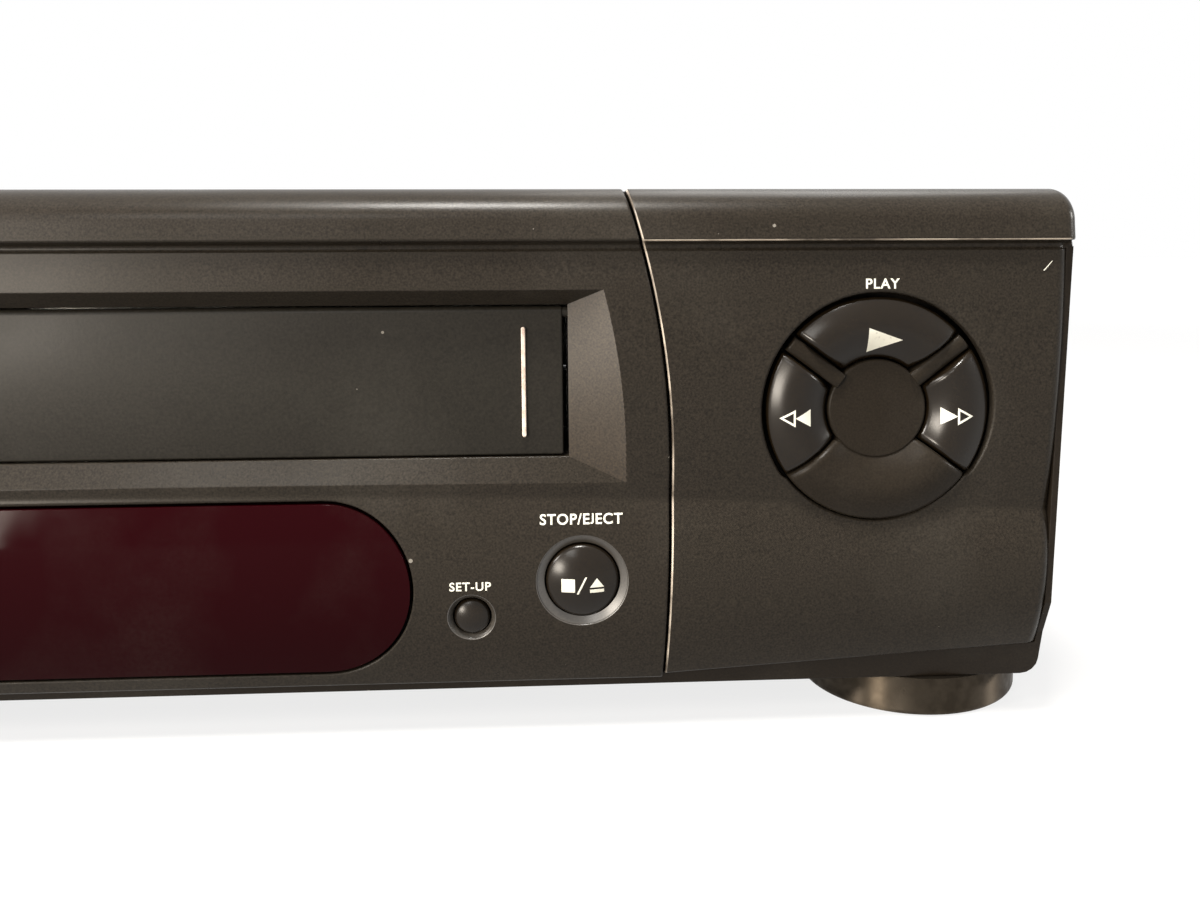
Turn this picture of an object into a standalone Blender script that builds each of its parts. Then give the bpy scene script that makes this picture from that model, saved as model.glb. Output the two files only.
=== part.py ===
"""A front-loading video cassette recorder, built as an assembly of separate parts.

The frame: X runs along the front from left to right, Y runs from the front to the back, Z is up.
The origin is under the middle of the recorder, on the surface that its feet stand on.
Points are written as (x, depth, z), where depth is the distance behind the foremost line of the front.
"""

import math

import bmesh
import bpy
from mathutils import Matrix, Vector

MM = 0.001

# Driving dimensions of the cassette, and of the door that it passes
CASSETTE_WIDTH = 187 * MM
CASSETTE_HEIGHT = 25 * MM
DOOR_SIDE_ROOM = 1.2 * MM
DOOR_HEIGHT_ROOM = 2.8 * MM
DOOR_BOTTOM = 53.6 * MM
DOOR_DEPTH = 5 * MM
DOOR_WIDTH = CASSETTE_WIDTH + 2 * DOOR_SIDE_ROOM
DOOR_HEIGHT = CASSETTE_HEIGHT + DOOR_HEIGHT_ROOM

# Driving dimensions of the tape deck
DECK_HEIGHT = 24 * MM
LOADING_TRAVEL = 55 * MM
DROP_TRAVEL = 21 * MM
REEL_SPACING = 92 * MM
REEL_DEPTH = 120 * MM
DRUM_DEPTH = 213 * MM
DRUM_RADIUS = 31 * MM
DRUM_TILT = math.radians(6)
CAPSTAN_X = 56 * MM
CAPSTAN_DEPTH = 178 * MM
DECK_REAR_MARGIN = 8 * MM
DECK_REAR_DEPTH = DRUM_DEPTH + DRUM_RADIUS + DECK_REAR_MARGIN

# Driving dimensions of the cabinet: its width and height follow the door, its depth the deck
CABINET_FLOOR = 8 * MM
GROOVE_ABOVE_DOOR = 10 * MM
GROOVE_WIDTH = 1.8 * MM
BAND_HEIGHT = 9.8 * MM
DOOR_TO_SEAM = 19.9 * MM
END_PANEL_WIDTH = 75.4 * MM
REAR_SPACE = 26 * MM
AERIAL_REACH = 9 * MM
COVER_DEPTH = 16.3 * MM
SEAM_SPAN = DOOR_WIDTH / 2 + DOOR_TO_SEAM
HALF_WIDTH = SEAM_SPAN + END_PANEL_WIDTH
GROOVE_BOTTOM = DOOR_BOTTOM + DOOR_HEIGHT + GROOVE_ABOVE_DOOR
BAND_BOTTOM = GROOVE_BOTTOM + GROOVE_WIDTH
CABINET_TOP = BAND_BOTTOM + BAND_HEIGHT
REAR_PANEL_DEPTH = DECK_REAR_DEPTH + REAR_SPACE

# Driving dimensions of the front
RING_OFFSET = 0.9 * MM
RING_Z = 62.4 * MM
RING_RADIUS = 20.9 * MM
RING_X = SEAM_SPAN + END_PANEL_WIDTH / 2 + RING_OFFSET
CHANNEL_X = -RING_X
CHANNEL_Z = 62.4 * MM
CHANNEL_RADIUS = 14 * MM
BIG_KEY_TO_SEAM = 16.6 * MM
BIG_KEY_Z = 30.5 * MM
BIG_KEY_X = SEAM_SPAN - BIG_KEY_TO_SEAM
KEY_SPACING = 20.5 * MM
SMALL_KEY_Z = 24 * MM
SMALL_KEY_X = BIG_KEY_X - KEY_SPACING
WINDOW_TO_KEY = 10.8 * MM
WINDOW_SPAN = SMALL_KEY_X - WINDOW_TO_KEY
WINDOW_BOTTOM = 13.2 * MM
WINDOW_TOP = 45.6 * MM

# Clearances and walls shared by many pieces
GAP = 0.3 * MM
OVERRUN = 2 * MM
BITE = 0.5 * MM
PANEL_WALL = 2.2 * MM
KEY_TRAVEL = 1.2 * MM

# How many facets round parts have
FOOT_SIDES = 28
WIDE_SIDES = 22
ROUND_SIDES = 12
SMALL_SIDES = 10
PIN_SIDES = 8
POST_SIDES = 6

FRONT_Y = -(REAR_PANEL_DEPTH + AERIAL_REACH) / 2


# Materials

def finish(name, colour, roughness, metallic=0.0):
    """A plain surface finish: base colour, roughness and metallic value."""
    material = bpy.data.materials.new(name)
    material.use_nodes = True
    shader = material.node_tree.nodes["Principled BSDF"]
    shader.inputs["Base Color"].default_value = (*colour, 1.0)
    shader.inputs["Roughness"].default_value = roughness
    shader.inputs["Metallic"].default_value = metallic
    material.diffuse_color = (*colour, 1.0)
    return material


def make_finishes():
    """Every finish that the recorder's parts are made in."""
    return {
        "front_plastic": finish("front_plastic", (0.045, 0.040, 0.034), 0.45),
        "end_plastic": finish("end_plastic", (0.045, 0.040, 0.034), 0.42),
        "frame_plastic": finish("frame_plastic", (0.030, 0.027, 0.023), 0.5),
        "door_plastic": finish("door_plastic", (0.034, 0.034, 0.029), 0.38),
        "key_plastic": finish("key_plastic", (0.018, 0.017, 0.015), 0.35),
        "window_plastic": finish("window_plastic", (0.055, 0.008, 0.014), 0.08),
        "painted_steel": finish("painted_steel", (0.030, 0.028, 0.026), 0.55, 0.1),
        "zinc_steel": finish("zinc_steel", (0.55, 0.55, 0.52), 0.35, 1.0),
        "machined_alloy": finish("machined_alloy", (0.70, 0.70, 0.70), 0.22, 1.0),
        "cast_alloy": finish("cast_alloy", (0.50, 0.50, 0.50), 0.45, 1.0),
        "polished_steel": finish("polished_steel", (0.65, 0.64, 0.62), 0.15, 1.0),
        "foot_metal": finish("foot_metal", (0.16, 0.12, 0.085), 0.22, 1.0),
        "foot_rubber": finish("foot_rubber", (0.02, 0.02, 0.02), 0.8),
        "tray_plastic": finish("tray_plastic", (0.05, 0.05, 0.05), 0.55),
        "deck_plastic": finish("deck_plastic", (0.07, 0.07, 0.07), 0.45),
        "white_plastic": finish("white_plastic", (0.70, 0.69, 0.64), 0.4),
        "socket_plastic": finish("socket_plastic", (0.03, 0.03, 0.03), 0.4),
        "roller_rubber": finish("roller_rubber", (0.025, 0.025, 0.025), 0.7),
        "board": finish("board", (0.23, 0.13, 0.05), 0.5),
        "display_glass": finish("display_glass", (0.05, 0.08, 0.08), 0.1),
        "core_steel": finish("core_steel", (0.20, 0.18, 0.17), 0.5, 0.6),
    }


# Shapes: every builder below returns a bmesh of closed bodies in (x, depth, z)

def along_x(u, v, w):
    """Outline (depth, z), extruded along x."""
    return (w, u, v)


def along_depth(u, v, w):
    """Outline (x, z), extruded along the depth."""
    return (u, w, v)


def along_z(u, v, w):
    """Outline (x, depth), extruded upwards."""
    return (u, v, w)


def loft(rings, closed_ends=True):
    """A skin over rings of equal point count, with flat ends or joined end to start."""
    shape = bmesh.new()
    rows = [[shape.verts.new(point) for point in ring] for ring in rings]
    pairs = list(zip(rows, rows[1:]))
    if not closed_ends:
        pairs.append((rows[-1], rows[0]))
    count = len(rows[0])
    for low, high in pairs:
        for i in range(count):
            j = (i + 1) % count
            shape.faces.new((low[i], low[j], high[j], high[i]))
    if closed_ends:
        shape.faces.new(rows[0])
        shape.faces.new(rows[-1])
    bmesh.ops.recalc_face_normals(shape, faces=shape.faces)
    return shape


def prism(outline, axis, start, stop):
    """A flat outline extruded from start to stop along an axis."""
    return loft([[axis(u, v, w) for u, v in outline] for w in (start, stop)])


def block(low, high):
    """A plain bar between two corners, used for cuts and for small lugs."""
    outline = rectangle(low[0], low[2], high[0], high[2])
    return prism(outline, along_depth, low[1], high[1])


def turned(profile, centre, axis, steps):
    """A turned body: profile points (radius, height) run from the lower pole round to the upper."""
    shape = bmesh.new()
    rows = []
    for radius, height in profile:
        if radius == 0:
            rows.append([shape.verts.new(spot(centre, axis, 0, 0, height))])
            continue
        turns = (2 * math.pi * i / steps for i in range(steps))
        row = [spot(centre, axis, radius * math.cos(a), radius * math.sin(a), height) for a in turns]
        rows.append([shape.verts.new(point) for point in row])
    pairs = list(zip(rows, rows[1:]))
    if profile[0][0] > 0:
        pairs.append((rows[-1], rows[0]))
    for low, high in pairs:
        for i in range(steps):
            j = (i + 1) % steps
            corners = [low[i % len(low)], low[j % len(low)], high[j % len(high)], high[i % len(high)]]
            shape.faces.new(list(dict.fromkeys(corners)))
    bmesh.ops.recalc_face_normals(shape, faces=shape.faces)
    return shape


def spot(centre, axis, u, v, w):
    """A point at (u, v, w) from a centre, with w along the axis."""
    return tuple(c + p for c, p in zip(centre, axis(u, v, w)))


def pin(centre, axis, radius, start, stop, steps=PIN_SIDES):
    """A round bar along an axis."""
    return turned([(0, start), (radius, start), (radius, stop), (0, stop)], centre, axis, steps)


def together(*shapes):
    """Several separate bodies in one bmesh."""
    whole = bmesh.new()
    for shape in shapes:
        copy = {vert: whole.verts.new(vert.co) for vert in shape.verts}
        for face in shape.faces:
            whole.faces.new([copy[vert] for vert in face.verts])
        shape.free()
    return whole


def rectangle(u0, v0, u1, v1):
    """The corners of an upright rectangle."""
    return [(u0, v0), (u1, v0), (u1, v1), (u0, v1)]


def arc(u, v, radius, start, stop, steps):
    """Points on a circle about (u, v), with angles in degrees."""
    turns = (math.radians(start + (stop - start) * i / steps) for i in range(steps + 1))
    return [(u + radius * math.cos(a), v + radius * math.sin(a)) for a in turns]


def rounded(u0, v0, u1, v1, radius, steps=3):
    """An upright rectangle with round corners."""
    points = arc(u1 - radius, v0 + radius, radius, -90, 0, steps)
    points += arc(u1 - radius, v1 - radius, radius, 0, 90, steps)
    points += arc(u0 + radius, v1 - radius, radius, 90, 180, steps)
    points += arc(u0 + radius, v0 + radius, radius, 180, 270, steps)
    return points


def slot(u0, v0, u1, v1, radius, steps=4):
    """A slot with round ends from one point to another."""
    heading = math.degrees(math.atan2(v1 - v0, u1 - u0))
    points = arc(u1, v1, radius, heading - 90, heading + 90, steps)
    points += arc(u0, v0, radius, heading + 90, heading + 270, steps)
    return points


# Objects

def solid(name, shape, material, origin=(0, 0, 0), smooth=30):
    """One named part of the recorder, with its origin at a point of its own."""
    centre = Vector(origin)
    for vert in shape.verts:
        vert.co -= centre
    mesh = bpy.data.meshes.new(name)
    shape.to_mesh(mesh)
    shape.free()
    mesh.shade_smooth()
    mesh.set_sharp_from_angle(angle=math.radians(smooth))
    mesh.materials.append(material)
    piece = bpy.data.objects.new(name, mesh)
    piece.location = centre + Vector((0, FRONT_Y, 0))
    bpy.context.scene.collection.objects.link(piece)
    return piece


def shape_with(piece, shape, operation):
    """Join a body to a part or cut it away, with a hidden tool that stays editable."""
    name = f"{piece.name}_{operation.lower()}_{len(piece.modifiers)}"
    mesh = bpy.data.meshes.new(name)
    shape.to_mesh(mesh)
    shape.free()
    tool = bpy.data.objects.new(name, mesh)
    tool.location = (0, FRONT_Y, 0)
    tool.hide_render = True
    tool.display_type = "WIRE"
    bpy.context.scene.collection.objects.link(tool)
    change = piece.modifiers.new(name, "BOOLEAN")
    change.operation = operation
    change.object = tool
    return piece


def join(piece, *shapes):
    """Fuse bodies onto a part."""
    for shape in shapes:
        shape_with(piece, shape, "UNION")
    return piece


def cut(piece, *shapes):
    """Take bodies away from a part."""
    for shape in shapes:
        shape_with(piece, shape, "DIFFERENCE")
    return piece


# The face: one profile for all three front panels.
# Seen from the side it has a rolled top band, a groove, a long upper swell, a crease and a chin.

BAND_FLAT = 9 * MM
BAND_LIP = 3.3 * MM
BAND_ROLL_BOTTOM = BAND_BOTTOM + BAND_LIP
BAND_ROLL_REACH = 8.6 * MM
GROOVE_DEPTH = 3 * MM
SWELL_TOP_DEPTH = 1.6 * MM
SWELL_RISE = 1.3 * MM
CREASE_HEIGHT = 47 * MM
CREASE_FALL = 5.3 * MM
CREASE_DEPTH = 3.2 * MM
CHIN_RISE = 2.8 * MM
CHIN_FOOT_DEPTH = 4.8 * MM
CENTRE_FOOT = 10.2 * MM
END_FOOT_INNER = 11 * MM
END_FOOT_OUTER = 15.4 * MM
FULL_TURN = 360
END_TAPER = 2.8 * MM
SEAM_TOP_LEAN = 8.3 * MM
SEAM_FOOT_LEAN = 1.5 * MM
SEAM_STRAIGHT = 52 * MM
SEAM_GAP = 0.5 * MM
EDGE_BREAK = 0.5 * MM
BAND_END_RADIUS = 3.4 * MM
FACE_END_RADIUS = 2.4 * MM
FACE_END_INSET = 1.9 * MM
RETURN_DEPTH = 5 * MM
FRAME_PLATE_DEPTH = 10 * MM
ROLL_STEPS = 4
SWELL_STEPS = 3
CHIN_STEPS = 4


def seam_x(z):
    """How far from the middle the seam between centre and end panel lies at a height."""
    if z > SEAM_STRAIGHT:
        return SEAM_SPAN - SEAM_TOP_LEAN * ((z - SEAM_STRAIGHT) / (CABINET_TOP - SEAM_STRAIGHT)) ** 2
    return SEAM_SPAN - SEAM_FOOT_LEAN * ((SEAM_STRAIGHT - z) / (SEAM_STRAIGHT - CABINET_FLOOR)) ** 2


def end_x(z):
    """The cabinet's half width at a height: the moulded ends draw in a little towards the floor."""
    return HALF_WIDTH - END_TAPER * max(0, BAND_BOTTOM - z) / (BAND_BOTTOM - CABINET_FLOOR)


def crease_z(x):
    """The crease falls away gently from the middle to the ends."""
    return CREASE_HEIGHT - CREASE_FALL * (x / HALF_WIDTH) ** 2


def end_foot(x):
    """Lower edge of an end panel, which rises towards the end."""
    share = (abs(x) - SEAM_SPAN) / (HALF_WIDTH - SEAM_SPAN)
    return END_FOOT_INNER + (END_FOOT_OUTER - END_FOOT_INNER) * share


def swell_depth(share):
    """Depth of the upper swell from the crease (0) to the groove (1)."""
    chord = CREASE_DEPTH + (SWELL_TOP_DEPTH - CREASE_DEPTH) * share
    return chord - SWELL_RISE * 4 * share * (1 - share)


def chin_depth(share):
    """Depth of the chin from the crease (0) to its foot (1)."""
    chord = CREASE_DEPTH + (CHIN_FOOT_DEPTH - CREASE_DEPTH) * share
    return chord - CHIN_RISE * 4 * share * (1 - share)


def face_depth(x, z, foot):
    """Depth of the face at a point, for a panel whose lower edge is at a given height."""
    crease = crease_z(x)
    if z > crease:
        return swell_depth((z - crease) / (GROOVE_BOTTOM - crease))
    return chin_depth((crease - z) / (crease - foot))


def face_rows():
    """Rows of the profile: (kind, share or point, inward direction, wall)."""
    rows = []
    wall = PANEL_WALL
    rows.append(("fixed", (COVER_DEPTH - GAP, CABINET_TOP), (0, -1), wall))
    roll_height = CABINET_TOP - BAND_ROLL_BOTTOM
    for i in range(ROLL_STEPS + 1):
        turn = math.radians(90 * i / ROLL_STEPS)
        depth = BAND_FLAT - BAND_ROLL_REACH * math.sin(turn)
        height = BAND_ROLL_BOTTOM + roll_height * math.cos(turn)
        rows.append(("fixed", (depth, height), (math.sin(turn), -math.cos(turn)), wall))
    rows.append(("fixed", (0, BAND_BOTTOM + EDGE_BREAK), (1, 0), wall + BITE))
    rows.append(("fixed", (EDGE_BREAK, BAND_BOTTOM), (1, 0), wall + BITE))
    middle = (BAND_BOTTOM + GROOVE_BOTTOM) / 2
    rows.append(("fixed", (GROOVE_DEPTH, middle), (1, 0), wall))
    for i in range(SWELL_STEPS + 1):
        rows.append(("swell", 1 - i / SWELL_STEPS, (1, 0), wall))
    for i in range(1, CHIN_STEPS + 1):
        rows.append(("chin", i / CHIN_STEPS, (1, 0), wall))
    return rows


def row_point(row, x, foot):
    """Depth and height of a profile row at a distance from the middle."""
    kind, value = row[0], row[1]
    if kind == "fixed":
        return value
    crease = crease_z(x)
    if kind == "swell":
        return swell_depth(value), crease + (GROOVE_BOTTOM - crease) * value
    return chin_depth(value), crease - (crease - foot) * value


def band_row(row):
    """Whether a row belongs to the top band."""
    return row[0] == "fixed" and row[1][1] > BAND_BOTTOM - EDGE_BREAK


def panel_shell(side, columns_at):
    """A closed shell over the face profile; columns_at gives each row's columns and foot."""
    outer = []
    inner = []
    for row in face_rows():
        outer_row = []
        inner_row = []
        for x, sunk_outer, x_inner, sunk_inner, foot in columns_at(row):
            depth, height = row_point(row, x, foot)
            inward_depth, inward_height = row[2]
            for points, at, sunk in ((outer_row, x, sunk_outer), (inner_row, x_inner, sunk_inner)):
                points.append((side * at, depth + inward_depth * sunk, height + inward_height * sunk))
        outer.append(outer_row)
        inner.append(inner_row)
    return shell(outer, inner)


def shell(outer, inner):
    """A closed wall between two grids of points of the same size."""
    shape = bmesh.new()
    grids = [[[shape.verts.new(point) for point in row] for row in grid] for grid in (outer, inner)]
    rows = len(outer)
    columns = len(outer[0])
    for grid in grids:
        for j in range(rows - 1):
            for i in range(columns - 1):
                shape.faces.new((grid[j][i], grid[j][i + 1], grid[j + 1][i + 1], grid[j + 1][i]))
    front, back = grids
    rim = [(0, i) for i in range(columns)]
    rim += [(j, columns - 1) for j in range(1, rows)]
    rim += [(rows - 1, i) for i in range(columns - 2, -1, -1)]
    rim += [(j, 0) for j in range(rows - 2, 0, -1)]
    for (j0, i0), (j1, i1) in zip(rim, rim[1:] + rim[:1]):
        shape.faces.new((front[j0][i0], front[j1][i1], back[j1][i1], back[j0][i0]))
    bmesh.ops.recalc_face_normals(shape, faces=shape.faces)
    return shape


def row_height(row):
    """A typical height of a row, used to find where the seam crosses it."""
    return row_point(row, SEAM_SPAN, END_FOOT_INNER)[1]


# End panels: the right one holds the ring control, the left one the channel keys

END_COLUMN_SHARES = (0.5,)
END_ROUND_STEPS = 2
BOSS_RADIUS = 3 * MM
BOSS_EDGE = 9 * MM
BOSS_TOP_MARGIN = 5.5 * MM
CHEEK_WIDTH = 4 * MM
RING_HOLE_SIDES = 32


def end_panel_columns(row):
    """Columns of an end panel, from the seam to its rounded outer end and short return."""
    wall = row[3]
    height = row_height(row)
    start = seam_x(height) + SEAM_GAP / 2
    radius = BAND_END_RADIUS if band_row(row) else FACE_END_RADIUS
    stop = end_x(height) if band_row(row) else end_x(height) - FACE_END_INSET
    flat_end = stop - radius
    columns = [(start, EDGE_BREAK, start, wall, end_foot(start))]
    columns.append((start + EDGE_BREAK, 0, start + EDGE_BREAK, wall, end_foot(start)))
    for share in END_COLUMN_SHARES:
        x = start + (flat_end - start) * share
        columns.append((x, 0, x, wall, end_foot(x)))
    for i in range(END_ROUND_STEPS + 1):
        turn = math.radians(90 * i / END_ROUND_STEPS)
        x = flat_end + radius * math.sin(turn)
        x_inner = flat_end + (radius - wall) * math.sin(turn)
        sunk = radius * (1 - math.cos(turn))
        sunk_inner = radius - (radius - wall) * math.cos(turn)
        columns.append((x, sunk, x_inner, sunk_inner, end_foot(x)))
    columns.append((stop, RETURN_DEPTH, stop - wall, RETURN_DEPTH, end_foot(stop)))
    return columns


def band_cheek(side):
    """The solid end of the top band, inside its rounded corner; it closes the groove's end too."""
    points = []
    for row in face_rows():
        if band_row(row):
            (depth, height), inward = row[1], row[2]
            reach = BAND_END_RADIUS
            points.append((depth + inward[0] * reach, height + inward[1] * reach))
    rear = COVER_DEPTH - GAP
    points[0] = (rear, CABINET_TOP - BAND_END_RADIUS)
    bottom = (BAND_BOTTOM + GROOVE_BOTTOM) / 2
    points += [(points[-1][0], bottom), (rear, bottom)]
    stop = HALF_WIDTH - GAP / 2
    start = stop - CHEEK_WIDTH
    return prism(points, along_x, side * start, side * stop)


def panel_bosses(places, foot):
    """Posts behind a panel that stand on the carrier's plate."""
    stop = FRAME_PLATE_DEPTH - GAP
    posts = []
    for x, z in places:
        start = face_depth(abs(x), z, foot) + PANEL_WALL / 2
        posts.append(pin((x, 0, z), along_depth, BOSS_RADIUS, start, stop, POST_SIDES))
    return posts


def end_panel(name, side, ring_x, ring_z, ring_radius, material):
    """One end panel, cut for the round control that it carries."""
    panel = solid(name, panel_shell(side, end_panel_columns), material)
    join(panel, band_cheek(side))
    inner = SEAM_SPAN + BOSS_EDGE
    outer = HALF_WIDTH - BOSS_EDGE - FACE_END_RADIUS
    low = END_FOOT_OUTER + BOSS_EDGE
    high = GROOVE_BOTTOM - BOSS_TOP_MARGIN
    places = [(side * x, z) for x in (inner, outer) for z in (low, high)]
    join(panel, together(*panel_bosses(places, END_FOOT_INNER)))
    centre = (ring_x, 0, ring_z)
    radius = ring_radius + GAP
    return cut(panel, pin(centre, along_depth, radius, -OVERRUN, FRAME_PLATE_DEPTH, RING_HOLE_SIDES))


# Centre panel: door surround with sloped facets, display window and four key wells

SURROUND_ABOVE_DOOR = 4.8 * MM
SURROUND_BELOW_DOOR = 5 * MM
SURROUND_TOP_REACH = 7.6 * MM
SURROUND_REACH = 11.5 * MM
SURROUND_CURVE_RISE = 5.4 * MM
SURROUND_FACET_DEPTH = 4.7 * MM
SURROUND_FRONT_DEPTH = 1.3 * MM
SURROUND_WALL = 1.8 * MM
SURROUND_STEPS = 5
CENTRE_COLUMN_SHARES = (-0.45, 0.45)
BIG_KEY_RADIUS = 6.5 * MM
BIG_WELL_RADIUS = 8.1 * MM
SMALL_KEY_RADIUS = 3.3 * MM
SMALL_WELL_RADIUS = 4.1 * MM
WELL_DEPTH = 1.8 * MM
WELL_WALL = 1.4 * MM
WINDOW_STEPS = 8
CENTRE_BOSS_TO_SEAM = 42.6 * MM
HINGE_PIN_RADIUS = 1 * MM
HINGE_PIN_REACH = 2.4 * MM
DOOR_WALL = 2.4 * MM

SURROUND_TOP = DOOR_BOTTOM + DOOR_HEIGHT + SURROUND_ABOVE_DOOR
SURROUND_BOTTOM = DOOR_BOTTOM - SURROUND_BELOW_DOOR
SURROUND_TOP_SPAN = DOOR_WIDTH / 2 + SURROUND_TOP_REACH
SURROUND_SPAN = DOOR_WIDTH / 2 + SURROUND_REACH
SURROUND_CURVE_TOP = SURROUND_BOTTOM + SURROUND_CURVE_RISE
CENTRE_BOSS_X = SEAM_SPAN - CENTRE_BOSS_TO_SEAM
HINGE_Z = DOOR_BOTTOM + DOOR_HEIGHT - DOOR_WALL / 2
HINGE_DEPTH = DOOR_DEPTH + DOOR_WALL / 2
OPENING_HALF = DOOR_WIDTH / 2 + GAP
OPENING_BOTTOM = DOOR_BOTTOM - GAP
OPENING_TOP = DOOR_BOTTOM + DOOR_HEIGHT + GAP
WINDOW_RADIUS = (WINDOW_TOP - WINDOW_BOTTOM) / 2
WINDOW_MIDDLE = (WINDOW_TOP + WINDOW_BOTTOM) / 2


def centre_panel_columns(row):
    """Columns of the centre panel, from seam to seam."""
    wall = row[3]
    stop = seam_x(row_height(row)) - SEAM_GAP / 2
    flat_end = stop - EDGE_BREAK
    columns = [(-stop, EDGE_BREAK, -stop, wall, CENTRE_FOOT), (-flat_end, 0, -flat_end, wall, CENTRE_FOOT)]
    columns += [(flat_end * s, 0, flat_end * s, wall, CENTRE_FOOT) for s in CENTRE_COLUMN_SHARES]
    columns += [(flat_end, 0, flat_end, wall, CENTRE_FOOT), (stop, EDGE_BREAK, stop, wall, CENTRE_FOOT)]
    return columns


def surround_span(z):
    """Half width of the door surround's outer edge, which leans in towards the top."""
    share = max(0, (z - SURROUND_CURVE_TOP) / (SURROUND_TOP - SURROUND_CURVE_TOP))
    return SURROUND_SPAN - (SURROUND_SPAN - SURROUND_TOP_SPAN) * share ** 2


def surround_ring(depth, spread=0.0):
    """Outline of the sloped recess at a depth: the door opening at the back, the outer edge in front."""
    share = (SURROUND_FACET_DEPTH - depth) / (SURROUND_FACET_DEPTH - SURROUND_FRONT_DEPTH)
    points = []
    for side in (1, -1):
        heights = [i / SURROUND_STEPS for i in range(SURROUND_STEPS + 1)]
        for step in heights if side > 0 else reversed(heights):
            outer_z = SURROUND_BOTTOM + (SURROUND_TOP - SURROUND_BOTTOM) * step
            inner_z = OPENING_BOTTOM + (OPENING_TOP - OPENING_BOTTOM) * step
            x = OPENING_HALF + (surround_span(outer_z) - OPENING_HALF) * share + spread
            lift = spread * (2 * step - 1)
            points.append((side * x, depth, inner_z + (outer_z - inner_z) * share + lift))
    return points


def surround_body():
    """The thick wall that carries the facets; its front starts inside the panel's own wall."""
    back = FRAME_PLATE_DEPTH - GAP
    front = SURROUND_FRONT_DEPTH + PANEL_WALL
    front_ring = []
    for x, _, z in surround_ring(front, SURROUND_WALL):
        inside = face_depth(abs(x), z, CENTRE_FOOT) + PANEL_WALL / 2
        front_ring.append((x, min(front, inside), z))
    rear_ring = [(x, back, z) for x, _, z in surround_ring(SURROUND_FACET_DEPTH, 2 * SURROUND_WALL)]
    return loft([front_ring, rear_ring])


def surround_recess():
    """The sloped recess and the door opening behind it."""
    mouth = loft([surround_ring(-OVERRUN), surround_ring(SURROUND_FACET_DEPTH)])
    opening = block((-OPENING_HALF, SURROUND_FACET_DEPTH - BITE, OPENING_BOTTOM),
                    (OPENING_HALF, FRAME_PLATE_DEPTH + OVERRUN, OPENING_TOP))
    return mouth, opening


def window_outline(clearance, steps=WINDOW_STEPS):
    """The display window's outline: a bar with half-round ends."""
    reach = WINDOW_SPAN - WINDOW_RADIUS
    return slot(-reach, WINDOW_MIDDLE, reach, WINDOW_MIDDLE, WINDOW_RADIUS + clearance, steps)


def round_sides(radius):
    """Facets round a key or its well: more on a larger one."""
    return WIDE_SIDES if radius > SMALL_WELL_RADIUS else ROUND_SIDES


def key_well_body(x, z, well):
    """The cup behind the face in which a round key sits."""
    surface = face_depth(abs(x), z, CENTRE_FOOT)
    start = surface + PANEL_WALL / 2
    sides = round_sides(well)
    return pin((x, 0, z), along_depth, well + WELL_WALL, start, surface + WELL_DEPTH + PANEL_WALL, sides)


def key_well_cut(x, z, well, key):
    """The chamfered well and the hole for the key's cap."""
    surface = face_depth(abs(x), z, CENTRE_FOOT)
    floor = surface + WELL_DEPTH
    hole = key + GAP
    through = floor + PANEL_WALL + OVERRUN
    spread = (well - hole) * OVERRUN / WELL_DEPTH
    front = [(0, surface - OVERRUN), (well + spread, surface - OVERRUN), (hole, floor), (hole, through)]
    return turned(front + [(0, through)], (x, 0, z), along_depth, round_sides(well))


def key_places():
    """Round keys of the centre panel: place, well radius and cap radius."""
    big = (BIG_WELL_RADIUS, BIG_KEY_RADIUS)
    small = (SMALL_WELL_RADIUS, SMALL_KEY_RADIUS)
    return {
        "stop_eject_button": (BIG_KEY_X, BIG_KEY_Z, *big),
        "setup_button": (SMALL_KEY_X, SMALL_KEY_Z, *small),
        "standby_button": (-BIG_KEY_X, BIG_KEY_Z, *big),
        "record_button": (-SMALL_KEY_X, SMALL_KEY_Z, *small),
    }


def centre_panel(material):
    """The centre front panel."""
    panel = solid("centre_fascia", panel_shell(1, centre_panel_columns), material)
    places = key_places().values()
    join(panel, surround_body())
    join(panel, together(*[key_well_body(x, z, well) for x, z, well, key in places]))
    height = (GROOVE_BOTTOM + SURROUND_TOP) / 2
    bosses = panel_bosses([(x, height) for x in (-CENTRE_BOSS_X, 0, CENTRE_BOSS_X)], CENTRE_FOOT)
    join(panel, together(*bosses))
    cut(panel, *surround_recess())
    cut(panel, prism(window_outline(GAP), along_depth, -OVERRUN, FRAME_PLATE_DEPTH + OVERRUN))
    cut(panel, together(*[key_well_cut(*place) for place in places]))
    reach = DOOR_WIDTH / 2 + HINGE_PIN_REACH + GAP
    centre = (0, HINGE_DEPTH, HINGE_Z)
    return cut(panel, pin(centre, along_x, HINGE_PIN_RADIUS + GAP, -reach, reach, ROUND_SIDES))


def display_window(material):
    """The curved red lens in front of the display; it follows the chin."""
    reach = WINDOW_SPAN - WINDOW_RADIUS
    outer = []
    inner = []
    for i in range(WINDOW_STEPS + 1):
        turn = math.radians(90 - 180 * i / WINDOW_STEPS)
        z = WINDOW_MIDDLE + (WINDOW_RADIUS - BITE / 2) * math.sin(turn)
        half = reach + (WINDOW_RADIUS - BITE / 2) * max(0, math.cos(turn))
        depth = face_depth(0, z, CENTRE_FOOT)
        outer.append([(x, depth, z) for x in (-half, -reach, reach, half)])
        inner.append([(x, depth + PANEL_WALL, z) for x in (-half, -reach, reach, half)])
    return solid("display_window", shell(outer, inner), material)


# Keys: caps with a stem that passes the carrier's plate and stops short of a switch

STEM_RADIUS = 1.7 * MM
SWITCH_FACE_DEPTH = 13.4 * MM
CAP_CROWN = 1.1 * MM
CAP_SINK = 0.5 * MM
CAP_SKIRT = 3.4 * MM
CAP_STEPS = 3
STEM_TIP_DEPTH = SWITCH_FACE_DEPTH - KEY_TRAVEL - GAP


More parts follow.
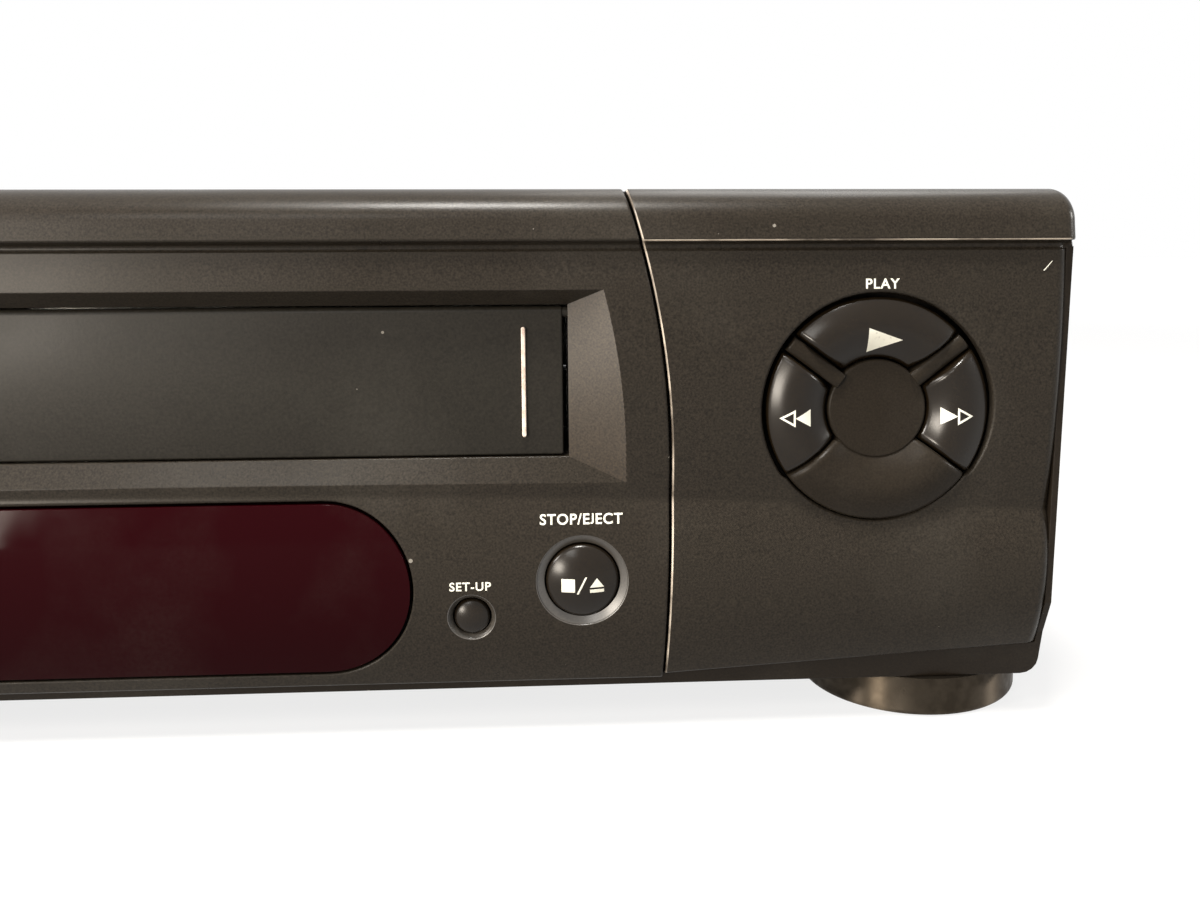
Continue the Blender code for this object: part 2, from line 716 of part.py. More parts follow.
def round_key(name, material):
    """A round key with a crowned cap."""
    x, z, well, radius = key_places()[name]
    rim = face_depth(abs(x), z, CENTRE_FOOT) + CAP_SINK
    crown = CAP_CROWN * radius / BIG_KEY_RADIUS
    profile = [(0, rim - crown)]
    for i in range(1, CAP_STEPS + 1):
        turn = math.radians(90 * i / CAP_STEPS)
        profile.append((radius * math.sin(turn), rim - crown * math.cos(turn)))
    profile += [(radius, rim + CAP_SKIRT), (STEM_RADIUS, rim + CAP_SKIRT)]
    profile += [(STEM_RADIUS, STEM_TIP_DEPTH), (0, STEM_TIP_DEPTH)]
    shape = turned(profile, (x, 0, z), along_depth, round_sides(radius))
    return solid(name, shape, material, (x, rim, z))


# Ring controls: a fixed hub with spokes, and keys between the spokes

HUB_RADIUS = 8.8 * MM
HUB_DEPTH = 3.1 * MM
SPOKE_WIDTH = 3 * MM
SPOKE_DEPTH = 1.5 * MM
RING_INNER_DEPTH = 3 * MM
RING_OUTER_DEPTH = 2 * MM
RING_CROWN = 2.35 * MM
RING_SKIRT_DEPTH = 6 * MM
RING_GAP = 0.35 * MM
RING_PROFILE_STEPS = 5
RING_FACET = 3.6 * MM
UPPER_SPOKE_LEFT = 143
UPPER_SPOKE_RIGHT = 38
LOWER_GAP_LEFT = 216
LOWER_GAP_RIGHT = -36
CHANNEL_HUB_RADIUS = 4.6 * MM


def ring_section(inner, outer, skirt):
    """Section of a ring control's key: a rounded crown with straight sides."""
    points = []
    for i in range(RING_PROFILE_STEPS + 1):
        share = i / RING_PROFILE_STEPS
        radius = inner + (outer - inner) * share
        base = RING_INNER_DEPTH + (RING_OUTER_DEPTH - RING_INNER_DEPTH) * share
        points.append((radius, base - RING_CROWN * math.sin(math.pi * share)))
    return points + [(outer, skirt), (inner, skirt)]


def ring_piece(centre, section, start, stop):
    """A section swept round a centre; start and stop are (angle, offset from that radial line)."""
    outer = max(radius for radius, depth in section)
    sweep = math.ceil(math.radians(stop[0] - start[0]) * outer / RING_FACET)
    rings = []
    for i in range(sweep + 1):
        ring = []
        for radius, depth in section:
            low = math.radians(start[0]) + math.asin(start[1] / radius)
            high = math.radians(stop[0]) - math.asin(stop[1] / radius)
            angle = low + (high - low) * i / sweep
            ring.append((centre[0] + radius * math.cos(angle), depth, centre[1] + radius * math.sin(angle)))
        rings.append(ring)
    return loft(rings)


def ring_key(name, centre, inner, outer, start, stop, material):
    """One key of a ring control, with its stem."""
    section = ring_section(inner + RING_GAP, outer, RING_SKIRT_DEPTH)
    angle = math.radians((start[0] + stop[0]) / 2)
    radius = (inner + outer) / 2
    x = centre[0] + radius * math.cos(angle)
    z = centre[1] + radius * math.sin(angle)
    key = solid(name, ring_piece(centre, section, start, stop), material, (x, RING_OUTER_DEPTH, z))
    return join(key, pin((x, 0, z), along_depth, STEM_RADIUS, RING_SKIRT_DEPTH - BITE, STEM_TIP_DEPTH))


def spoke(centre, inner, outer, angle):
    """A straight bar from the hub to the rim, with a rounded front."""
    half = SPOKE_WIDTH / 2
    back = FRAME_PLATE_DEPTH - GAP
    section = [(-half, back), (-half, SPOKE_DEPTH + half / 2), (-half / 2, SPOKE_DEPTH)]
    section += [(half / 2, SPOKE_DEPTH), (half, SPOKE_DEPTH + half / 2), (half, back)]
    along = Vector((math.cos(math.radians(angle)), math.sin(math.radians(angle))))
    across = Vector((-along.y, along.x))
    rings = []
    for radius in (inner - OVERRUN, outer - GAP):
        ring = []
        for offset, depth in section:
            flat = Vector(centre) + along * radius + across * offset
            ring.append((flat.x, depth, flat.y))
        rings.append(ring)
    return loft(rings)


def ring_base(name, centre, hub, outer, spokes, lower, material):
    """Fixed hub, spokes and, on the big ring, the blank lower segment; one moulding."""
    back = FRAME_PLATE_DEPTH - GAP
    dish = HUB_DEPTH + EDGE_BREAK
    profile = [(0, dish), (hub - 2 * EDGE_BREAK, dish), (hub - EDGE_BREAK, HUB_DEPTH), (hub, dish)]
    shape = turned(profile + [(hub, back), (0, back)], (centre[0], 0, centre[1]), along_depth, WIDE_SIDES)
    base = solid(name, shape, material)
    for angle in spokes:
        join(base, spoke(centre, hub, outer, angle))
    if lower:
        section = ring_section(hub - BITE, outer, back)
        join(base, ring_piece(centre, section, *lower))
    return base


def ring_control(finishes):
    """The round control of the right end panel."""
    centre = (RING_X, RING_Z)
    outer = RING_RADIUS
    side = SPOKE_WIDTH / 2 + RING_GAP
    seam = RING_GAP / 2
    lower = ((LOWER_GAP_LEFT, seam), (LOWER_GAP_RIGHT + FULL_TURN, seam))
    spokes = (UPPER_SPOKE_RIGHT, UPPER_SPOKE_LEFT)
    material = finishes["key_plastic"]
    ring_base("control_ring_base", centre, HUB_RADIUS, outer, spokes, lower, material)
    keys = {
        "play_button": ((UPPER_SPOKE_RIGHT, side), (UPPER_SPOKE_LEFT, side)),
        "rewind_button": ((UPPER_SPOKE_LEFT, side), (LOWER_GAP_LEFT, seam)),
        "forward_button": ((LOWER_GAP_RIGHT, seam), (UPPER_SPOKE_RIGHT, side)),
    }
    for name, (start, stop) in keys.items():
        ring_key(name, centre, HUB_RADIUS, outer, start, stop, material)


def channel_control(finishes):
    """The round pair of channel keys of the left end panel."""
    centre = (CHANNEL_X, CHANNEL_Z)
    side = SPOKE_WIDTH / 2 + RING_GAP
    material = finishes["key_plastic"]
    ring_base("channel_ring_base", centre, CHANNEL_HUB_RADIUS, CHANNEL_RADIUS, (0, 180), None, material)
    keys = {"channel_up_button": (0, 180), "channel_down_button": (180, 360)}
    for name, (start, stop) in keys.items():
        ring_key(name, centre, CHANNEL_HUB_RADIUS, CHANNEL_RADIUS, (start, side), (stop, side), material)


# Front carrier: the moulding that everything at the front is fixed to

FRAME_PLATE = 2 * MM
FRAME_FRONT_DEPTH = 2.6 * MM
FRAME_REAR_DEPTH = 24 * MM
FRAME_RIM = 1.3 * MM
FRAME_TOP = CABINET_TOP - PANEL_WALL - GAP
FRAME_CORNER = 3.2 * MM
LIP_FRONT_DEPTH = 5.4 * MM
LIP_REAR_DEPTH = 7.4 * MM
LIP_TOP = 17.2 * MM
THROAT_WALL = 1.8 * MM
DOOR_HEADROOM = 3.8 * MM
THROAT_REAR_DEPTH = 33.4 * MM
THROAT_HALF = OPENING_HALF + GAP
THROAT_BOTTOM = OPENING_BOTTOM - GAP
THROAT_TOP = OPENING_TOP + DOOR_HEADROOM
BOARD_DEPTH = 16.8 * MM
BOARD_WALL = 1.6 * MM
POST_RADIUS = 2.6 * MM
GLASS_TO_WINDOW = 18.7 * MM
GLASS_BOTTOM = 21.5 * MM
GLASS_TOP = 36.5 * MM
SCREEN_SIDE_MARGIN = 4 * MM
SCREEN_MARGIN = 1.5 * MM
GLASS_HALF = WINDOW_SPAN - GLASS_TO_WINDOW
SCREEN_HALF = GLASS_HALF + SCREEN_SIDE_MARGIN
SCREEN_BOTTOM = GLASS_BOTTOM - SCREEN_MARGIN
SCREEN_TOP = GLASS_TOP + SCREEN_MARGIN


def frame_outline(top):
    """Outline of the carrier: drawn-in ends, round lower corners, stepped in beside the band."""
    corner = FRAME_CORNER
    foot = end_x(CABINET_FLOOR)
    shoulder = (BAND_BOTTOM + GROOVE_BOTTOM) / 2 - GAP
    neck = HALF_WIDTH - CHEEK_WIDTH - 2 * GAP
    right = arc(foot - corner, CABINET_FLOOR + corner, corner, -90, 0, 4)
    right += [(end_x(shoulder), shoulder), (neck, shoulder), (neck, top)]
    left = [(-x, z) for x, z in reversed(right)]
    return right + left


def front_pocket():
    """The space in front of the carrier's plate: it holds the panels and follows their lower edges."""
    rim = FRAME_RIM
    high = FRAME_TOP + OVERRUN
    seam = seam_x(CENTRE_FOOT)
    half = []
    for x in (seam - GAP, seam + GAP):
        foot = CENTRE_FOOT if x < seam else END_FOOT_INNER
        half.append((x, foot - GAP))
    outer = end_x(END_FOOT_OUTER) - rim
    half.append((outer, end_foot(outer) - GAP))
    half += [(end_x(BAND_BOTTOM) - rim, BAND_BOTTOM), (end_x(BAND_BOTTOM) - rim, high)]
    outline = half + [(-x, z) for x, z in reversed(half)]
    return prism(outline, along_depth, -OVERRUN, FRAME_PLATE_DEPTH)


def spigot():
    """The stepped-in rear of the carrier, which the steel cover slides over."""
    half = TRAY_HALF - BITE
    neck = HALF_WIDTH - CHEEK_WIDTH - 2 * GAP
    shoulder = (BAND_BOTTOM + GROOVE_BOTTOM) / 2 - GAP
    right = [(half, CABINET_FLOOR + BITE), (half, shoulder), (neck, shoulder), (neck, FRAME_TOP)]
    outline = right + [(-x, z) for x, z in reversed(right)]
    return prism(outline, along_depth, COVER_DEPTH - OVERRUN, FRAME_REAR_DEPTH)


def rear_pocket():
    """The space behind the carrier's plate."""
    half = HALF_WIDTH - CHEEK_WIDTH - 2 * GAP - FRAME_PLATE
    outline = rectangle(-half, CABINET_FLOOR + FRAME_PLATE + BITE, half, FRAME_TOP - FRAME_PLATE)
    return prism(outline, along_depth, FRAME_PLATE_DEPTH + FRAME_PLATE, FRAME_REAR_DEPTH + OVERRUN)


def lip_wedge():
    """What is cut from the carrier's lower front, so that the lip slopes back under the panels."""
    lean = (LIP_REAR_DEPTH - LIP_FRONT_DEPTH) / (LIP_TOP - CABINET_FLOOR)
    low = CABINET_FLOOR - OVERRUN
    foot = LIP_REAR_DEPTH + lean * OVERRUN
    outline = [(-OVERRUN, low), (foot, low), (LIP_FRONT_DEPTH, LIP_TOP)]
    outline += [(FRAME_FRONT_DEPTH - GAP, LIP_TOP + LIP_REAR_DEPTH), (-OVERRUN, LIP_TOP + LIP_REAR_DEPTH)]
    reach = HALF_WIDTH + OVERRUN
    return prism(outline, along_x, -reach, reach)


def stem_places():
    """Where key stems pass the carrier's plate."""
    places = [(x, z) for x, z, well, key in key_places().values()]
    ring = [(RING_X, RING_Z, HUB_RADIUS, RING_RADIUS, (UPPER_SPOKE_RIGHT + UPPER_SPOKE_LEFT) / 2)]
    ring.append((RING_X, RING_Z, HUB_RADIUS, RING_RADIUS, (UPPER_SPOKE_LEFT + LOWER_GAP_LEFT) / 2))
    ring.append((RING_X, RING_Z, HUB_RADIUS, RING_RADIUS, (LOWER_GAP_RIGHT + UPPER_SPOKE_RIGHT) / 2))
    ring += [(CHANNEL_X, CHANNEL_Z, CHANNEL_HUB_RADIUS, CHANNEL_RADIUS, angle) for angle in (90, 270)]
    for x, z, inner, outer, angle in ring:
        radius = (inner + outer) / 2
        turn = math.radians(angle)
        places.append((x + radius * math.cos(turn), z + radius * math.sin(turn)))
    return places


def throat_tube():
    """The short tunnel behind the door that leads a cassette to the basket."""
    start = FRAME_PLATE_DEPTH + FRAME_PLATE - BITE
    wall = THROAT_WALL
    outer = rectangle(-THROAT_HALF - wall, THROAT_BOTTOM - wall, THROAT_HALF + wall, THROAT_TOP + wall)
    return prism(outer, along_depth, start, THROAT_REAR_DEPTH)


def front_frame(material):
    """The carrier with its rim, lip, plate, throat and board posts."""
    shape = prism(frame_outline(FRAME_TOP), along_depth, FRAME_FRONT_DEPTH, COVER_DEPTH - GAP)
    frame = solid("front_frame", shape, material)
    join(frame, spigot())
    cut(frame, front_pocket(), rear_pocket(), lip_wedge())
    join(frame, throat_tube())
    low, high = (-THROAT_HALF, THROAT_BOTTOM), (THROAT_HALF, THROAT_TOP)
    throat = rectangle(*low, *high)
    cut(frame, prism(throat, along_depth, FRAME_PLATE_DEPTH - OVERRUN, THROAT_REAR_DEPTH + OVERRUN))
    screen = rounded(-SCREEN_HALF, SCREEN_BOTTOM, SCREEN_HALF, SCREEN_TOP, POST_RADIUS)
    start, stop = FRAME_PLATE_DEPTH - OVERRUN, FRAME_PLATE_DEPTH + FRAME_PLATE + OVERRUN
    cut(frame, prism(screen, along_depth, start, stop))
    holes = [pin((x, 0, z), along_depth, STEM_RADIUS + GAP, start, stop) for x, z in stem_places()]
    cut(frame, together(*holes))
    start = FRAME_PLATE_DEPTH + FRAME_PLATE - BITE
    stop = BOARD_DEPTH - GAP
    places = front_post_places()
    posts = [pin((x, 0, z), along_depth, POST_RADIUS, start, stop, POST_SIDES) for x, z in places]
    return join(frame, together(*posts))


# Boards behind the carrier

FRONT_BOARD_TO_SEAM = 8.6 * MM
FRONT_BOARD_BOTTOM = 12.5 * MM
FRONT_BOARD_TOP = 48 * MM
FRONT_POST_TO_WINDOW_END = 2.7 * MM
KEY_BOARD_TO_SEAM = 1.4 * MM
KEY_BOARD_TO_END = 10 * MM
KEY_BOARD_BOTTOM = 36 * MM
KEY_BOARD_TOP = 89 * MM
POST_EDGE = 4 * MM
SWITCH_HALF = 3 * MM
SWITCH_HEIGHT = 2.4 * MM
GLASS_WALL = 3.4 * MM
FRONT_BOARD_HALF = SEAM_SPAN - FRONT_BOARD_TO_SEAM
FRONT_POST_X = WINDOW_SPAN - FRONT_POST_TO_WINDOW_END
KEY_BOARD_INNER = SEAM_SPAN + KEY_BOARD_TO_SEAM
KEY_BOARD_OUTER = HALF_WIDTH - KEY_BOARD_TO_END


def front_post_places():
    """Where the carrier's posts meet the three boards."""
    low = FRONT_BOARD_BOTTOM + POST_EDGE
    high = FRONT_BOARD_TOP - POST_EDGE
    places = [(side * FRONT_POST_X, z) for side in (-1, 1) for z in (low, high)]
    low = KEY_BOARD_BOTTOM + POST_EDGE
    high = KEY_BOARD_TOP - POST_EDGE
    inner = KEY_BOARD_INNER + POST_EDGE
    outer = KEY_BOARD_OUTER - POST_EDGE
    places += [(side * x, z) for side in (-1, 1) for x in (inner, outer) for z in (low, high)]
    return places


def switch(x, z):
    """A push switch on the front of a board, with its round plunger."""
    start = BOARD_DEPTH - SWITCH_HEIGHT
    half = SWITCH_HALF
    case = prism(rectangle(x - half, z - half, x + half, z + half), along_depth, start, BOARD_DEPTH + BITE)
    plunger = pin((x, 0, z), along_depth, STEM_RADIUS, SWITCH_FACE_DEPTH, start + BITE, POST_SIDES)
    return case, plunger


def board(name, outline, switches, material):
    """A circuit board behind the carrier, with its switches."""
    piece = solid(name, prism(outline, along_depth, BOARD_DEPTH, BOARD_DEPTH + BOARD_WALL), material)
    cases = []
    plungers = []
    for x, z in switches:
        case, plunger = switch(x, z)
        cases.append(case)
        plungers.append(plunger)
    return join(piece, together(*cases), together(*plungers))


def boards(finishes):
    """The front board and the two key boards."""
    places = stem_places()
    half = FRONT_BOARD_HALF
    outline = rounded(-half, FRONT_BOARD_BOTTOM, half, FRONT_BOARD_TOP, POST_RADIUS)
    board("front_board", outline, places[:4], finishes["board"])
    low, high = KEY_BOARD_BOTTOM, KEY_BOARD_TOP
    outline = rounded(KEY_BOARD_INNER, low, KEY_BOARD_OUTER, high, POST_RADIUS)
    board("right_key_board", outline, places[4:7], finishes["board"])
    outline = rounded(-KEY_BOARD_OUTER, low, -KEY_BOARD_INNER, high, POST_RADIUS)
    board("left_key_board", outline, places[7:], finishes["board"])
    glass = rounded(-GLASS_HALF, GLASS_BOTTOM, GLASS_HALF, GLASS_TOP, POST_RADIUS)
    start = BOARD_DEPTH - GAP - GLASS_WALL
    solid("display_tube", prism(glass, along_depth, start, BOARD_DEPTH - GAP), finishes["display_glass"])


# Cassette door: a flap with a full-round top edge, hinged on two pins

RIB_EDGE = 7.2 * MM
RIB_WIDTH = 0.8 * MM
RIB_HEIGHT = 20.5 * MM
RIB_RISE = 0.3 * MM
DOOR_BOW = 0.5 * MM
DOOR_STEPS = 5
STIFFENER_HEIGHT = 1.4 * MM
STIFFENER_WALL = 1.2 * MM
STIFFENER_SHARES = (0.02, 0.45)
RIB_X = DOOR_WIDTH / 2 - RIB_EDGE


def cassette_door(material):
    """The door, with its origin on the hinge axis."""
    half = DOOR_WIDTH / 2
    radius = DOOR_WALL / 2
    outline = [(DOOR_DEPTH + DOOR_WALL, HINGE_Z)]
    outline += arc(HINGE_DEPTH, HINGE_Z, radius, 0, 180, 6)[1:]
    for i in range(1, DOOR_STEPS + 1):
        share = i / DOOR_STEPS
        bow = DOOR_BOW * 4 * share * (1 - share)
        outline.append((DOOR_DEPTH - bow + DOOR_BOW / 2 * share, HINGE_Z - (HINGE_Z - DOOR_BOTTOM) * share))
    outline.append((DOOR_DEPTH + DOOR_WALL, DOOR_BOTTOM))
    door = solid("cassette_door", prism(outline, along_x, -half, half), material, (0, HINGE_DEPTH, HINGE_Z))
    pins = [pin((0, HINGE_DEPTH, HINGE_Z), along_x, HINGE_PIN_RADIUS, side * (half - OVERRUN),
                side * (half + HINGE_PIN_REACH), SMALL_SIDES) for side in (-1, 1)]
    join(door, together(*pins))
    middle = (DOOR_BOTTOM + HINGE_Z) / 2
    low, high = middle - RIB_HEIGHT / 2, middle + RIB_HEIGHT / 2
    ribs = []
    for x in (-RIB_X, RIB_X):
        rib = slot(x, low + RIB_WIDTH, x, high - RIB_WIDTH, RIB_WIDTH / 2)
        ribs.append(prism(rib, along_depth, DOOR_DEPTH - DOOR_BOW - RIB_RISE, DOOR_DEPTH + BITE))
    join(door, together(*ribs))
    back = DOOR_DEPTH + DOOR_WALL
    stiffeners = []
    for share in STIFFENER_SHARES:
        z = DOOR_BOTTOM + (HINGE_Z - DOOR_BOTTOM) * share
        low = (-half + OVERRUN, back - BITE, z)
        high = (half - OVERRUN, back + STIFFENER_HEIGHT, z + STIFFENER_WALL)
        stiffeners.append(block(low, high))
    return join(door, together(*stiffeners))


# Cabinet: chassis tray, steel cover, rear panel and feet

TRAY_FRONT_DEPTH = FRAME_REAR_DEPTH + GAP
TRAY_WALL = 2 * MM
TRAY_HEIGHT = 14 * MM
COVER_WALL = 1 * MM
COVER_INSET = 1.5 * MM
COVER_BEND = 3 * MM
COVER_SKIRT = 12 * MM
REAR_WALL = 1 * MM
REAR_FLANGE = 9 * MM
VENT_WIDTH = 3 * MM
VENT_LENGTH = 34 * MM
VENT_PITCH = 8 * MM
TOP_VENT_COUNT = 7
TOP_VENT_EDGE = 18.5 * MM
TOP_VENT_TO_REAR = 66 * MM
SIDE_VENT_COUNT = 5
SIDE_VENT_TO_REAR = 128 * MM
SIDE_VENT_BOTTOM = 52 * MM
SIDE_VENT_LENGTH = 28 * MM
TRAY_VENT_COUNT = 5
TRAY_VENT_EDGE = 22.2 * MM
TRAY_VENT_TO_REAR = 98 * MM
BOARD_LIFT = 2 * MM
DECK_WALL = 1.2 * MM
DECK_FRONT_DEPTH = 38 * MM
DECK_POST_RADIUS = 3.4 * MM
DECK_POST_EDGE = 7 * MM
FOOT_RADIUS = 23 * MM
FOOT_SIDE_MARGIN = 0.5 * MM
FOOT_DEPTH = 30.5 * MM
FOOT_EDGE = 1.2 * MM
FOOT_RECESS = 1.5 * MM
FOOT_RING = 3.6 * MM
REAR_FOOT_RADIUS = 11 * MM
REAR_FOOT_SIDE_MARGIN = 19 * MM
REAR_FOOT_TO_REAR = 32 * MM

# How far out the cassette, its basket, sled and rails reach, and the deck under them
HOLD_CLEARANCE = 0.7 * MM
BASKET_WALL = 1.5 * MM
SLED_WALL = 1.2 * MM
RAIL_WALL = 1.4 * MM
RAIL_FOOT = 10 * MM
RAIL_EDGE = 3.1 * MM
BASKET_INNER = CASSETTE_WIDTH / 2 + HOLD_CLEARANCE
BASKET_OUTER = BASKET_INNER + BASKET_WALL
SLED_INNER = BASKET_OUTER + GAP
SLED_OUTER = SLED_INNER + SLED_WALL
RAIL_INNER = SLED_OUTER + GAP
RAIL_OUTER = RAIL_INNER + RAIL_WALL
DECK_HALF = RAIL_OUTER + RAIL_FOOT + RAIL_EDGE

FOOT_X = HALF_WIDTH - FOOT_RADIUS - FOOT_SIDE_MARGIN
REAR_FOOT_X = HALF_WIDTH - REAR_FOOT_RADIUS - REAR_FOOT_SIDE_MARGIN
REAR_FOOT_DEPTH = REAR_PANEL_DEPTH - REAR_FOOT_TO_REAR
COVER_HALF = HALF_WIDTH - COVER_INSET
TRAY_HALF = COVER_HALF - COVER_WALL - GAP
TRAY_REAR_DEPTH = REAR_PANEL_DEPTH - REAR_WALL - GAP
FLOOR_TOP = CABINET_FLOOR + TRAY_WALL
BOARD_BOTTOM = FLOOR_TOP + BOARD_LIFT
BOARD_TOP = BOARD_BOTTOM + BOARD_WALL
TUNER_REAR_DEPTH = TRAY_REAR_DEPTH - TRAY_WALL - GAP
TOP_VENT_X = TOP_VENT_EDGE - COVER_HALF
TOP_VENT_DEPTH = REAR_PANEL_DEPTH - TOP_VENT_TO_REAR
SIDE_VENT_DEPTH = REAR_PANEL_DEPTH - SIDE_VENT_TO_REAR
TRAY_VENT_X = TRAY_VENT_EDGE - TRAY_HALF
TRAY_VENT_DEPTH = REAR_PANEL_DEPTH - TRAY_VENT_TO_REAR


def vent_row(axis, start, stop, first, across, length, count):
    """A row of upright slots, one beside the other."""
    radius = VENT_WIDTH / 2
    slots = []
    for i in range(count):
        u = first + VENT_PITCH * i
        outline = slot(u, across + radius, u, across + length - radius, radius, 2)
        slots.append(prism(outline, axis, start, stop))
    return together(*slots)


def top_cover(material):
    """The folded steel cover, with vents on top, at the left rear, and in both sides."""
    outer = COVER_HALF
    inner = outer - COVER_WALL
    top = CABINET_TOP
    bend = COVER_BEND
    small = bend - COVER_WALL
    right = [(outer, COVER_SKIRT)] + arc(outer - bend, top - bend, bend, 0, 90, 4)
    back = [(-x, z) for x, z in reversed(right)]
    under = [(-inner, COVER_SKIRT)] + [(-x, z) for x, z in arc(outer - bend, top - bend, small, 0, 90, 4)]
    outline = right + back + under + [(-x, z) for x, z in reversed(under)]
    cover = solid("top_cover", prism(outline, along_depth, COVER_DEPTH, REAR_PANEL_DEPTH), material)
    low, high = top - COVER_WALL - OVERRUN, top + OVERRUN
    cut(cover, vent_row(along_z, low, high, TOP_VENT_X, TOP_VENT_DEPTH, VENT_LENGTH, TOP_VENT_COUNT))
    reach = HALF_WIDTH + OVERRUN
    cut(cover, vent_row(along_x, -reach, reach, SIDE_VENT_DEPTH, SIDE_VENT_BOTTOM, SIDE_VENT_LENGTH,
                        SIDE_VENT_COUNT))
    return cover


def deck_post_places():
    """Posts of the tray that carry the deck plate."""
    x = DECK_HALF - DECK_POST_EDGE
    depths = (DECK_FRONT_DEPTH + DECK_POST_EDGE, (DECK_FRONT_DEPTH + DECK_REAR_DEPTH) / 2,
              DECK_REAR_DEPTH - DECK_POST_EDGE)
    return [(side * x, depth) for side in (-1, 1) for depth in depths]


def chassis_tray(material):
    """The moulded tray under everything, with posts for the deck and the boards."""
    low = (-TRAY_HALF, TRAY_FRONT_DEPTH, CABINET_FLOOR)
    outline = rectangle(low[0], low[1], TRAY_HALF, TRAY_REAR_DEPTH)
    top = CABINET_FLOOR + TRAY_HEIGHT
    tray = solid("chassis_tray", prism(outline, along_z, CABINET_FLOOR, top), material)
    wall = TRAY_WALL
    inner = rectangle(low[0] + wall, low[1] + wall, TRAY_HALF - wall, TRAY_REAR_DEPTH - wall)
    cut(tray, prism(inner, along_z, FLOOR_TOP, top + OVERRUN))
    start = FLOOR_TOP - BITE
    tall, short = DECK_HEIGHT - GAP, BOARD_BOTTOM - GAP
    posts = [(place, DECK_POST_RADIUS, tall) for place in deck_post_places()]
    posts += [(place, POST_RADIUS, short) for place in board_lift_places()]
    posts = [pin((*place, 0), along_z, radius, start, stop, POST_SIDES) for place, radius, stop in posts]
    join(tray, together(*posts))
    low, high = CABINET_FLOOR - OVERRUN, FLOOR_TOP + OVERRUN
    cut(tray, vent_row(along_z, low, high, TRAY_VENT_X, TRAY_VENT_DEPTH, VENT_LENGTH, TRAY_VENT_COUNT))
    return tray


def feet(finishes):
    """Two large turned front feet with a metal finish, and two small rubber rear feet."""
    top = CABINET_FLOOR - GAP
    edge = FOOT_EDGE
    core = FOOT_RADIUS - FOOT_RING
    profile = [(0, FOOT_RECESS), (core, FOOT_RECESS), (core, 0), (FOOT_RADIUS - edge, 0), (FOOT_RADIUS, edge)]
    profile += [(FOOT_RADIUS, top), (0, top)]
    for name, side in (("front_foot_left", -1), ("front_foot_right", 1)):
        centre = (side * FOOT_X, FOOT_DEPTH, 0)
        solid(name, turned(profile, centre, along_z, FOOT_SIDES), finishes["foot_metal"])
    radius = REAR_FOOT_RADIUS
    profile = [(0, 0), (radius - edge, 0), (radius, edge), (radius + edge, top), (0, top)]
    for name, side in (("rear_foot_left", -1), ("rear_foot_right", 1)):
        centre = (side * REAR_FOOT_X, REAR_FOOT_DEPTH, 0)
        solid(name, turned(profile, centre, along_z, ROUND_SIDES), finishes["foot_rubber"])


# Rear: panel and sockets

SCART_WIDTH = 47 * MM
SCART_HEIGHT = 16 * MM
SCART_CORNER = 4 * MM
SCART_SPACING = 56 * MM
SCART_TO_AUDIO = 40 * MM
SCART_Z = 31 * MM
SCART_REACH = 1.5 * MM
SCART_LENGTH = 19 * MM
SCART_RIM = 2.2 * MM
SCART_HOLLOW = 7 * MM
CONTACT_COUNT = 10
CONTACT_PITCH = 3.8 * MM
CONTACT_WIDTH = 1.6 * MM
CONTACT_HEIGHT = 3.2 * MM
AUDIO_SPACING = 16 * MM
AUDIO_TO_TUNER = 30 * MM
AUDIO_Z = 30 * MM
AUDIO_RADIUS = 4.2 * MM
AUDIO_REACH = 7 * MM
AUDIO_LENGTH = 13 * MM
TUNER_TO_SIDE = 35.2 * MM
TUNER_WIDTH = 18 * MM
TUNER_LENGTH = 76.4 * MM
TUNER_TOP = 88 * MM
TUNER_SEAM_SHARES = (0.3, 0.7)
AERIAL_Z = (40 * MM, 66 * MM)
AERIAL_RADIUS = 4.8 * MM
INLET_TO_SIDE = 37.2 * MM
INLET_Z = 32 * MM
INLET_WIDTH = 24 * MM
INLET_HEIGHT = 16 * MM
INLET_LENGTH = 17 * MM
INLET_REACH = 1.2 * MM
INLET_PITCH = 8.6 * MM
INLET_LOBE = 4.4 * MM
INLET_HOLLOW = 12 * MM
INLET_PIN_RADIUS = 1.2 * MM
SOCKET_WALL = 2.4 * MM
TONGUE_HALF = 2.7 * MM

TUNER_X = TRAY_HALF - TUNER_TO_SIDE
TUNER_FRONT_DEPTH = TUNER_REAR_DEPTH - TUNER_LENGTH
AUDIO_X = (TUNER_X - AUDIO_TO_TUNER - AUDIO_SPACING, TUNER_X - AUDIO_TO_TUNER)
SCART_X = (AUDIO_X[0] - SCART_TO_AUDIO - SCART_SPACING, AUDIO_X[0] - SCART_TO_AUDIO)
INLET_X = INLET_TO_SIDE - TRAY_HALF


def scart_outline(x, inset):
    """A scart shell's outline: a long bar with one slanted end."""
    half = SCART_WIDTH / 2 - inset
    low, high = SCART_Z - SCART_HEIGHT / 2 + inset, SCART_Z + SCART_HEIGHT / 2 - inset
    slant = SCART_CORNER
    left, right = x - half, x + half
    return [(left, low + slant), (left + slant, low), (right, low), (right, high), (left, high)]


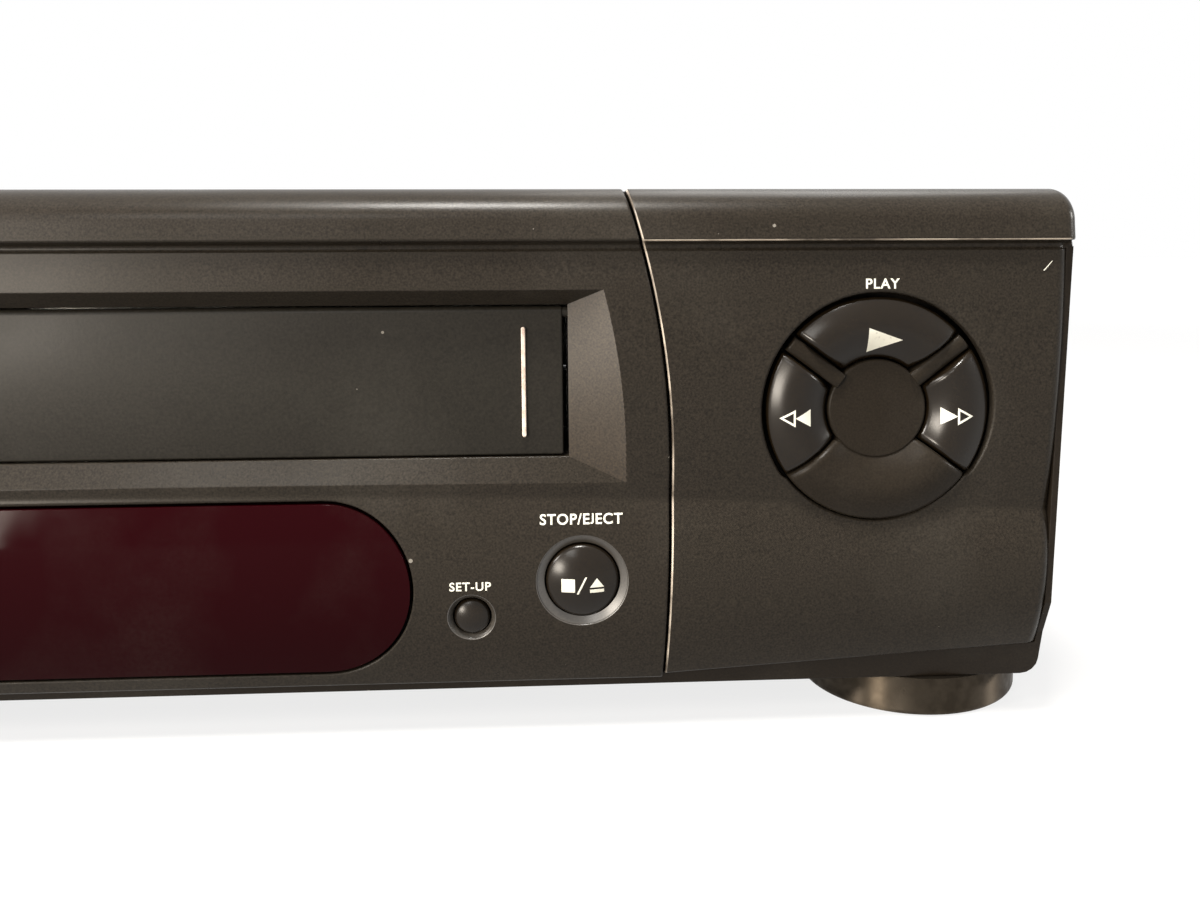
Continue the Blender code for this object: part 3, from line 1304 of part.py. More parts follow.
def scart_socket(name, x, material):
    """A scart socket: a shell with a slotted tongue inside."""
    stop = REAR_PANEL_DEPTH + SCART_REACH
    shape = prism(scart_outline(x, 0), along_depth, stop - SCART_LENGTH, stop)
    socket = solid(name, shape, material)
    cut(socket, prism(scart_outline(x, SCART_RIM), along_depth, stop - SCART_HOLLOW, stop + OVERRUN))
    half = CONTACT_PITCH * (CONTACT_COUNT + 1) / 2
    join(socket, block((x - half, stop - SCART_HOLLOW - BITE, SCART_Z - TONGUE_HALF),
                       (x + half, stop - SCART_RIM, SCART_Z + TONGUE_HALF)))
    slots = []
    for i in range(CONTACT_COUNT):
        u = x + CONTACT_PITCH * (i - (CONTACT_COUNT - 1) / 2)
        slots.append(block((u - CONTACT_WIDTH / 2, stop - SCART_HOLLOW, SCART_Z - CONTACT_HEIGHT / 2),
                           (u + CONTACT_WIDTH / 2, stop, SCART_Z + CONTACT_HEIGHT / 2)))
    return cut(socket, together(*slots))


def round_socket(name, x, z, radius, reach, length, material):
    """A turned socket with a collar outside the panel and a bore for the plug's pin."""
    stop = REAR_PANEL_DEPTH + reach
    start = REAR_PANEL_DEPTH - length
    floor = REAR_PANEL_DEPTH - radius
    bore = radius - SOCKET_WALL
    edge = EDGE_BREAK
    profile = [(0, start), (radius - edge, start), (radius, start + edge), (radius, stop - edge)]
    profile += [(radius - edge, stop), (bore, stop), (bore, floor), (0, floor)]
    return solid(name, turned(profile, (x, 0, z), along_depth, SMALL_SIDES), material)


def mains_inlet(material):
    """The two-pin mains inlet: a figure-eight recess with its two pins."""
    stop = REAR_PANEL_DEPTH + INLET_REACH
    half, tall = INLET_WIDTH / 2, INLET_HEIGHT / 2
    outline = rounded(INLET_X - half, INLET_Z - tall, INLET_X + half, INLET_Z + tall, tall / 2)
    inlet = solid("mains_inlet", prism(outline, along_depth, stop - INLET_LENGTH, stop), material)
    reach = INLET_PITCH / 2
    recess = slot(INLET_X - reach, INLET_Z, INLET_X + reach, INLET_Z, INLET_LOBE)
    cut(inlet, prism(recess, along_depth, stop - INLET_HOLLOW, stop + OVERRUN))
    start = stop - INLET_HOLLOW - BITE
    pins = [pin((x, 0, INLET_Z), along_depth, INLET_PIN_RADIUS, start, stop - OVERRUN)
            for x in (INLET_X - reach, INLET_X + reach)]
    return join(inlet, together(*pins))


def rear_panel(material):
    """The steel rear panel with a folded top flange and a hole for each socket."""
    half = COVER_HALF - COVER_BEND
    top = CABINET_TOP - COVER_WALL - GAP
    start = REAR_PANEL_DEPTH - REAR_WALL
    outline = [(REAR_PANEL_DEPTH, CABINET_FLOOR), (REAR_PANEL_DEPTH, top), (start - REAR_FLANGE, top)]
    outline += [(start - REAR_FLANGE, top - REAR_WALL), (start, top - REAR_WALL), (start, CABINET_FLOOR)]
    panel = solid("rear_panel", prism(outline, along_x, -half, half), material)
    low, high = start - OVERRUN, REAR_PANEL_DEPTH + OVERRUN
    holes = [prism(scart_outline(x, -GAP), along_depth, low, high) for x in SCART_X]
    for x in AUDIO_X:
        holes.append(pin((x, 0, AUDIO_Z), along_depth, AUDIO_RADIUS + GAP, low, high, SMALL_SIDES))
    for z in AERIAL_Z:
        holes.append(pin((TUNER_X, 0, z), along_depth, AERIAL_RADIUS + GAP, low, high, SMALL_SIDES))
    wide, tall = INLET_WIDTH / 2 + GAP, INLET_HEIGHT / 2 + GAP
    inlet = rounded(INLET_X - wide, INLET_Z - tall, INLET_X + wide, INLET_Z + tall, INLET_HEIGHT / 4 + GAP)
    holes.append(prism(inlet, along_depth, low, high))
    return cut(panel, together(*holes))


def rear_sockets(finishes):
    """Every socket that passes the rear panel."""
    plastic = finishes["socket_plastic"]
    scart_socket("scart_socket_outer", SCART_X[0], plastic)
    scart_socket("scart_socket_inner", SCART_X[1], plastic)
    for name, x in zip(("audio_socket_left", "audio_socket_right"), AUDIO_X):
        round_socket(name, x, AUDIO_Z, AUDIO_RADIUS, AUDIO_REACH, AUDIO_LENGTH, finishes["polished_steel"])
    for name, z in zip(("aerial_out_socket", "aerial_in_socket"), AERIAL_Z):
        length = REAR_PANEL_DEPTH - TUNER_REAR_DEPTH - GAP
        round_socket(name, TUNER_X, z, AERIAL_RADIUS, AERIAL_REACH, length, finishes["polished_steel"])
    mains_inlet(plastic)


# Boards in the tray, with the tuner and the power supply

MAIN_BOARD_FRONT = 34 * MM
DECK_OVERHANG = 4 * MM
BOARD_TO_SIDE = 5.2 * MM
BOARD_TO_REAR = 4.7 * MM
POWER_BOARD_TO_DECK = 2 * MM
POWER_BOARD_LENGTH = 114 * MM
LIFT_EDGE = 12 * MM
CAPACITOR_RADIUS = 8 * MM
CAPACITOR_HEIGHT = 30 * MM
CAPACITOR_PITCH = 19 * MM
CAN_SHOULDER_SHARE = 0.16
SMALL_CAPACITOR_RADIUS = 4 * MM
SMALL_CAPACITOR_HEIGHT = 12 * MM
CHIP_HEIGHT = 3 * MM
CHIP_LENGTH = 26 * MM
CHIP_WIDTH = 12 * MM
CHIP_EDGE = 32 * MM
CHIP_DEPTHS = (80 * MM, 120 * MM, 160 * MM)
CORE_HALF = 15 * MM
CORE_WALL = 9 * MM
CORE_HEIGHT = 28 * MM
COIL_HALF = 11 * MM
COIL_CORNER = 3 * MM
CORE_EDGE = 24 * MM
CORE_TO_FRONT = 42 * MM
SINK_WALL = 2.5 * MM
SINK_FINS = 5
SINK_FIN = 1.3 * MM
SINK_FIN_REACH = 10 * MM
SINK_HEIGHT = 42 * MM
SINK_EDGE = 10 * MM
SINK_TO_FRONT = 14 * MM
SINK_PITCH = 8 * MM

MAIN_BOARD_LEFT = DECK_OVERHANG - DECK_HALF
MAIN_BOARD_RIGHT = TRAY_HALF - BOARD_TO_SIDE
BOARD_REAR_DEPTH = TRAY_REAR_DEPTH - BOARD_TO_REAR
POWER_BOARD_LEFT = BOARD_TO_SIDE - TRAY_HALF
POWER_BOARD_RIGHT = -DECK_HALF - POWER_BOARD_TO_DECK
POWER_BOARD_FRONT = BOARD_REAR_DEPTH - POWER_BOARD_LENGTH
CHIP_X = MAIN_BOARD_RIGHT - CHIP_EDGE
CORE_X = POWER_BOARD_LEFT + CORE_EDGE
CORE_DEPTH = POWER_BOARD_FRONT + CORE_TO_FRONT
SINK_X = POWER_BOARD_RIGHT - SINK_EDGE
SINK_FRONT = POWER_BOARD_FRONT + SINK_TO_FRONT


def board_lift_places():
    """Short posts under the corners of the two flat boards."""
    places = []
    for left, right, front in ((MAIN_BOARD_LEFT, MAIN_BOARD_RIGHT, MAIN_BOARD_FRONT),
                               (POWER_BOARD_LEFT, POWER_BOARD_RIGHT, POWER_BOARD_FRONT)):
        for x in (left + LIFT_EDGE, right - LIFT_EDGE):
            for depth in (front + LIFT_EDGE, BOARD_REAR_DEPTH - LIFT_EDGE):
                places.append((x, depth))
    return places


def flat_board(name, left, right, front, holes, material):
    """A flat circuit board with round holes where the deck's posts pass."""
    outline = rounded(left, front, right, BOARD_REAR_DEPTH, POST_RADIUS)
    piece = solid(name, prism(outline, along_z, BOARD_BOTTOM, BOARD_TOP), material)
    if holes:
        radius = DECK_POST_RADIUS + 2 * GAP
        low, high = BOARD_BOTTOM - OVERRUN, BOARD_TOP + OVERRUN
        cut(piece, together(*[pin((x, d, 0), along_z, radius, low, high) for x, d in holes]))
    return piece


def can_capacitor(x, depth, radius, height):
    """An upright can on a board, with a rolled shoulder."""
    start = BOARD_TOP - BITE
    shoulder = radius * CAN_SHOULDER_SHARE
    stop = BOARD_TOP + height
    profile = [(0, start), (radius, start), (radius, stop - shoulder), (radius - shoulder, stop), (0, stop)]
    return turned(profile, (x, depth, 0), along_z, PIN_SIDES)


def main_board(material):
    """The signal board under and beside the deck."""
    holes = [(x, d) for x, d in deck_post_places() if MAIN_BOARD_LEFT < x < MAIN_BOARD_RIGHT]
    piece = flat_board("main_board", MAIN_BOARD_LEFT, MAIN_BOARD_RIGHT, MAIN_BOARD_FRONT, holes, material)
    chips = []
    for depth in CHIP_DEPTHS:
        low = (CHIP_X - CHIP_WIDTH / 2, depth, BOARD_TOP - BITE)
        high = (CHIP_X + CHIP_WIDTH / 2, depth + CHIP_LENGTH, BOARD_TOP + CHIP_HEIGHT)
        chips.append(block(low, high))
        x = CHIP_X + CHIP_WIDTH + SMALL_CAPACITOR_RADIUS
        chips.append(can_capacitor(x, depth, SMALL_CAPACITOR_RADIUS, SMALL_CAPACITOR_HEIGHT))
    return join(piece, together(*chips))


def power_supply(finishes):
    """The power board with its capacitor, transformer and heat sink."""
    left, right, front = POWER_BOARD_LEFT, POWER_BOARD_RIGHT, POWER_BOARD_FRONT
    piece = flat_board("power_board", left, right, front, [], finishes["board"])
    first = CORE_DEPTH + CORE_HALF + CORE_WALL + CAPACITOR_RADIUS
    depths = (first, first + CAPACITOR_PITCH)
    cans = [can_capacitor(CORE_X, depth, CAPACITOR_RADIUS, CAPACITOR_HEIGHT) for depth in depths]
    join(piece, together(*cans))
    base = BOARD_TOP + GAP
    top = base + CORE_HEIGHT
    yoke = CORE_WALL / 2
    reach = CORE_HALF + yoke
    core = prism(rectangle(CORE_X - reach, base, CORE_X + reach, top), along_depth,
                 CORE_DEPTH - CORE_HALF, CORE_DEPTH + CORE_HALF)
    transformer = solid("transformer", core, finishes["core_steel"])
    coil = rounded(CORE_X - COIL_HALF, base + yoke, CORE_X + COIL_HALF, top - yoke, COIL_CORNER)
    join(transformer, prism(coil, along_depth, CORE_DEPTH - reach, CORE_DEPTH + reach))
    heat_sink(finishes["machined_alloy"])


def heat_sink(material):
    """An extruded fin plate standing on the power board."""
    base = BOARD_TOP + GAP
    outline = []
    for i in range(SINK_FINS):
        start = SINK_FRONT + SINK_PITCH * i
        end = start + SINK_FIN
        outline += [(SINK_X - SINK_FIN_REACH, start), (SINK_X - SINK_FIN_REACH, end)]
        if i < SINK_FINS - 1:
            outline += [(SINK_X, end), (SINK_X, start + SINK_PITCH)]
    outline += [(SINK_X + SINK_WALL, end), (SINK_X + SINK_WALL, SINK_FRONT)]
    return solid("heat_sink", prism(outline, along_z, base, base + SINK_HEIGHT), material)


def tuner(material):
    """The tuner can that stands on the main board behind its two aerial sockets."""
    half = TUNER_WIDTH / 2
    stop = TUNER_REAR_DEPTH
    outline = rounded(TUNER_X - half, TUNER_FRONT_DEPTH, TUNER_X + half, stop, OVERRUN)
    can = solid("tuner_can", prism(outline, along_z, BOARD_TOP + GAP, TUNER_TOP), material)
    side = TUNER_X - half
    front, rear = TUNER_FRONT_DEPTH + OVERRUN, stop - OVERRUN
    beads = []
    for share in TUNER_SEAM_SHARES:
        z = BOARD_TOP + (TUNER_TOP - BOARD_TOP) * share
        beads.append(block((side - OVERRUN, front, z), (side + BITE, rear, z + OVERRUN)))
    return cut(can, together(*beads))


# Tape deck: a steel plate on the tray's posts, with the fixed pivots of everything that turns on it

DECK_TOP = DECK_HEIGHT + DECK_WALL
PIVOT_RADIUS = 2 * MM
REEL_BORE = PIVOT_RADIUS + GAP
REEL_FLANGE_RADIUS = 22 * MM
REEL_FLANGE = 3 * MM
REEL_HUB_RADIUS = 7 * MM
REEL_HEIGHT = 20.5 * MM
REEL_FIN_RADIUS = 8.6 * MM
REEL_FIN_WIDTH = 1.6 * MM
REEL_FINS = 3
CAPSTAN_RADIUS = 2 * MM
CAPSTAN_TOP = 64 * MM
FLYWHEEL_RADIUS = 20 * MM
FLYWHEEL_BOTTOM = 15.6 * MM
FLYWHEEL_WALL = 3 * MM
PULLEY_RADIUS = 8 * MM
PULLEY_HEIGHT = 4 * MM
PULLEY_LIP = 0.7 * MM
BEARING_RADIUS = 5 * MM
BEARING_FLANGE_RADIUS = 8 * MM
CLUTCH_RADIUS = 12 * MM
CLUTCH_DEPTH = 140 * MM
BELT_WALL = 0.8 * MM
BELT_WIDTH = 2 * MM
BELT_STEPS = 10
GUIDE_PIN_RADIUS = 1.9 * MM
POST_SETBACK = 5.2 * MM
POST_LEAN = 2 * MM
GUIDE_X = 24 * MM
GUIDE_DEPTH = 168 * MM
GUIDE_END_X = 43.5 * MM
GUIDE_END_DEPTH = 225 * MM
GUIDE_BASE_RADIUS = 5 * MM
GUIDE_BASE_REACH = 4 * MM
GUIDE_BASE_HEIGHT = 4.5 * MM
GUIDE_POST_RADIUS = 1.6 * MM
GUIDE_SLEEVE_RADIUS = 3 * MM
GUIDE_TOP = 58.2 * MM
SLEEVE_BOTTOM = 34 * MM
SLEEVE_TOP = 56.4 * MM
ARM_X = 82 * MM
ARM_DEPTH = 190 * MM
ARM_WIDTH = 9 * MM
ARM_BOTTOM = 30 * MM
ARM_WALL = 2.4 * MM
ARM_SWING = math.radians(30)
PINCH_RADIUS = 7 * MM
PINCH_AXLE_RADIUS = 1.5 * MM
PINCH_BOTTOM = 35 * MM
PINCH_TOP = 57 * MM
PINCH_HEADING = math.radians(20)
DECK_WINDOW_HALF = 16 * MM
DECK_WINDOW_FRONT = 72 * MM
DECK_WINDOW_LENGTH = 30 * MM
AUDIO_HEAD_X = 46 * MM
AUDIO_HEAD_DEPTH = 193 * MM
ERASE_HEAD_X = -50 * MM
ERASE_HEAD_DEPTH = 184 * MM
HEAD_HALF = 3.6 * MM
HEAD_BOTTOM = 35 * MM
HEAD_TOP = 54 * MM
HEAD_FOOT_HALF = 5.5 * MM
HEAD_FOOT_WALL = 1.6 * MM
HEAD_STEM_RADIUS = 1.8 * MM


DRUM_LIFT = 6 * MM
DRUM_FOOT = DECK_TOP + DRUM_LIFT
DRUM_STEPS = 20
LOWER_DRUM_HEIGHT = 17.5 * MM
UPPER_DRUM_HEIGHT = 15 * MM
LEAD_RISE = 0.8 * MM
LEAD_HEIGHT = 8 * MM
LEAD_CLIMB = 4 * MM
DRUM_MOUNT_RADIUS = 26 * MM
DRUM_BOSS_RADIUS = 6 * MM
DRUM_RIM = 14 * MM
DRUM_DISH = 2.5 * MM
HEAD_WINDOW = 3 * MM
HEAD_WINDOW_HEIGHT = 1.4 * MM


def turned_on_deck(name, profile, x, depth, material, steps):
    """A turned part with an upright axis; its origin is on that axis."""
    shape = turned(profile, (x, depth, 0), along_z, steps)
    return solid(name, shape, material, (x, depth, DECK_HEIGHT))


def deck_plate(material):
    """The pressed steel deck with its slots, windows and fixed pivots."""
    half = DECK_HALF
    outline = rounded(-half, DECK_FRONT_DEPTH, half, DECK_REAR_DEPTH, DECK_POST_RADIUS)
    deck = solid("deck_plate", prism(outline, along_z, DECK_HEIGHT, DECK_TOP), material)
    low, high = DECK_HEIGHT - OVERRUN, DECK_TOP + OVERRUN
    wide = GUIDE_PIN_RADIUS + GAP
    holes = []
    for side in (-1, 1):
        track = slot(side * GUIDE_X, GUIDE_DEPTH, side * GUIDE_END_X, GUIDE_END_DEPTH, wide)
        holes.append(prism(track, along_z, low, high))
    holes.append(pin((CAPSTAN_X, CAPSTAN_DEPTH, 0), along_z, BEARING_RADIUS + GAP, low, high, SMALL_SIDES))
    window = rounded(-DECK_WINDOW_HALF, DECK_WINDOW_FRONT, DECK_WINDOW_HALF,
                     DECK_WINDOW_FRONT + DECK_WINDOW_LENGTH, DECK_POST_RADIUS)
    holes.append(prism(window, along_z, low, high))
    cut(deck, together(*holes))
    start = DECK_TOP - BITE
    reel_stop = DECK_TOP + GAP + REEL_HEIGHT - OVERRUN
    pins = [pin((side * REEL_SPACING / 2, REEL_DEPTH, 0), along_z, PIVOT_RADIUS, start, reel_stop)
            for side in (-1, 1)]
    pins.append(pin((ARM_X, ARM_DEPTH, 0), along_z, PIVOT_RADIUS, start, ARM_BOTTOM + ARM_WALL + BITE))
    clutch_bottom = FLYWHEEL_BOTTOM + FLYWHEEL_WALL - GAP
    pins.append(pin((0, CLUTCH_DEPTH, 0), along_z, PIVOT_RADIUS, clutch_bottom, DECK_HEIGHT + BITE))
    return join(deck, together(*pins))


def reel_table(name, side, material):
    """A reel table: a flange that runs on the deck's pivot and a finned hub that drives the reel."""
    x = side * REEL_SPACING / 2
    low = DECK_TOP + GAP
    shoulder = low + REEL_FLANGE
    top = low + REEL_HEIGHT
    hub = REEL_HUB_RADIUS
    profile = [(REEL_BORE, low), (REEL_FLANGE_RADIUS, low), (REEL_FLANGE_RADIUS, shoulder - BITE)]
    profile += [(REEL_FLANGE_RADIUS - BITE, shoulder), (hub + OVERRUN, shoulder), (hub, shoulder + OVERRUN)]
    profile += [(hub - BITE, top - 2 * OVERRUN), (REEL_BORE + BITE, top), (REEL_BORE, top)]
    reel = turned_on_deck(name, profile, x, REEL_DEPTH, material, ROUND_SIDES)
    fins = []
    for i in range(REEL_FINS):
        turn = Matrix.Rotation(2 * math.pi * i / REEL_FINS, 3, "Z")
        half = REEL_FIN_WIDTH / 2
        rings = []
        for reach, height in ((0, top - 3 * OVERRUN), (BITE, shoulder - BITE)):
            flat = rectangle(hub / 2, -half, REEL_FIN_RADIUS + reach, half)
            points = [turn @ Vector((u, v, 0)) for u, v in flat]
            rings.append([(x + point.x, REEL_DEPTH + point.y, height) for point in points])
        fins.append(loft(rings))
    return join(reel, *fins)


def on_drum(u, v, height):
    """A point in the tilted drum's own frame, whose height starts at the foot of the lower drum."""
    base = Vector((0, DRUM_DEPTH, DRUM_FOOT))
    return tuple(base + Matrix.Rotation(DRUM_TILT, 3, "X") @ Vector((u, v, height)))


def drum_rings(rows):
    """Rings of the tilted drum; each row is (radius, height) or (radius, height, climb)."""
    rings = []
    for radius, height, *climb in rows:
        ring = []
        for i in range(DRUM_STEPS):
            angle = 2 * math.pi * i / DRUM_STEPS
            lift = climb[0] * math.cos(angle) if climb else 0
            ring.append(on_drum(radius * math.cos(angle), radius * math.sin(angle), height + lift))
        rings.append(ring)
    return rings


def drums(finishes):
    """The fixed lower drum with its climbing tape lead, and the turning upper drum with its windows."""
    lead = DRUM_RADIUS + LEAD_RISE
    rows = [(lead, 0), (lead, LEAD_HEIGHT, LEAD_CLIMB)]
    rows += [(DRUM_RADIUS, LEAD_HEIGHT + LEAD_RISE / 2, LEAD_CLIMB), (DRUM_RADIUS, LOWER_DRUM_HEIGHT)]
    lower = solid("drum_lower", loft(drum_rings(rows)), finishes["cast_alloy"])
    foot = []
    for i in range(DRUM_STEPS):
        angle = 2 * math.pi * i / DRUM_STEPS
        x = DRUM_MOUNT_RADIUS * math.cos(angle)
        foot.append((x, DRUM_DEPTH + DRUM_MOUNT_RADIUS * math.sin(angle), DECK_TOP + GAP))
    join(lower, loft([foot, drum_rings([(DRUM_MOUNT_RADIUS, BITE)])[0]]))
    low = LOWER_DRUM_HEIGHT + GAP
    high = low + UPPER_DRUM_HEIGHT
    rim = DRUM_RADIUS - DRUM_RIM
    rows = [(DRUM_RADIUS - BITE, low), (DRUM_RADIUS, low + BITE), (DRUM_RADIUS, high - BITE)]
    rows += [(DRUM_RADIUS - BITE, high), (rim, high), (rim - BITE, high - DRUM_DISH)]
    rows += [(DRUM_BOSS_RADIUS, high - DRUM_DISH), (DRUM_BOSS_RADIUS, high + DRUM_DISH)]
    upper = solid("drum_upper", loft(drum_rings(rows)), finishes["machined_alloy"], on_drum(0, 0, low))
    half = HEAD_WINDOW / 2
    corners = rectangle(-half, low - OVERRUN, half, low + HEAD_WINDOW_HEIGHT)
    windows = []
    for side in (-1, 1):
        ends = (side * (DRUM_RADIUS - half), side * (DRUM_RADIUS + OVERRUN))
        windows.append(loft([[on_drum(u, v, height) for v, height in corners] for u in ends]))
    return cut(upper, *windows)


def capstan(finishes):
    """The capstan with its flywheel and pulley under the deck, and its flanged bearing."""
    low = FLYWHEEL_BOTTOM
    pulley_low = low + FLYWHEEL_WALL
    pulley_high = pulley_low + PULLEY_HEIGHT
    lip = PULLEY_RADIUS + PULLEY_LIP
    shaft = CAPSTAN_RADIUS
    profile = [(0, low), (FLYWHEEL_RADIUS, low), (FLYWHEEL_RADIUS, pulley_low), (lip, pulley_low)]
    profile += [(PULLEY_RADIUS, pulley_low + PULLEY_LIP), (PULLEY_RADIUS, pulley_high - PULLEY_LIP)]
    profile += [(lip, pulley_high), (shaft, pulley_high), (shaft, CAPSTAN_TOP), (0, CAPSTAN_TOP)]
    turned_on_deck("capstan", profile, CAPSTAN_X, CAPSTAN_DEPTH, finishes["polished_steel"], ROUND_SIDES)
    bore = shaft + GAP
    outer = BEARING_RADIUS
    flange_low = DECK_TOP + GAP
    flange_high = flange_low + FLYWHEEL_WALL / 2
    profile = [(bore, DECK_HEIGHT - BITE), (outer, DECK_HEIGHT - BITE), (outer, flange_low)]
    profile += [(BEARING_FLANGE_RADIUS, flange_low), (BEARING_FLANGE_RADIUS, flange_high)]
    top = ARM_BOTTOM - OVERRUN
    profile += [(outer, flange_high), (outer - BITE, top), (bore, top)]
    turned_on_deck("capstan_bearing", profile, CAPSTAN_X, CAPSTAN_DEPTH, finishes["cast_alloy"], SMALL_SIDES)


def clutch_pulley(material):
    """The pulley under the deck that the belt drives; it turns on the deck's pivot."""
    low = FLYWHEEL_BOTTOM + FLYWHEEL_WALL
    high = low + PULLEY_HEIGHT
    lip = CLUTCH_RADIUS + PULLEY_LIP
    profile = [(PIVOT_RADIUS + GAP, low), (lip, low), (CLUTCH_RADIUS, low + PULLEY_LIP)]
    profile += [(CLUTCH_RADIUS, high - PULLEY_LIP), (lip, high), (PIVOT_RADIUS + GAP, high)]
    return turned_on_deck("clutch_pulley", profile, 0, CLUTCH_DEPTH, material, ROUND_SIDES)


def drive_belt(material):
    """The flat belt between the capstan's pulley and the clutch pulley."""
    start = Vector((0, CLUTCH_DEPTH))
    stop = Vector((CAPSTAN_X, CAPSTAN_DEPTH))
    heading = math.degrees(math.atan2(stop.y - start.y, stop.x - start.x))
    lean = math.degrees(math.acos((CLUTCH_RADIUS - PULLEY_RADIUS) / (stop - start).length))
    middle = FLYWHEEL_BOTTOM + FLYWHEEL_WALL + PULLEY_HEIGHT / 2
    low, high = heading - lean, heading + lean
    loops = []
    for spread in (GAP, GAP + BELT_WALL):
        loop = arc(stop.x, stop.y, PULLEY_RADIUS + spread, low, high, BELT_STEPS)
        loop += arc(start.x, start.y, CLUTCH_RADIUS + spread, high, low + FULL_TURN, BELT_STEPS)
        loops.append(loop)
    low, high = middle - BELT_WIDTH / 2, middle + BELT_WIDTH / 2
    rings = []
    for (u0, v0), (u1, v1) in zip(*loops):
        rings.append([(u0, v0, low), (u1, v1, low), (u1, v1, high), (u0, v0, high)])
    return solid("drive_belt", loft(rings, closed_ends=False), material)


def pinch_centre():
    """Where the pinch roller's axle stands at rest, swung back from the capstan."""
    reach = CAPSTAN_RADIUS + PINCH_RADIUS + GAP
    towards = Vector((math.cos(PINCH_HEADING), math.sin(PINCH_HEADING)))
    engaged = Vector((CAPSTAN_X, CAPSTAN_DEPTH)) + towards * reach
    pivot = Vector((ARM_X, ARM_DEPTH))
    return pivot + Matrix.Rotation(-ARM_SWING, 2) @ (engaged - pivot)


def pinch_parts(finishes):
    """The pinch arm on its pivot, and the rubber roller on the arm's axle."""
    centre = pinch_centre()
    high = ARM_BOTTOM + ARM_WALL
    pivot = (ARM_X, ARM_DEPTH, 0)
    bar = slot(ARM_X, ARM_DEPTH, centre.x, centre.y, ARM_WIDTH / 2)
    arm = solid("pinch_arm", prism(bar, along_z, ARM_BOTTOM, high), finishes["zinc_steel"],
                (ARM_X, ARM_DEPTH, ARM_BOTTOM))
    join(arm, pin(pivot, along_z, ARM_WIDTH / 2 - BITE, DECK_TOP + GAP, high + BITE, SMALL_SIDES))
    cut(arm, pin(pivot, along_z, PIVOT_RADIUS + GAP, DECK_TOP, high + OVERRUN))
    join(arm, pin((centre.x, centre.y, 0), along_z, PINCH_AXLE_RADIUS, high - BITE, PINCH_TOP + OVERRUN))
    bore = PINCH_AXLE_RADIUS + GAP
    profile = rectangle(bore, PINCH_BOTTOM, PINCH_RADIUS, PINCH_TOP)
    turned_on_deck("pinch_roller", profile, centre.x, centre.y, finishes["roller_rubber"], ROUND_SIDES)


def tape_guide(name, side, material):
    """A loading guide: a shoe that runs in the deck's slot, with a roller and a slanted post."""
    x = side * GUIDE_X
    way = Vector((side * (GUIDE_END_X - GUIDE_X), GUIDE_END_DEPTH - GUIDE_DEPTH)).normalized()
    low = DECK_TOP + GAP
    high = low + GUIDE_BASE_HEIGHT
    ahead = way * GUIDE_BASE_REACH
    shoe = slot(x - ahead.x, GUIDE_DEPTH - ahead.y, x + ahead.x, GUIDE_DEPTH + ahead.y, GUIDE_BASE_RADIUS)
    guide = solid(name, prism(shoe, along_z, low, high), material, (x, GUIDE_DEPTH, low))
    centre = (x, GUIDE_DEPTH, 0)
    join(guide, pin(centre, along_z, GUIDE_PIN_RADIUS, DECK_HEIGHT - BITE, low + BITE))
    post = GUIDE_POST_RADIUS
    sleeve = GUIDE_SLEEVE_RADIUS
    profile = [(0, high - BITE), (post, high - BITE), (post, SLEEVE_BOTTOM), (sleeve, SLEEVE_BOTTOM)]
    profile += [(sleeve, SLEEVE_TOP), (post, SLEEVE_TOP), (post, GUIDE_TOP), (0, GUIDE_TOP)]
    join(guide, turned(profile, centre, along_z, PIN_SIDES))
    foot = Vector((x, GUIDE_DEPTH)) - way * POST_SETBACK
    tip = foot - way * POST_LEAN
    rings = []
    for end, height in ((foot, high - BITE), (tip, SLEEVE_TOP - OVERRUN)):
        circle = arc(end.x, end.y, post, 0, 360, PIN_SIDES)[1:]
        rings.append([(u, v, height) for u, v in circle])
    return join(guide, loft(rings))


def tape_head(name, x, depth, material):
    """A fixed head on a bracket: a block with a rounded face towards the tape."""
    half = HEAD_HALF
    foot = HEAD_FOOT_HALF
    low = DECK_TOP + GAP
    base = rounded(x - foot, depth - foot, x + foot, depth + foot, HEAD_FOOT_WALL)
    head = solid(name, prism(base, along_z, low, low + HEAD_FOOT_WALL), material)
    join(head, pin((x, depth, 0), along_z, HEAD_STEM_RADIUS, low + BITE, HEAD_BOTTOM + BITE))
    face = [(x - half, depth + half), (x - half, depth)] + arc(x, depth, half, 180, 360, 6)[1:-1]
    face += [(x + half, depth), (x + half, depth + half)]
    return join(head, prism(face, along_z, HEAD_BOTTOM, HEAD_TOP))


# Cassette carriage: fixed rails, a sled that runs in them, and a basket that sinks in the sled

BASKET_FRONT = 40 * MM
BASKET_LENGTH = 78 * MM
BASKET_LEDGE = 14 * MM
BASKET_SINK = 0.2 * MM
BASKET_HEADROOM = 1.4 * MM
BASKET_TOP_WALL = 1 * MM
BASKET_WINDOW_HALF = 42 * MM
BASKET_WINDOW_EDGE = 16 * MM
WINDOW_CORNER = 4 * MM
BASKET_BEAD = 1.6 * MM
BASKET_LEAD = 3 * MM
CARRIER_PIN_RADIUS = 1.6 * MM
CARRIER_PIN_EDGE = 10 * MM
BASKET_PIN_HEIGHT = 17 * MM
SLED_BOTTOM = 44 * MM
SLED_TOP = 92 * MM
SLED_LENGTH = 72 * MM
SLED_BAR = 16 * MM
SLED_SLOPE = 10 * MM
SLED_PIN_DROP = 6 * MM
RAIL_REAR_DEPTH = 180 * MM
RAIL_WINDOW_EDGE = 14 * MM
RAIL_WINDOW_TOP = 74 * MM

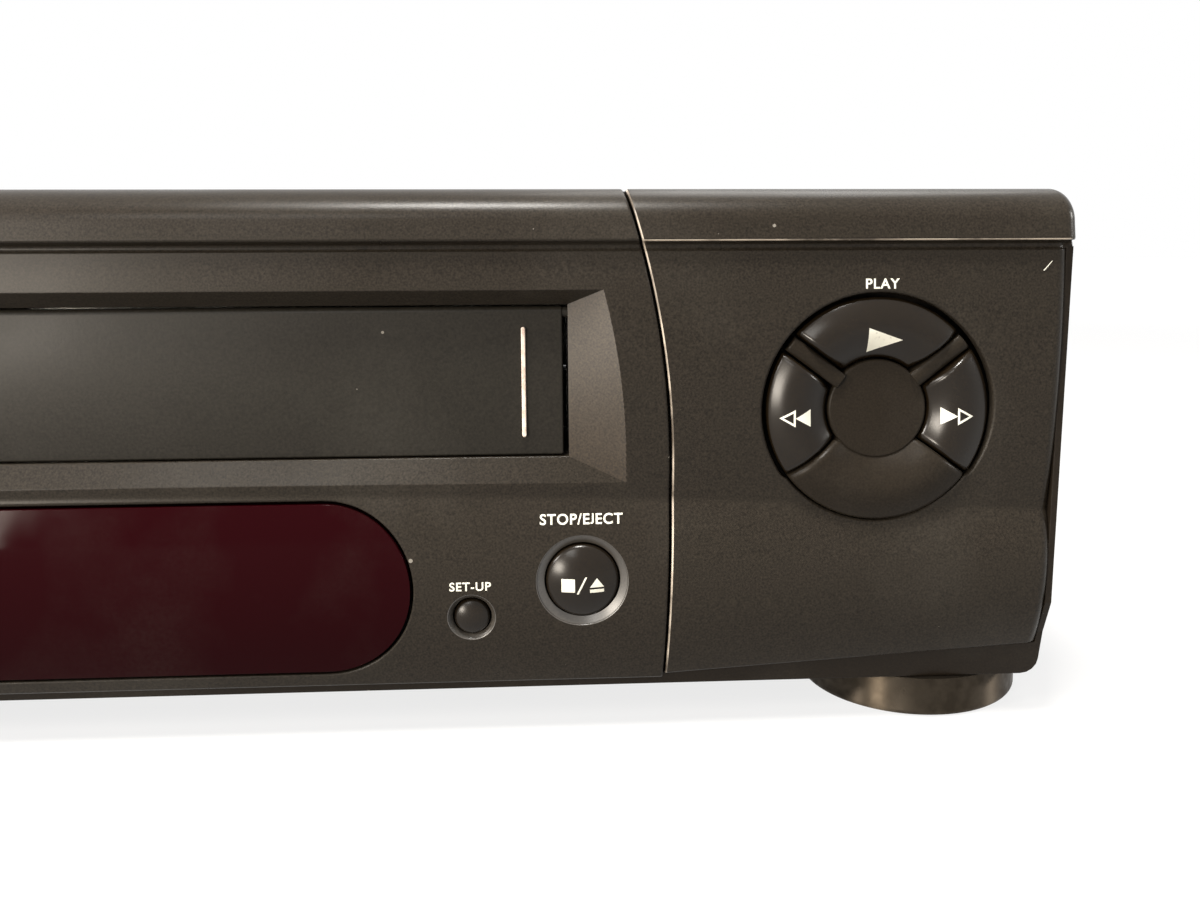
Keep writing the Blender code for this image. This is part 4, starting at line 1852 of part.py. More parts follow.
BASKET_FLOOR = DOOR_BOTTOM - BASKET_SINK
BASKET_ROOF = BASKET_FLOOR + CASSETTE_HEIGHT + BASKET_HEADROOM
PIN_DEPTHS = (BASKET_FRONT + CARRIER_PIN_EDGE, BASKET_FRONT + SLED_LENGTH - CARRIER_PIN_EDGE)
BASKET_PIN_Z = BASKET_FLOOR + BASKET_PIN_HEIGHT
SLED_PIN_Z = SLED_TOP - SLED_PIN_DROP


def side_pins(height, start, stop):
    """Two guide pins on each side, at the same depths for basket and sled."""
    pins = []
    for side in (-1, 1):
        for depth in PIN_DEPTHS:
            pins.append(pin((0, depth, height), along_x, CARRIER_PIN_RADIUS, side * start, side * stop))
    return together(*pins)


def cassette_basket(material):
    """The basket that holds the cassette: side ledges, walls and a pressed top with a window."""
    rear = BASKET_FRONT + BASKET_LENGTH
    low = BASKET_FLOOR - BASKET_WALL
    high = BASKET_ROOF + BASKET_TOP_WALL
    ledge = BASKET_INNER - BASKET_LEDGE
    right = [(ledge, BASKET_FLOOR), (ledge, low), (BASKET_OUTER, low), (BASKET_OUTER, high)]
    left = [(-x, z) for x, z in reversed(right)]
    inside = [(-BASKET_INNER, BASKET_FLOOR), (-BASKET_INNER, BASKET_ROOF)]
    inside += [(BASKET_INNER, BASKET_ROOF), (BASKET_INNER, BASKET_FLOOR)]
    basket = solid("cassette_basket", prism(right + left + inside, along_depth, BASKET_FRONT, rear), material)
    half, edge = BASKET_WINDOW_HALF, BASKET_WINDOW_EDGE
    window = rounded(-half, BASKET_FRONT + edge, half, rear - edge, WINDOW_CORNER, 2)
    cut(basket, prism(window, along_z, BASKET_ROOF - OVERRUN, high + OVERRUN))
    lead = BASKET_LEAD
    ramp = [(BASKET_FRONT - BITE, BASKET_FLOOR + BITE), (BASKET_FRONT - BITE, BASKET_FLOOR - BASKET_WALL / 2),
            (BASKET_FRONT + lead, BASKET_FLOOR + BITE)]
    cut(basket, prism(ramp, along_x, -BASKET_INNER, BASKET_INNER))
    beads = []
    for side in (-1, 1):
        x = side * (half + edge)
        bead = slot(x, BASKET_FRONT + edge / 2, x, rear - edge / 2, BASKET_BEAD, 2)
        beads.append(prism(bead, along_z, high - BITE, high + BASKET_BEAD))
    join(basket, together(*beads))
    return join(basket, side_pins(BASKET_PIN_Z, BASKET_OUTER - BITE, SLED_OUTER - GAP))


def carriage_sled(material):
    """The sled: two side plates with upright slots, joined by a bar over the basket."""
    front, rear = BASKET_FRONT, BASKET_FRONT + SLED_LENGTH
    plate = [(front, SLED_TOP - SLED_SLOPE), (front, SLED_BOTTOM), (rear, SLED_BOTTOM)]
    plate += [(rear, SLED_TOP), (front + SLED_SLOPE / 2, SLED_TOP)]
    shape = prism(plate, along_x, -SLED_OUTER, SLED_OUTER)
    sled = solid("carriage_sled", shape, material, (0, front, SLED_PIN_Z))
    inside = rectangle(-SLED_INNER, SLED_BOTTOM - OVERRUN, SLED_INNER, SLED_TOP - SLED_WALL)
    cut(sled, prism(inside, along_depth, front - OVERRUN, rear + OVERRUN))
    bar_front = rear - SLED_BAR
    low = (-SLED_INNER, front - OVERRUN, SLED_TOP - OVERRUN)
    cut(sled, block(low, (SLED_INNER, bar_front, SLED_TOP + OVERRUN)))
    slots = []
    for side in (-1, 1):
        for depth in PIN_DEPTHS:
            way = slot(depth, BASKET_PIN_Z, depth, BASKET_PIN_Z - DROP_TRAVEL, CARRIER_PIN_RADIUS + GAP, 3)
            slots.append(prism(way, along_x, side * (SLED_INNER - BITE), side * (SLED_OUTER + BITE)))
    cut(sled, together(*slots))
    return join(sled, side_pins(SLED_PIN_Z, SLED_OUTER - BITE, RAIL_OUTER + GAP))


def side_rail(name, side, material):
    """A fixed rail: an upright plate with the sled's slot, a window and a foot on the deck."""
    low = DECK_TOP + GAP
    front = DECK_FRONT_DEPTH
    rear = RAIL_REAR_DEPTH
    section = [(RAIL_INNER, low), (RAIL_OUTER + RAIL_FOOT, low), (RAIL_OUTER + RAIL_FOOT, low + RAIL_WALL)]
    section += [(RAIL_OUTER, low + RAIL_WALL), (RAIL_OUTER, SLED_TOP), (RAIL_INNER, SLED_TOP)]
    section = [(side * x, z) for x, z in section]
    rail = solid(name, prism(section, along_depth, front, rear), material)
    start, stop = side * (RAIL_INNER - BITE), side * (RAIL_OUTER + BITE)
    first, last = PIN_DEPTHS[0], PIN_DEPTHS[1] + LOADING_TRAVEL
    way = slot(first, SLED_PIN_Z, last, SLED_PIN_Z, CARRIER_PIN_RADIUS + GAP, 3)
    edge = RAIL_WINDOW_EDGE
    windows = [prism(way, along_x, start, stop)]
    middle = (front + rear) / 2
    for u0, u1 in ((front + edge, middle - edge / 2), (middle + edge / 2, rear - edge)):
        hole = rounded(u0, low + edge, u1, RAIL_WINDOW_TOP, WINDOW_CORNER, 2)
        windows.append(prism(hole, along_x, start, stop))
    return cut(rail, together(*windows))


# Loading motor on the deck

MOTOR_RADIUS = 11 * MM
MOTOR_LENGTH = 28 * MM
MOTOR_EDGE = 12 * MM
MOTOR_DEPTH = 224 * MM
MOTOR_BOSS = 4 * MM
SADDLE_HALF = 9 * MM
MOTOR_SHAFT = 1.2 * MM
MOTOR_SHAFT_REACH = 12 * MM
MOTOR_X = MOTOR_EDGE - DECK_HALF


def loading_motor(material):
    """The loading motor: a drawn can lying in a saddle on the deck, with its shaft."""
    height = DECK_TOP + GAP + MOTOR_RADIUS + BITE
    stop = MOTOR_X + MOTOR_LENGTH
    profile = [(0, MOTOR_X), (MOTOR_RADIUS, MOTOR_X), (MOTOR_RADIUS, stop - BITE)]
    profile += [(MOTOR_RADIUS - BITE, stop), (MOTOR_BOSS, stop)]
    profile += [(MOTOR_BOSS, stop + BITE), (MOTOR_SHAFT, stop + BITE)]
    profile += [(MOTOR_SHAFT, stop + MOTOR_SHAFT_REACH), (0, stop + MOTOR_SHAFT_REACH)]
    motor = solid("loading_motor", turned(profile, (0, MOTOR_DEPTH, height), along_x, ROUND_SIDES), material)
    saddle = block((MOTOR_X + MOTOR_BOSS, MOTOR_DEPTH - SADDLE_HALF, DECK_TOP + GAP),
                   (stop - MOTOR_BOSS, MOTOR_DEPTH + SADDLE_HALF, height - MOTOR_BOSS))
    return join(motor, saddle)


def tape_deck(finishes):
    """Everything on the deck plate."""
    deck_plate(finishes["zinc_steel"])
    reel_table("supply_reel", -1, finishes["deck_plastic"])
    reel_table("takeup_reel", 1, finishes["deck_plastic"])
    drums(finishes)
    capstan(finishes)
    clutch_pulley(finishes["white_plastic"])
    drive_belt(finishes["roller_rubber"])
    pinch_parts(finishes)
    tape_guide("supply_guide", -1, finishes["cast_alloy"])
    tape_guide("takeup_guide", 1, finishes["cast_alloy"])
    tape_head("audio_head", AUDIO_HEAD_X, AUDIO_HEAD_DEPTH, finishes["polished_steel"])
    tape_head("erase_head", ERASE_HEAD_X, ERASE_HEAD_DEPTH, finishes["polished_steel"])
    cassette_basket(finishes["zinc_steel"])
    carriage_sled(finishes["zinc_steel"])
    side_rail("side_rail_left", -1, finishes["zinc_steel"])
    side_rail("side_rail_right", 1, finishes["zinc_steel"])
    loading_motor(finishes["zinc_steel"])


def build():
    """Make every part."""
    for leftover in list(bpy.data.objects):
        bpy.data.objects.remove(leftover, do_unlink=True)
    finishes = make_finishes()
    centre_panel(finishes["front_plastic"])
    end_panel("right_fascia", 1, RING_X, RING_Z, RING_RADIUS, finishes["end_plastic"])
    end_panel("left_fascia", -1, CHANNEL_X, CHANNEL_Z, CHANNEL_RADIUS, finishes["end_plastic"])
    display_window(finishes["window_plastic"])
    for name in key_places():
        round_key(name, finishes["key_plastic"])
    ring_control(finishes)
    channel_control(finishes)
    front_frame(finishes["frame_plastic"])
    boards(finishes)
    cassette_door(finishes["door_plastic"])
    top_cover(finishes["painted_steel"])
    chassis_tray(finishes["tray_plastic"])
    feet(finishes)
    rear_panel(finishes["zinc_steel"])
    rear_sockets(finishes)
    main_board(finishes["board"])
    power_supply(finishes)
    tuner(finishes["zinc_steel"])
    tape_deck(finishes)


build()
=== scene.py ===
"""The looks of a front-loading video cassette recorder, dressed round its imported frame.

All sizes are in metres: x runs to the right along the front, y to the back, z up.
Shapes are made as (x, depth, z), where depth is the distance behind the foremost line of the front.
"""

import math

import bmesh
import bpy
from mathutils import Matrix, Vector


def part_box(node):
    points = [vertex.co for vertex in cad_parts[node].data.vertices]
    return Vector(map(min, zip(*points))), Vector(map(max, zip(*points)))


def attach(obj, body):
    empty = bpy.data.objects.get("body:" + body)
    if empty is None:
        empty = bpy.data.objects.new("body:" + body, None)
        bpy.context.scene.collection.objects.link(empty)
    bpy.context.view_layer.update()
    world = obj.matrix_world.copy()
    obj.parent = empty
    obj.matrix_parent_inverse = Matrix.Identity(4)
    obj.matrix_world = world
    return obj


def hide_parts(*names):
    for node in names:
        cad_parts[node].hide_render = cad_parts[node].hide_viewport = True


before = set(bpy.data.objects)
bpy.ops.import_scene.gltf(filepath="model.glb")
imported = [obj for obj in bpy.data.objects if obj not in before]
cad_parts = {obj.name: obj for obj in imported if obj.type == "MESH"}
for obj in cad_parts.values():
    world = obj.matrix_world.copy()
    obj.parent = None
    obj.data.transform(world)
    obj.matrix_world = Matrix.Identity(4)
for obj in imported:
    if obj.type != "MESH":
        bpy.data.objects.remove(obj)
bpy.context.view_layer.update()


# Camera
# The photograph was taken by hand, close to the right half of the front and a little above it.
# Its place, heading and focal length were fitted to edges of the front whose size is known.

MM = 0.001
FACE_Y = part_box("centre_fascia")[0].y
PHOTO_WIDTH = 1200
PHOTO_HEIGHT = 900
FOCAL_PIXELS = 1000
LENS_CENTRE_X = 650
LENS_CENTRE_Y = 330
SENSOR_WIDTH = 36
CAMERA_X = 101 * MM
CAMERA_DISTANCE = 180 * MM
CAMERA_HEIGHT = 91.5 * MM
CAMERA_YAW = math.radians(3.07)
CAMERA_PITCH = math.radians(4.54)
CAMERA_ROLL = math.radians(-0.23)

camera = bpy.data.objects.new("camera", bpy.data.cameras.new("camera"))
bpy.context.scene.collection.objects.link(camera)
camera.data.sensor_width = SENSOR_WIDTH
camera.data.lens = SENSOR_WIDTH * FOCAL_PIXELS / PHOTO_WIDTH
camera.data.shift_x = (PHOTO_WIDTH / 2 - LENS_CENTRE_X) / PHOTO_WIDTH
camera.data.shift_y = (LENS_CENTRE_Y - PHOTO_HEIGHT / 2) / PHOTO_WIDTH
camera.data.clip_start = MM
heading = Matrix.Rotation(-CAMERA_YAW, 4, "Z") @ Matrix.Rotation(math.pi / 2 - CAMERA_PITCH, 4, "X")
camera.matrix_world = (Matrix.Translation((CAMERA_X, FACE_Y - CAMERA_DISTANCE, CAMERA_HEIGHT)) @ heading
                       @ Matrix.Rotation(CAMERA_ROLL, 4, "Z"))
bpy.context.scene.camera = camera


# Studio
# A wide pale floor and a plain white surround, seen by the camera and in reflections.
# Soft lamps stand in front at the left, at both sides, high in front, and behind and above.

FLOOR_RADIUS = 9.0
FLOOR_SIDES = 96
FLOOR_COLOUR = (0.16, 0.158, 0.155, 1)
FLOOR_LIFT = 0.79
FLOOR_NEAR = 0.45
FLOOR_FAR = 1.6
AMBIENT = 0.08
WHITE = (1, 1, 1, 1)


def wired(tree, kind, wires=None, **settings):
    """A shader node with its settings; wires give each input a value or another node's output."""
    node = tree.nodes.new("ShaderNode" + kind)
    for name, value in settings.items():
        setattr(node, name, value)
    for socket, value in (wires or {}).items():
        if isinstance(value, bpy.types.NodeSocket):
            tree.links.new(value, node.inputs[socket])
        else:
            node.inputs[socket].default_value = value
    return node


def blended(tree, factor, first, second, mode="MIX"):
    """One colour laid over another by a factor."""
    wires = {0: factor, 6: first, 7: second}
    return wired(tree, "Mix", wires, data_type="RGBA", blend_type=mode, clamp_result=False).outputs[2]


def figured(tree, operation, *values):
    """A sum, product or other figure worked out in the shader."""
    wires = dict(enumerate(values))
    return wired(tree, "Math", wires, operation=operation).outputs[0]


def seen_directly(tree):
    """One for the camera's rays, mirror reflections and what is seen through glass, else zero."""
    path = wired(tree, "LightPath").outputs
    seen = figured(tree, "MAXIMUM", path["Is Camera Ray"], path["Is Glossy Ray"])
    return figured(tree, "MAXIMUM", seen, path["Is Transmission Ray"])


surround = bpy.data.worlds.new("surround")
bpy.context.scene.world = surround
surround.use_nodes = True
sky = surround.node_tree
strength = wired(sky, "MapRange", {0: seen_directly(sky), 3: AMBIENT, 4: 1.0}).outputs[0]
tone = sky.nodes["Background"]
tone.inputs["Color"].default_value = WHITE
sky.links.new(strength, tone.inputs["Strength"])

floor_finish = bpy.data.materials.new("studio_floor")
floor_finish.use_nodes = True
tree = floor_finish.node_tree
shader = tree.nodes["Principled BSDF"]
shader.inputs["Roughness"].default_value = 0.9
shader.inputs["Specular IOR Level"].default_value = 0.1
shader.inputs["Emission Color"].default_value = WHITE
away = wired(tree, "VectorMath", {0: wired(tree, "TexCoord").outputs["Object"]}, operation="LENGTH")
far = wired(tree, "MapRange", {0: away.outputs["Value"], 1: FLOOR_NEAR, 2: FLOOR_FAR},
            interpolation_type="SMOOTHSTEP").outputs[0]
tree.links.new(blended(tree, far, FLOOR_COLOUR, (0, 0, 0, 1)), shader.inputs["Base Color"])
lift = wired(tree, "MapRange", {0: far, 3: FLOOR_LIFT, 4: 1.0}).outputs[0]
tree.links.new(figured(tree, "MULTIPLY", seen_directly(tree), lift), shader.inputs["Emission Strength"])

shape = bmesh.new()
bmesh.ops.create_circle(shape, cap_ends=True, radius=FLOOR_RADIUS, segments=FLOOR_SIDES)
floor_mesh = bpy.data.meshes.new("studio_floor")
shape.to_mesh(floor_mesh)
shape.free()
floor_mesh.materials.append(floor_finish)
floor = bpy.data.objects.new("studio_floor", floor_mesh)
floor.location.z = -0.05 * MM
bpy.context.scene.collection.objects.link(floor)


def soft_lamp(name, place, target, size, power, tint):
    """A square soft box that faces a target."""
    lamp = bpy.data.lights.new(name, "AREA")
    lamp.shape = "SQUARE"
    lamp.size = size
    lamp.energy = power
    lamp.color = tint
    holder = bpy.data.objects.new(name, lamp)
    holder.location = place
    holder.rotation_euler = (Vector(target) - Vector(place)).to_track_quat("-Z", "Y").to_euler()
    bpy.context.scene.collection.objects.link(holder)


soft_lamp("front_lamp", (-0.69, -1.05, 0.14), (0.10, -0.14, 0.06), 0.30, 13.0, (1.0, 0.91, 0.79))
soft_lamp("side_lamp", (-0.98, -0.62, 0.56), (0.10, -0.14, 0.06), 0.20, 10.5, (1.0, 0.95, 0.89))
soft_lamp("right_lamp", (1.15, -0.22, 0.40), (0.10, -0.14, 0.06), 0.20, 5.0, (1.0, 0.97, 0.93))
soft_lamp("high_lamp", (-0.05, -0.44, 1.20), (0.10, -0.14, 0.06), 0.24, 26.0, (1.0, 0.97, 0.92))
soft_lamp("window_lamp", (-0.30, -1.02, 0.66), (0.10, -0.14, 0.05), 0.30, 2.6, (1.0, 0.97, 0.92))
soft_lamp("back_lamp", (0.30, 0.50, 0.90), (0.0, 0.0, 0.06), 0.50, 3.0, (1.0, 0.98, 0.95))
bpy.context.scene.view_settings.view_transform = "Standard"


# Chassis tray
# Black moulded tray under the recorder, with the fine spark grain of its mould and dust in the corners.
# It is the CAD node itself; the grain, dust and soft edges below also serve the later plastics.

GRAIN_SCALE = 2600.0
SPECK_SCALE = 210.0
SMEAR_SCALE = 28.0


def effect(name, inputs, outputs):
    """An empty shader node group with named inputs and outputs."""
    group = bpy.data.node_groups.new(name, "ShaderNodeTree")
    for label, value in inputs.items():
        kind = "NodeSocketFloat" if isinstance(value, float) else "NodeSocketColor"
        socket = group.interface.new_socket(label, in_out="INPUT", socket_type=kind)
        socket.default_value = value
    for label, kind in outputs.items():
        group.interface.new_socket(label, in_out="OUTPUT", socket_type="NodeSocket" + kind)
    entry = group.nodes.new("NodeGroupInput").outputs
    result = group.nodes.new("NodeGroupOutput").inputs
    return group, entry, result


def placed(tree, group, wires):
    """A group's node in a material, with its own values."""
    node = wired(tree, "Group", node_tree=group)
    for socket, value in wires.items():
        if isinstance(value, bpy.types.NodeSocket):
            tree.links.new(value, node.inputs[socket])
        else:
            node.inputs[socket].default_value = value
    return node.outputs


def object_place(tree):
    """Where a point lies on the object, in metres."""
    return wired(tree, "TexCoord").outputs["Object"]


def noise(tree, scale, detail=2.0, place=None):
    """Fractal noise between zero and one."""
    wires = {"Vector": place or object_place(tree), "Scale": scale, "Detail": detail}
    return wired(tree, "TexNoise", wires).outputs["Fac"]


grain, entry, result = effect("moulded grain", {"Colour": WHITE, "Scale": GRAIN_SCALE, "Contrast": 0.25},
                              {"Colour": "Color", "Height": "Float"})
fine = noise(grain, entry["Scale"])
low = figured(grain, "SUBTRACT", 1.0, entry["Contrast"])
high = figured(grain, "ADD", 1.0, entry["Contrast"])
gain = wired(grain, "MapRange", {0: fine, 1: 0.3, 2: 0.7, 3: low, 4: high}, clamp=False).outputs[0]
grain.links.new(blended(grain, 1.0, entry["Colour"], gain, "MULTIPLY"), result["Colour"])
grain.links.new(fine, result["Height"])

dust, entry, result = effect("dust", {"Colour": WHITE, "Dust": (0.42, 0.39, 0.34, 1), "Amount": 0.5},
                             {"Colour": "Color", "Mask": "Float"})
spots = wired(dust, "TexVoronoi", {"Vector": object_place(dust), "Scale": SPECK_SCALE}).outputs
chance = wired(dust, "SeparateColor", {0: spots["Color"]}).outputs[0]
reach = figured(dust, "MULTIPLY", figured(dust, "POWER", chance, 9.0), 0.085)
speck = figured(dust, "LESS_THAN", spots["Distance"], reach)
veil = wired(dust, "MapRange", {0: noise(dust, SMEAR_SCALE, 6.0), 1: 0.52, 2: 0.9, 4: 0.16}).outputs[0]
film = figured(dust, "MULTIPLY", veil, noise(dust, GRAIN_SCALE / 2))
mask = figured(dust, "MULTIPLY", figured(dust, "MAXIMUM", speck, film), entry["Amount"])
dust.links.new(blended(dust, mask, entry["Colour"], entry["Dust"]), result["Colour"])
dust.links.new(mask, result["Mask"])

wear, entry, result = effect("edge wear", {"Colour": WHITE, "Worn": (0.3, 0.28, 0.25, 1), "Reach": 0.0004,
                                           "Amount": 0.5}, {"Colour": "Color", "Mask": "Float"})
bent = wired(wear, "Bevel", {"Radius": entry["Reach"]}, samples=4).outputs[0]
flat = wired(wear, "NewGeometry").outputs["Normal"]
along = wired(wear, "VectorMath", {0: bent, 1: flat}, operation="DOT_PRODUCT").outputs["Value"]
turned_away = wired(wear, "MapRange", {0: along, 1: 0.98, 2: 0.75, 4: 1.0}).outputs[0]
patchy = wired(wear, "MapRange", {0: noise(wear, 400.0, 4.0), 1: 0.45, 2: 0.62}).outputs[0]
mask = figured(wear, "MULTIPLY", figured(wear, "MULTIPLY", turned_away, patchy), entry["Amount"])
wear.links.new(blended(wear, mask, entry["Colour"], entry["Worn"]), result["Colour"])
wear.links.new(mask, result["Mask"])


def principled(name, **sockets):
    """A new material with plain values set on its shader's own sockets."""
    material = bpy.data.materials.new(name)
    material.use_nodes = True
    shader = material.node_tree.nodes["Principled BSDF"]
    for socket, value in sockets.items():
        shader.inputs[socket.replace("_", " ").replace("Ior", "IOR")].default_value = value
    return material, material.node_tree, shader


def moulded(name, colour, roughness, depth=0.02 * MM, scale=GRAIN_SCALE, dusty=0.5, worn=0.3, edge=0.0,
            contrast=0.22, shine=0.22, **sockets):
    """Moulded plastic: grain in its colour and height, dust, edges rubbed lighter, uneven gloss."""
    material, tree, shader = principled(name, Specular_IOR_Level=shine, **sockets)
    base = (*colour, 1)
    grained = placed(tree, grain, {"Colour": base, "Scale": scale, "Contrast": contrast})
    rubbed = tuple(min(1, 2.6 * part + 0.02) for part in colour)
    edged = placed(tree, wear, {"Colour": grained["Colour"], "Worn": (*rubbed, 1), "Amount": worn})
    dusted = placed(tree, dust, {"Colour": edged["Colour"], "Amount": dusty})
    tree.links.new(dusted["Colour"], shader.inputs["Base Color"])
    uneven = wired(tree, "MapRange", {0: noise(tree, 45.0, 5.0), 1: 0.3, 2: 0.7, 3: roughness - 0.05,
                                      4: roughness + 0.05}).outputs[0]
    dulled = figured(tree, "ADD", uneven, figured(tree, "MULTIPLY", dusted["Mask"], 0.3))
    tree.links.new(dulled, shader.inputs["Roughness"])
    wires = {"Height": grained["Height"], "Distance": depth, "Strength": 1.0}
    if edge:
        wires["Normal"] = wired(tree, "Bevel", {"Radius": edge}, samples=4).outputs[0]
    tree.links.new(wired(tree, "Bump", wires).outputs[0], shader.inputs["Normal"])
    return material


def dress(material, *nodes):
    """Give a material to CAD nodes that stay as they are."""
    for name in nodes:
        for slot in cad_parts[name].material_slots:
            slot.material = material


dress(moulded("tray_black", (0.030, 0.029, 0.028), 0.55, edge=0.5 * MM, dusty=0.8), "chassis_tray")


# Boards and supply
# Brown laminate boards with solder and lacquer, a varnished transformer, a heat sink, a plated tuner can.
# They are inside the cabinet; little of them shows through the vents and the open door.

laminate, tree, shader = principled("brown_laminate", Coat_Weight=0.25, Coat_Roughness=0.3)
cloth = wired(tree, "TexWave", {"Vector": object_place(tree), "Scale": 420.0, "Distortion": 2.5}).outputs["Fac"]
off_line = figured(tree, "ABSOLUTE", figured(tree, "SUBTRACT", noise(tree, 120.0, 1.0), 0.5))
copper = wired(tree, "MapRange", {0: off_line, 1: 0.012, 2: 0.022, 3: 1.0, 4: 0.0}).outputs[0]
base = blended(tree, cloth, (0.20, 0.105, 0.040, 1), (0.26, 0.145, 0.060, 1))
tracks = blended(tree, copper, base, (0.16, 0.12, 0.045, 1))
tree.links.new(placed(tree, dust, {"Colour": tracks, "Amount": 0.9})["Colour"], shader.inputs["Base Color"])
tree.links.new(wired(tree, "MapRange", {0: copper, 3: 0.55, 4: 0.35}).outputs[0], shader.inputs["Roughness"])
bump = wired(tree, "Bump", {"Height": copper, "Distance": 0.05 * MM}).outputs[0]
tree.links.new(bump, shader.inputs["Normal"])
dress(laminate, "front_board", "left_key_board", "right_key_board", "main_board", "power_board")

brushing, entry, result = effect("brushed metal", {"Colour": WHITE, "Scale": 900.0, "Stretch": 40.0,
                                                   "Roughness": 0.3, "Stain": 0.4},
                                 {"Colour": "Color", "Roughness": "Float", "Height": "Float"})
spread = wired(brushing, "CombineXYZ", {0: entry["Scale"], 2: entry["Scale"],
                                        1: figured(brushing, "DIVIDE", entry["Scale"], entry["Stretch"])})
lined = wired(brushing, "VectorMath", {0: object_place(brushing), 1: spread.outputs[0]}, operation="MULTIPLY")
lines = noise(brushing, 1.0, 3.0, lined.outputs[0])
cloudy = wired(brushing, "MapRange", {0: noise(brushing, 60.0, 6.0), 1: 0.4, 2: 0.75}).outputs[0]
dulled = figured(brushing, "MULTIPLY", cloudy, entry["Stain"])
darker = blended(brushing, 1.0, entry["Colour"], (0.62, 0.58, 0.52, 1), "MULTIPLY")
brushing.links.new(blended(brushing, dulled, entry["Colour"], darker), result["Colour"])
swing = wired(brushing, "MapRange", {0: lines, 1: 0.3, 2: 0.7, 3: -0.08, 4: 0.10}).outputs[0]
rough = figured(brushing, "ADD", figured(brushing, "ADD", entry["Roughness"], swing),
                figured(brushing, "MULTIPLY", dulled, 0.25))
brushing.links.new(rough, result["Roughness"])
brushing.links.new(lines, result["Height"])


def metal(name, colour, roughness, stretch=40.0, scale=900.0, stain=0.4, depth=0.004 * MM, edge=0.0, **sockets):
    """Bare or plated metal: drawn lines, dull clouds and softened edges."""
    material, tree, shader = principled(name, Metallic=1.0, **sockets)
    drawn = placed(tree, brushing, {"Colour": (*colour, 1), "Scale": scale, "Stretch": stretch,
                                    "Roughness": roughness, "Stain": stain})
    tree.links.new(drawn["Colour"], shader.inputs["Base Color"])
    tree.links.new(drawn["Roughness"], shader.inputs["Roughness"])
    wires = {"Height": drawn["Height"], "Distance": depth}
    if edge:
        wires["Normal"] = wired(tree, "Bevel", {"Radius": edge}, samples=4).outputs[0]
    tree.links.new(wired(tree, "Bump", wires).outputs[0], shader.inputs["Normal"])
    return material


zinc = metal("zinc_plate", (0.52, 0.51, 0.475), 0.36, stretch=5.0, scale=900.0, stain=0.25, edge=0.3 * MM)
dress(zinc, "tuner_can")
dress(metal("varnished_core", (0.17, 0.15, 0.14), 0.5, stretch=1.0, edge=0.4 * MM), "transformer")
machined = metal("turned_alloy", (0.74, 0.74, 0.73), 0.20, stretch=60.0, stain=0.1, edge=0.3 * MM)
dress(machined, "heat_sink")


# Tape deck
# Pressed steel deck with a tilted head drum, capstan, belt, reel tables, pinch roller, guides and heads.
# The turning pieces are machined, cast, moulded or rubber.

cast = metal("cast_alloy", (0.47, 0.47, 0.46), 0.45, stretch=1.0, scale=700.0, depth=0.02 * MM, edge=0.4 * MM)
steel = metal("polished_steel", (0.66, 0.65, 0.63), 0.14, stretch=80.0, stain=0.15, edge=0.2 * MM)
reel_plastic = moulded("reel_grey", (0.060, 0.060, 0.058), 0.42, edge=0.3 * MM)
bearing_plastic = moulded("bearing_white", (0.66, 0.65, 0.60), 0.38, edge=0.3 * MM, dusty=0.2)
rubber = moulded("belt_rubber", (0.020, 0.020, 0.020), 0.72, scale=1400.0, worn=0.1, edge=0.3 * MM)
dress(zinc, "deck_plate", "pinch_arm", "cassette_basket", "carriage_sled", "side_rail_left", "side_rail_right",
      "loading_motor")
dress(machined, "drum_upper")
dress(cast, "drum_lower", "capstan_bearing", "supply_guide", "takeup_guide")
dress(steel, "capstan", "audio_head", "erase_head")
dress(reel_plastic, "supply_reel", "takeup_reel")
dress(bearing_plastic, "clutch_pulley")
dress(rubber, "pinch_roller", "drive_belt")


# Rear panel and sockets
# Plated steel sheet with two scart sockets, a pair of audio sockets, the aerial sockets and the inlet.
# Cross-head screws hold it to the tray and the cover, one more the inlet.

SCREW_RADIUS = 3 * MM
SCREW_RISE = 0.9 * MM
SCREW_SIDES = 40
SCREW_STEPS = 6
CROSS_HALF = 0.5 * MM
CROSS_REACH = 1.9 * MM
CROSS_DEPTH = 0.7 * MM
REAR_DEPTH = 278 * MM
REAR_SCREWS = ((-178, 96), (0, 96), (178, 96), (-178, 30), (178, 18), (-128, 44))
FINE_EDGES = 14


def solid(name, shape, material):
    """A piece from a shape in (x, depth, z), in one material."""
    bmesh.ops.recalc_face_normals(shape, faces=shape.faces)
    for vert in shape.verts:
        vert.co.y += FACE_Y
    mesh = bpy.data.meshes.new(name)
    shape.to_mesh(mesh)
    shape.free()
    mesh.materials.append(material)
    piece = bpy.data.objects.new(name, mesh)
    bpy.context.scene.collection.objects.link(piece)
    return piece


def settle(piece):
    """Turn a piece's modifiers into its mesh."""
    bpy.context.view_layer.update()
    graph = bpy.context.evaluated_depsgraph_get()
    mesh = bpy.data.meshes.new_from_object(piece.evaluated_get(graph), depsgraph=graph)
    piece.modifiers.clear()
    piece.data = mesh


def seat(piece, body, slot, *nodes, sharp=FINE_EDGES):
    """Smooth a piece's curved faces, fix it to its body, and let it stand for the CAD nodes it replaces."""
    piece.data.shade_smooth()
    piece.data.set_sharp_from_angle(angle=math.radians(sharp))
    modifier = piece.modifiers.new("even shading", "WEIGHTED_NORMAL")
    modifier.keep_sharp = True
    settle(piece)
    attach(piece, body)
    if nodes:
        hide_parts(*nodes)


def lofted(rings):
    """A closed body through a row of rings with the same number of points."""
    shape = bmesh.new()
    levels = [[shape.verts.new(point) for point in ring] for ring in rings]
    count = len(rings[0])
    for low, high in zip(levels, levels[1:]):
        for i in range(count):
            shape.faces.new((low[i], low[(i + 1) % count], high[(i + 1) % count], high[i]))
    shape.faces.new(levels[0])
    shape.faces.new(levels[-1][::-1])
    return shape


